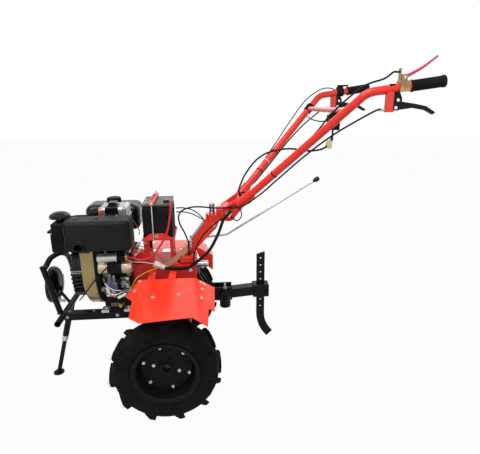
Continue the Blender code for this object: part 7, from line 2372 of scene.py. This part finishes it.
    def _engine_wires(self) -> None:
        """Lay the loose wires and their plugs round the engine."""
        self.wires(
            "wire_yellow", 0.0020, Finishes.CABLE_YELLOW,
            [
                (0.004, -0.102, 0.604), (-0.040, -0.125, 0.606), (-0.085, -0.165, 0.604),
                (-0.118, -0.205, 0.597), (-0.140, -0.200, 0.560), (-0.166, -0.170, 0.516),
            ],
        )
        self.wires(
            "wires_blue", 0.0024, Finishes.CABLE_BLUE,
            [
                (-0.236, -0.176, 0.566), (-0.226, -0.182, 0.546), (-0.212, -0.182, 0.526),
                (-0.196, -0.176, 0.514),
            ],
            [
                (-0.242, -0.176, 0.560), (-0.230, -0.184, 0.540), (-0.216, -0.180, 0.522),
                (-0.200, -0.172, 0.508),
            ], [(-0.182, -0.170, 0.668), (-0.165, -0.150, 0.690), (-0.150, -0.128, 0.706)],
        )
        self.wires(
            "wires_red", 0.0019, Finishes.CABLE_RED,
            [
                (-0.252, -0.178, 0.520), (-0.232, -0.186, 0.504), (-0.206, -0.182, 0.498),
                (-0.186, -0.174, 0.506),
            ],
            [
                (-0.186, -0.180, 0.676), (-0.170, -0.160, 0.694), (-0.152, -0.136, 0.712),
                (-0.110, -0.100, 0.704), (-0.060, -0.098, 0.676), (-0.004, -0.102, 0.624),
            ],
        )
        self.wires(
            "wires_black", 0.0028, Finishes.CABLE,
            [
                (-0.392, -0.140, 0.470), (-0.350, -0.205, 0.524), (-0.300, -0.216, 0.588),
                (-0.250, -0.212, 0.640), (-0.206, -0.190, 0.672),
            ],
            [
                (-0.180, -0.180, 0.668), (-0.150, -0.160, 0.650), (-0.120, -0.130, 0.632),
                (-0.080, -0.098, 0.622), (-0.040, -0.096, 0.616),
            ],
            [
                (-0.184, -0.176, 0.690), (-0.160, -0.150, 0.712), (-0.146, -0.120, 0.740),
                (-0.144, -0.112, 0.790),
            ],
        )
        self.wires(
            "wire_brown", 0.0020, Finishes.CABLE_BROWN,
            [
                (-0.128, -0.134, 0.836), (-0.116, -0.120, 0.806), (-0.108, -0.112, 0.780),
                (-0.112, -0.106, 0.760),
            ],
        )
        self.wires(
            "wires_white", 0.0017, Finishes.WHITE,
            [
                (0.002, -0.104, 0.606), (-0.040, -0.112, 0.620), (-0.090, -0.124, 0.634),
                (-0.140, -0.150, 0.650), (-0.178, -0.172, 0.668),
            ],
        )
        plugs = [
            self._plug((-0.256, -0.182, 0.548), (-0.246, -0.186, 0.518), 0.0075),
            self._plug((-0.212, -0.182, 0.494), (-0.178, -0.172, 0.508), 0.0075),
            self._plug((-0.052, -0.122, 0.628), (-0.010, -0.112, 0.602), 0.0150),
            self._plug((-0.146, -0.118, 0.720), (-0.140, -0.112, 0.748), 0.0080),
            self._plug((-0.160, -0.122, 0.686), (-0.150, -0.116, 0.712), 0.0070),
        ]
        self.piece("wire_plugs", plugs, Finishes.WHITE)

    def _handle_wires(self) -> None:
        """Lay the thin cables and wires of the handlebar."""
        bar = Handlebar.sizes
        self.wires(
            "throttle_cable", 0.0026, Finishes.CABLE,
            [
                (0.884, 0.340, 1.372), (0.840, 0.322, 1.386), (0.780, 0.300, 1.376),
                (0.700, 0.272, 1.322), (0.620, 0.252, 1.220), (0.540, 0.206, 1.116),
                (0.460, 0.150, 1.020), (0.400, 0.098, 0.950),
            ], body="handlebar",
        )
        for side in (Side.LEFT, Side.RIGHT):
            start = bar.straight(side, 0.06) + Vector((0, side.value * 0.030, -0.020))
            lead = [
                start + Vector((0.012, side.value * -0.003, 0.006)), start,
                (0.334, side.value * 0.098, 0.872), (0.312, side.value * 0.084, 0.866),
                (0.298, side.value * 0.072, 0.862),
            ]
            self.wires(
                f"clutch_cable_{side.name.lower()}_tail", 0.0032, Finishes.CABLE, lead,
                body="handlebar",
            )
        self.wires(
            "switch_wires", 0.0028, Finishes.CABLE,
            [
                (0.726, -0.130, 1.262), (0.716, -0.100, 1.244), (0.700, -0.040, 1.236),
                (0.690, 0.060, 1.240), (0.690, 0.160, 1.250), bar.straight(Side.RIGHT, 0.80),
            ],
            [
                (0.728, -0.140, 1.176), (0.724, -0.146, 1.160), (0.712, -0.150, 1.148),
                (0.704, -0.150, 1.140),
            ], body="handlebar",
        )

    def _column_wires(self) -> None:
        """Lay the wires round the column, the tilt joint, the tray and the pump."""
        self.wires(
            "column_wires", 0.0026, Finishes.CABLE,
            [
                (0.046, 0.010, 0.830), (0.075, 0.012, 0.829), (0.119, -0.004, 0.823),
                (0.165, -0.012, 0.800), (0.186, -0.020, 0.788),
            ],
            [
                (0.046, 0.020, 0.846), (0.080, 0.020, 0.846), (0.125, 0.004, 0.838),
                (0.160, -0.004, 0.812), (0.180, -0.012, 0.786),
            ],
        )
        self.wires(
            "tilt_loop", 0.0026, Finishes.CABLE,
            [
                (0.292, -0.071, 0.868), (0.318, -0.078, 0.872), (0.340, -0.082, 0.856),
                (0.346, -0.083, 0.828), (0.330, -0.080, 0.806), (0.308, -0.076, 0.812),
                (0.298, -0.072, 0.826),
            ], body="handlebar",
        )
        plugs = [
            self._plug((-0.126, -0.094, 0.700), (-0.112, -0.092, 0.722), 0.0075),
            self._plug((-0.122, -0.098, 0.676), (-0.108, -0.094, 0.694), 0.0065),
            self._plug((-0.140, -0.108, 0.664), (-0.124, -0.104, 0.672), 0.0060),
        ]
        self.piece("tray_wire_plugs", plugs, Finishes.WHITE)
        self.wires(
            "pump_wires_white", 0.0022, Finishes.WHITE,
            [
                (-0.262, -0.182, 0.566), (-0.244, -0.188, 0.548), (-0.222, -0.188, 0.536),
                (-0.196, -0.180, 0.528),
            ],
            [
                (-0.258, -0.180, 0.534), (-0.240, -0.190, 0.520), (-0.214, -0.188, 0.514),
                (-0.190, -0.178, 0.522),
            ],
        )
        clamp = [tube((0.110, -0.050, 0.700), (0.110, -0.036, 0.700), 0.008, 0.002, 24)]
        self.piece("cable_clamp", clamp, Finishes.ZINC)

    @staticmethod
    def _plug(start: Point, end: Point, half: float) -> Mesh:
        """Make a small stepped connector between two points."""
        first, last = Vector(start), Vector(end)
        middle = first.lerp(last, 0.55)
        return joined(
            [
                rod(first, middle, half, 4, bevel=0.001),
                rod(middle, last, half * 0.75, 4, bevel=0.001),
            ]
        )


@dataclass(frozen=True)
class Lamp:
    """A soft square lamp: where it hangs, what it points at, its side and its watts."""

    name: str
    place: Point
    target: Point
    size: float
    power: float

    def hang(self) -> None:
        """Hang the lamp in the scene."""
        data = bpy.data.lights.new(self.name, "AREA")
        data.size = self.size
        data.energy = self.power
        lamp = bpy.data.objects.new(self.name, data)
        way = Vector(self.target) - Vector(self.place)
        turn = way.to_track_quat("-Z", "Y").to_matrix().to_4x4()
        lamp.matrix_world = Matrix.Translation(self.place) @ turn
        bpy.context.scene.collection.objects.link(lamp)


@dataclass
class Studio:
    """Camera, light, floor and backdrop."""

    place: tuple[float, float, float] = (-0.02869067, -1.85632535, 1.31779184)
    yaw: float = 4.5913
    pitch: float = 16.9578
    roll: float = -0.348
    focal: float = 408.393
    width: int = 480
    sensor: float = 36.0
    sky: float = 0.36
    floor_half: float = 14.0
    floor_grey: float = 0.50
    floor_white: float = 0.97
    lamps: ClassVar[tuple[Lamp, ...]] = (
        Lamp("key_softbox", (-1.0, -1.5, 4.0), (0.0, 0.0, 0.6), 2.6, 135.0),
        Lamp("fill_softbox", (2.2, -2.6, 1.6), (0.1, 0.0, 0.7), 2.4, 22.0),
        Lamp("front_softbox", (-0.6, -3.8, 1.3), (0.0, 0.0, 0.5), 3.0, 16.0),
        Lamp("rear_softbox", (0.6, 2.6, 2.8), (0.0, 0.0, 0.7), 2.4, 24.0),
    )

    def build(self) -> None:
        """Set up the whole studio."""
        scene = bpy.context.scene
        scene.view_settings.view_transform = "Standard"
        self._camera(scene)
        self._world(scene)
        self._floor()
        for lamp in self.lamps:
            lamp.hang()
        LOG.info("studio is set")

    def _camera(self, scene: Scene) -> None:
        """Place the camera where the picture was taken from."""
        yaw, pitch, roll = (math.radians(value) for value in (self.yaw, self.pitch, self.roll))
        ahead = Vector((math.sin(yaw), math.cos(yaw), 0))
        look = ahead * math.cos(pitch) - Z_AXIS * math.sin(pitch)
        right = Vector((math.cos(yaw), -math.sin(yaw), 0))
        up = right.cross(look)
        level_right = right * math.cos(roll) + up * math.sin(roll)
        level_up = up * math.cos(roll) - right * math.sin(roll)
        data = bpy.data.cameras.new("camera")
        data.sensor_fit = "HORIZONTAL"
        data.sensor_width = self.sensor
        data.lens = self.sensor * self.focal / self.width
        data.clip_end = 100.0
        camera = bpy.data.objects.new("camera", data)
        turn = Matrix((level_right, level_up, -look)).transposed().to_4x4()
        camera.matrix_world = Matrix.Translation(self.place) @ turn
        scene.collection.objects.link(camera)
        scene.camera = camera

    @staticmethod
    def _white_rays(tree: NodeTree) -> NodeSocket:
        """Give 1 for rays that should see a white background."""
        rays = tree.nodes.new("ShaderNodeLightPath")
        white = rays.outputs["Is Camera Ray"]
        for kind in ("Is Glossy Ray", "Is Transmission Ray"):
            either = tree.nodes.new("ShaderNodeMath")
            either.operation = "MAXIMUM"
            tree.links.new(white, either.inputs[0])
            tree.links.new(rays.outputs[kind], either.inputs[1])
            white = either.outputs[0]
        return white

    def _world(self, scene: Scene) -> None:
        """Light the scene evenly, with a white background for the camera."""
        world = bpy.data.worlds.new("studio")
        scene.world = world
        world.use_nodes = True
        tree = world.node_tree
        tree.nodes.clear()
        soft = tree.nodes.new("ShaderNodeBackground")
        soft.inputs["Color"].default_value = (0.95, 0.97, 1.0, 1)
        soft.inputs["Strength"].default_value = self.sky
        white = tree.nodes.new("ShaderNodeBackground")
        white.inputs["Color"].default_value = (1, 1, 1, 1)
        white.inputs["Strength"].default_value = 1.0
        mix = tree.nodes.new("ShaderNodeMixShader")
        out = tree.nodes.new("ShaderNodeOutputWorld")
        tree.links.new(self._white_rays(tree), mix.inputs["Fac"])
        tree.links.new(soft.outputs[0], mix.inputs[1])
        tree.links.new(white.outputs[0], mix.inputs[2])
        tree.links.new(mix.outputs[0], out.inputs["Surface"])

    def _floor(self) -> None:
        """Lay a pale floor that keeps a faint shadow."""
        mesh = bpy.data.meshes.new("floor")
        size = self.floor_half
        mesh.from_pydata(
            [(-size, -size, 0), (size, -size, 0), (size, size, 0), (-size, size, 0)], [],
            [(0, 1, 2, 3)],
        )
        floor = bpy.data.objects.new("floor", mesh)
        bpy.context.scene.collection.objects.link(floor)
        material = bpy.data.materials.new("pale_floor")
        material.use_nodes = True
        tree = material.node_tree
        shader = tree.nodes["Principled BSDF"]
        shader.inputs["Base Color"].default_value = (*[self.floor_grey] * 3, 1)
        shader.inputs["Roughness"].default_value = 0.9
        shader.inputs["Specular IOR Level"].default_value = 0.1
        glow = tree.nodes.new("ShaderNodeEmission")
        glow.inputs["Color"].default_value = (1, 1, 1, 1)
        glow.inputs["Strength"].default_value = 1.0
        share = tree.nodes.new("ShaderNodeMath")
        share.operation = "MULTIPLY"
        share.inputs[1].default_value = self.floor_white
        mix = tree.nodes.new("ShaderNodeMixShader")
        tree.links.new(self._white_rays(tree), share.inputs[0])
        tree.links.new(share.outputs[0], mix.inputs["Fac"])
        tree.links.new(shader.outputs[0], mix.inputs[1])
        tree.links.new(glow.outputs[0], mix.inputs[2])
        tree.links.new(mix.outputs[0], tree.nodes["Material Output"].inputs["Surface"])
        mesh.materials.append(material)


def main() -> None:
    """Build the studio and every assembly."""
    logging.basicConfig(level=logging.INFO, format="%(name)s: %(message)s")
    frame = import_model()
    Studio().build()
    recipes = Recipes()
    order = (
        Wiring, Wheels, Gearbox, Engine, Exhaust, FrontFrame, BatteryBay, Fenders, Column,
        Handlebar, Hitch,
    )
    for assembly in order:
        LOG.info("building %s", assembly.__name__)
        assembly(recipes, frame).build()


if __name__ == "__main__":
    main()
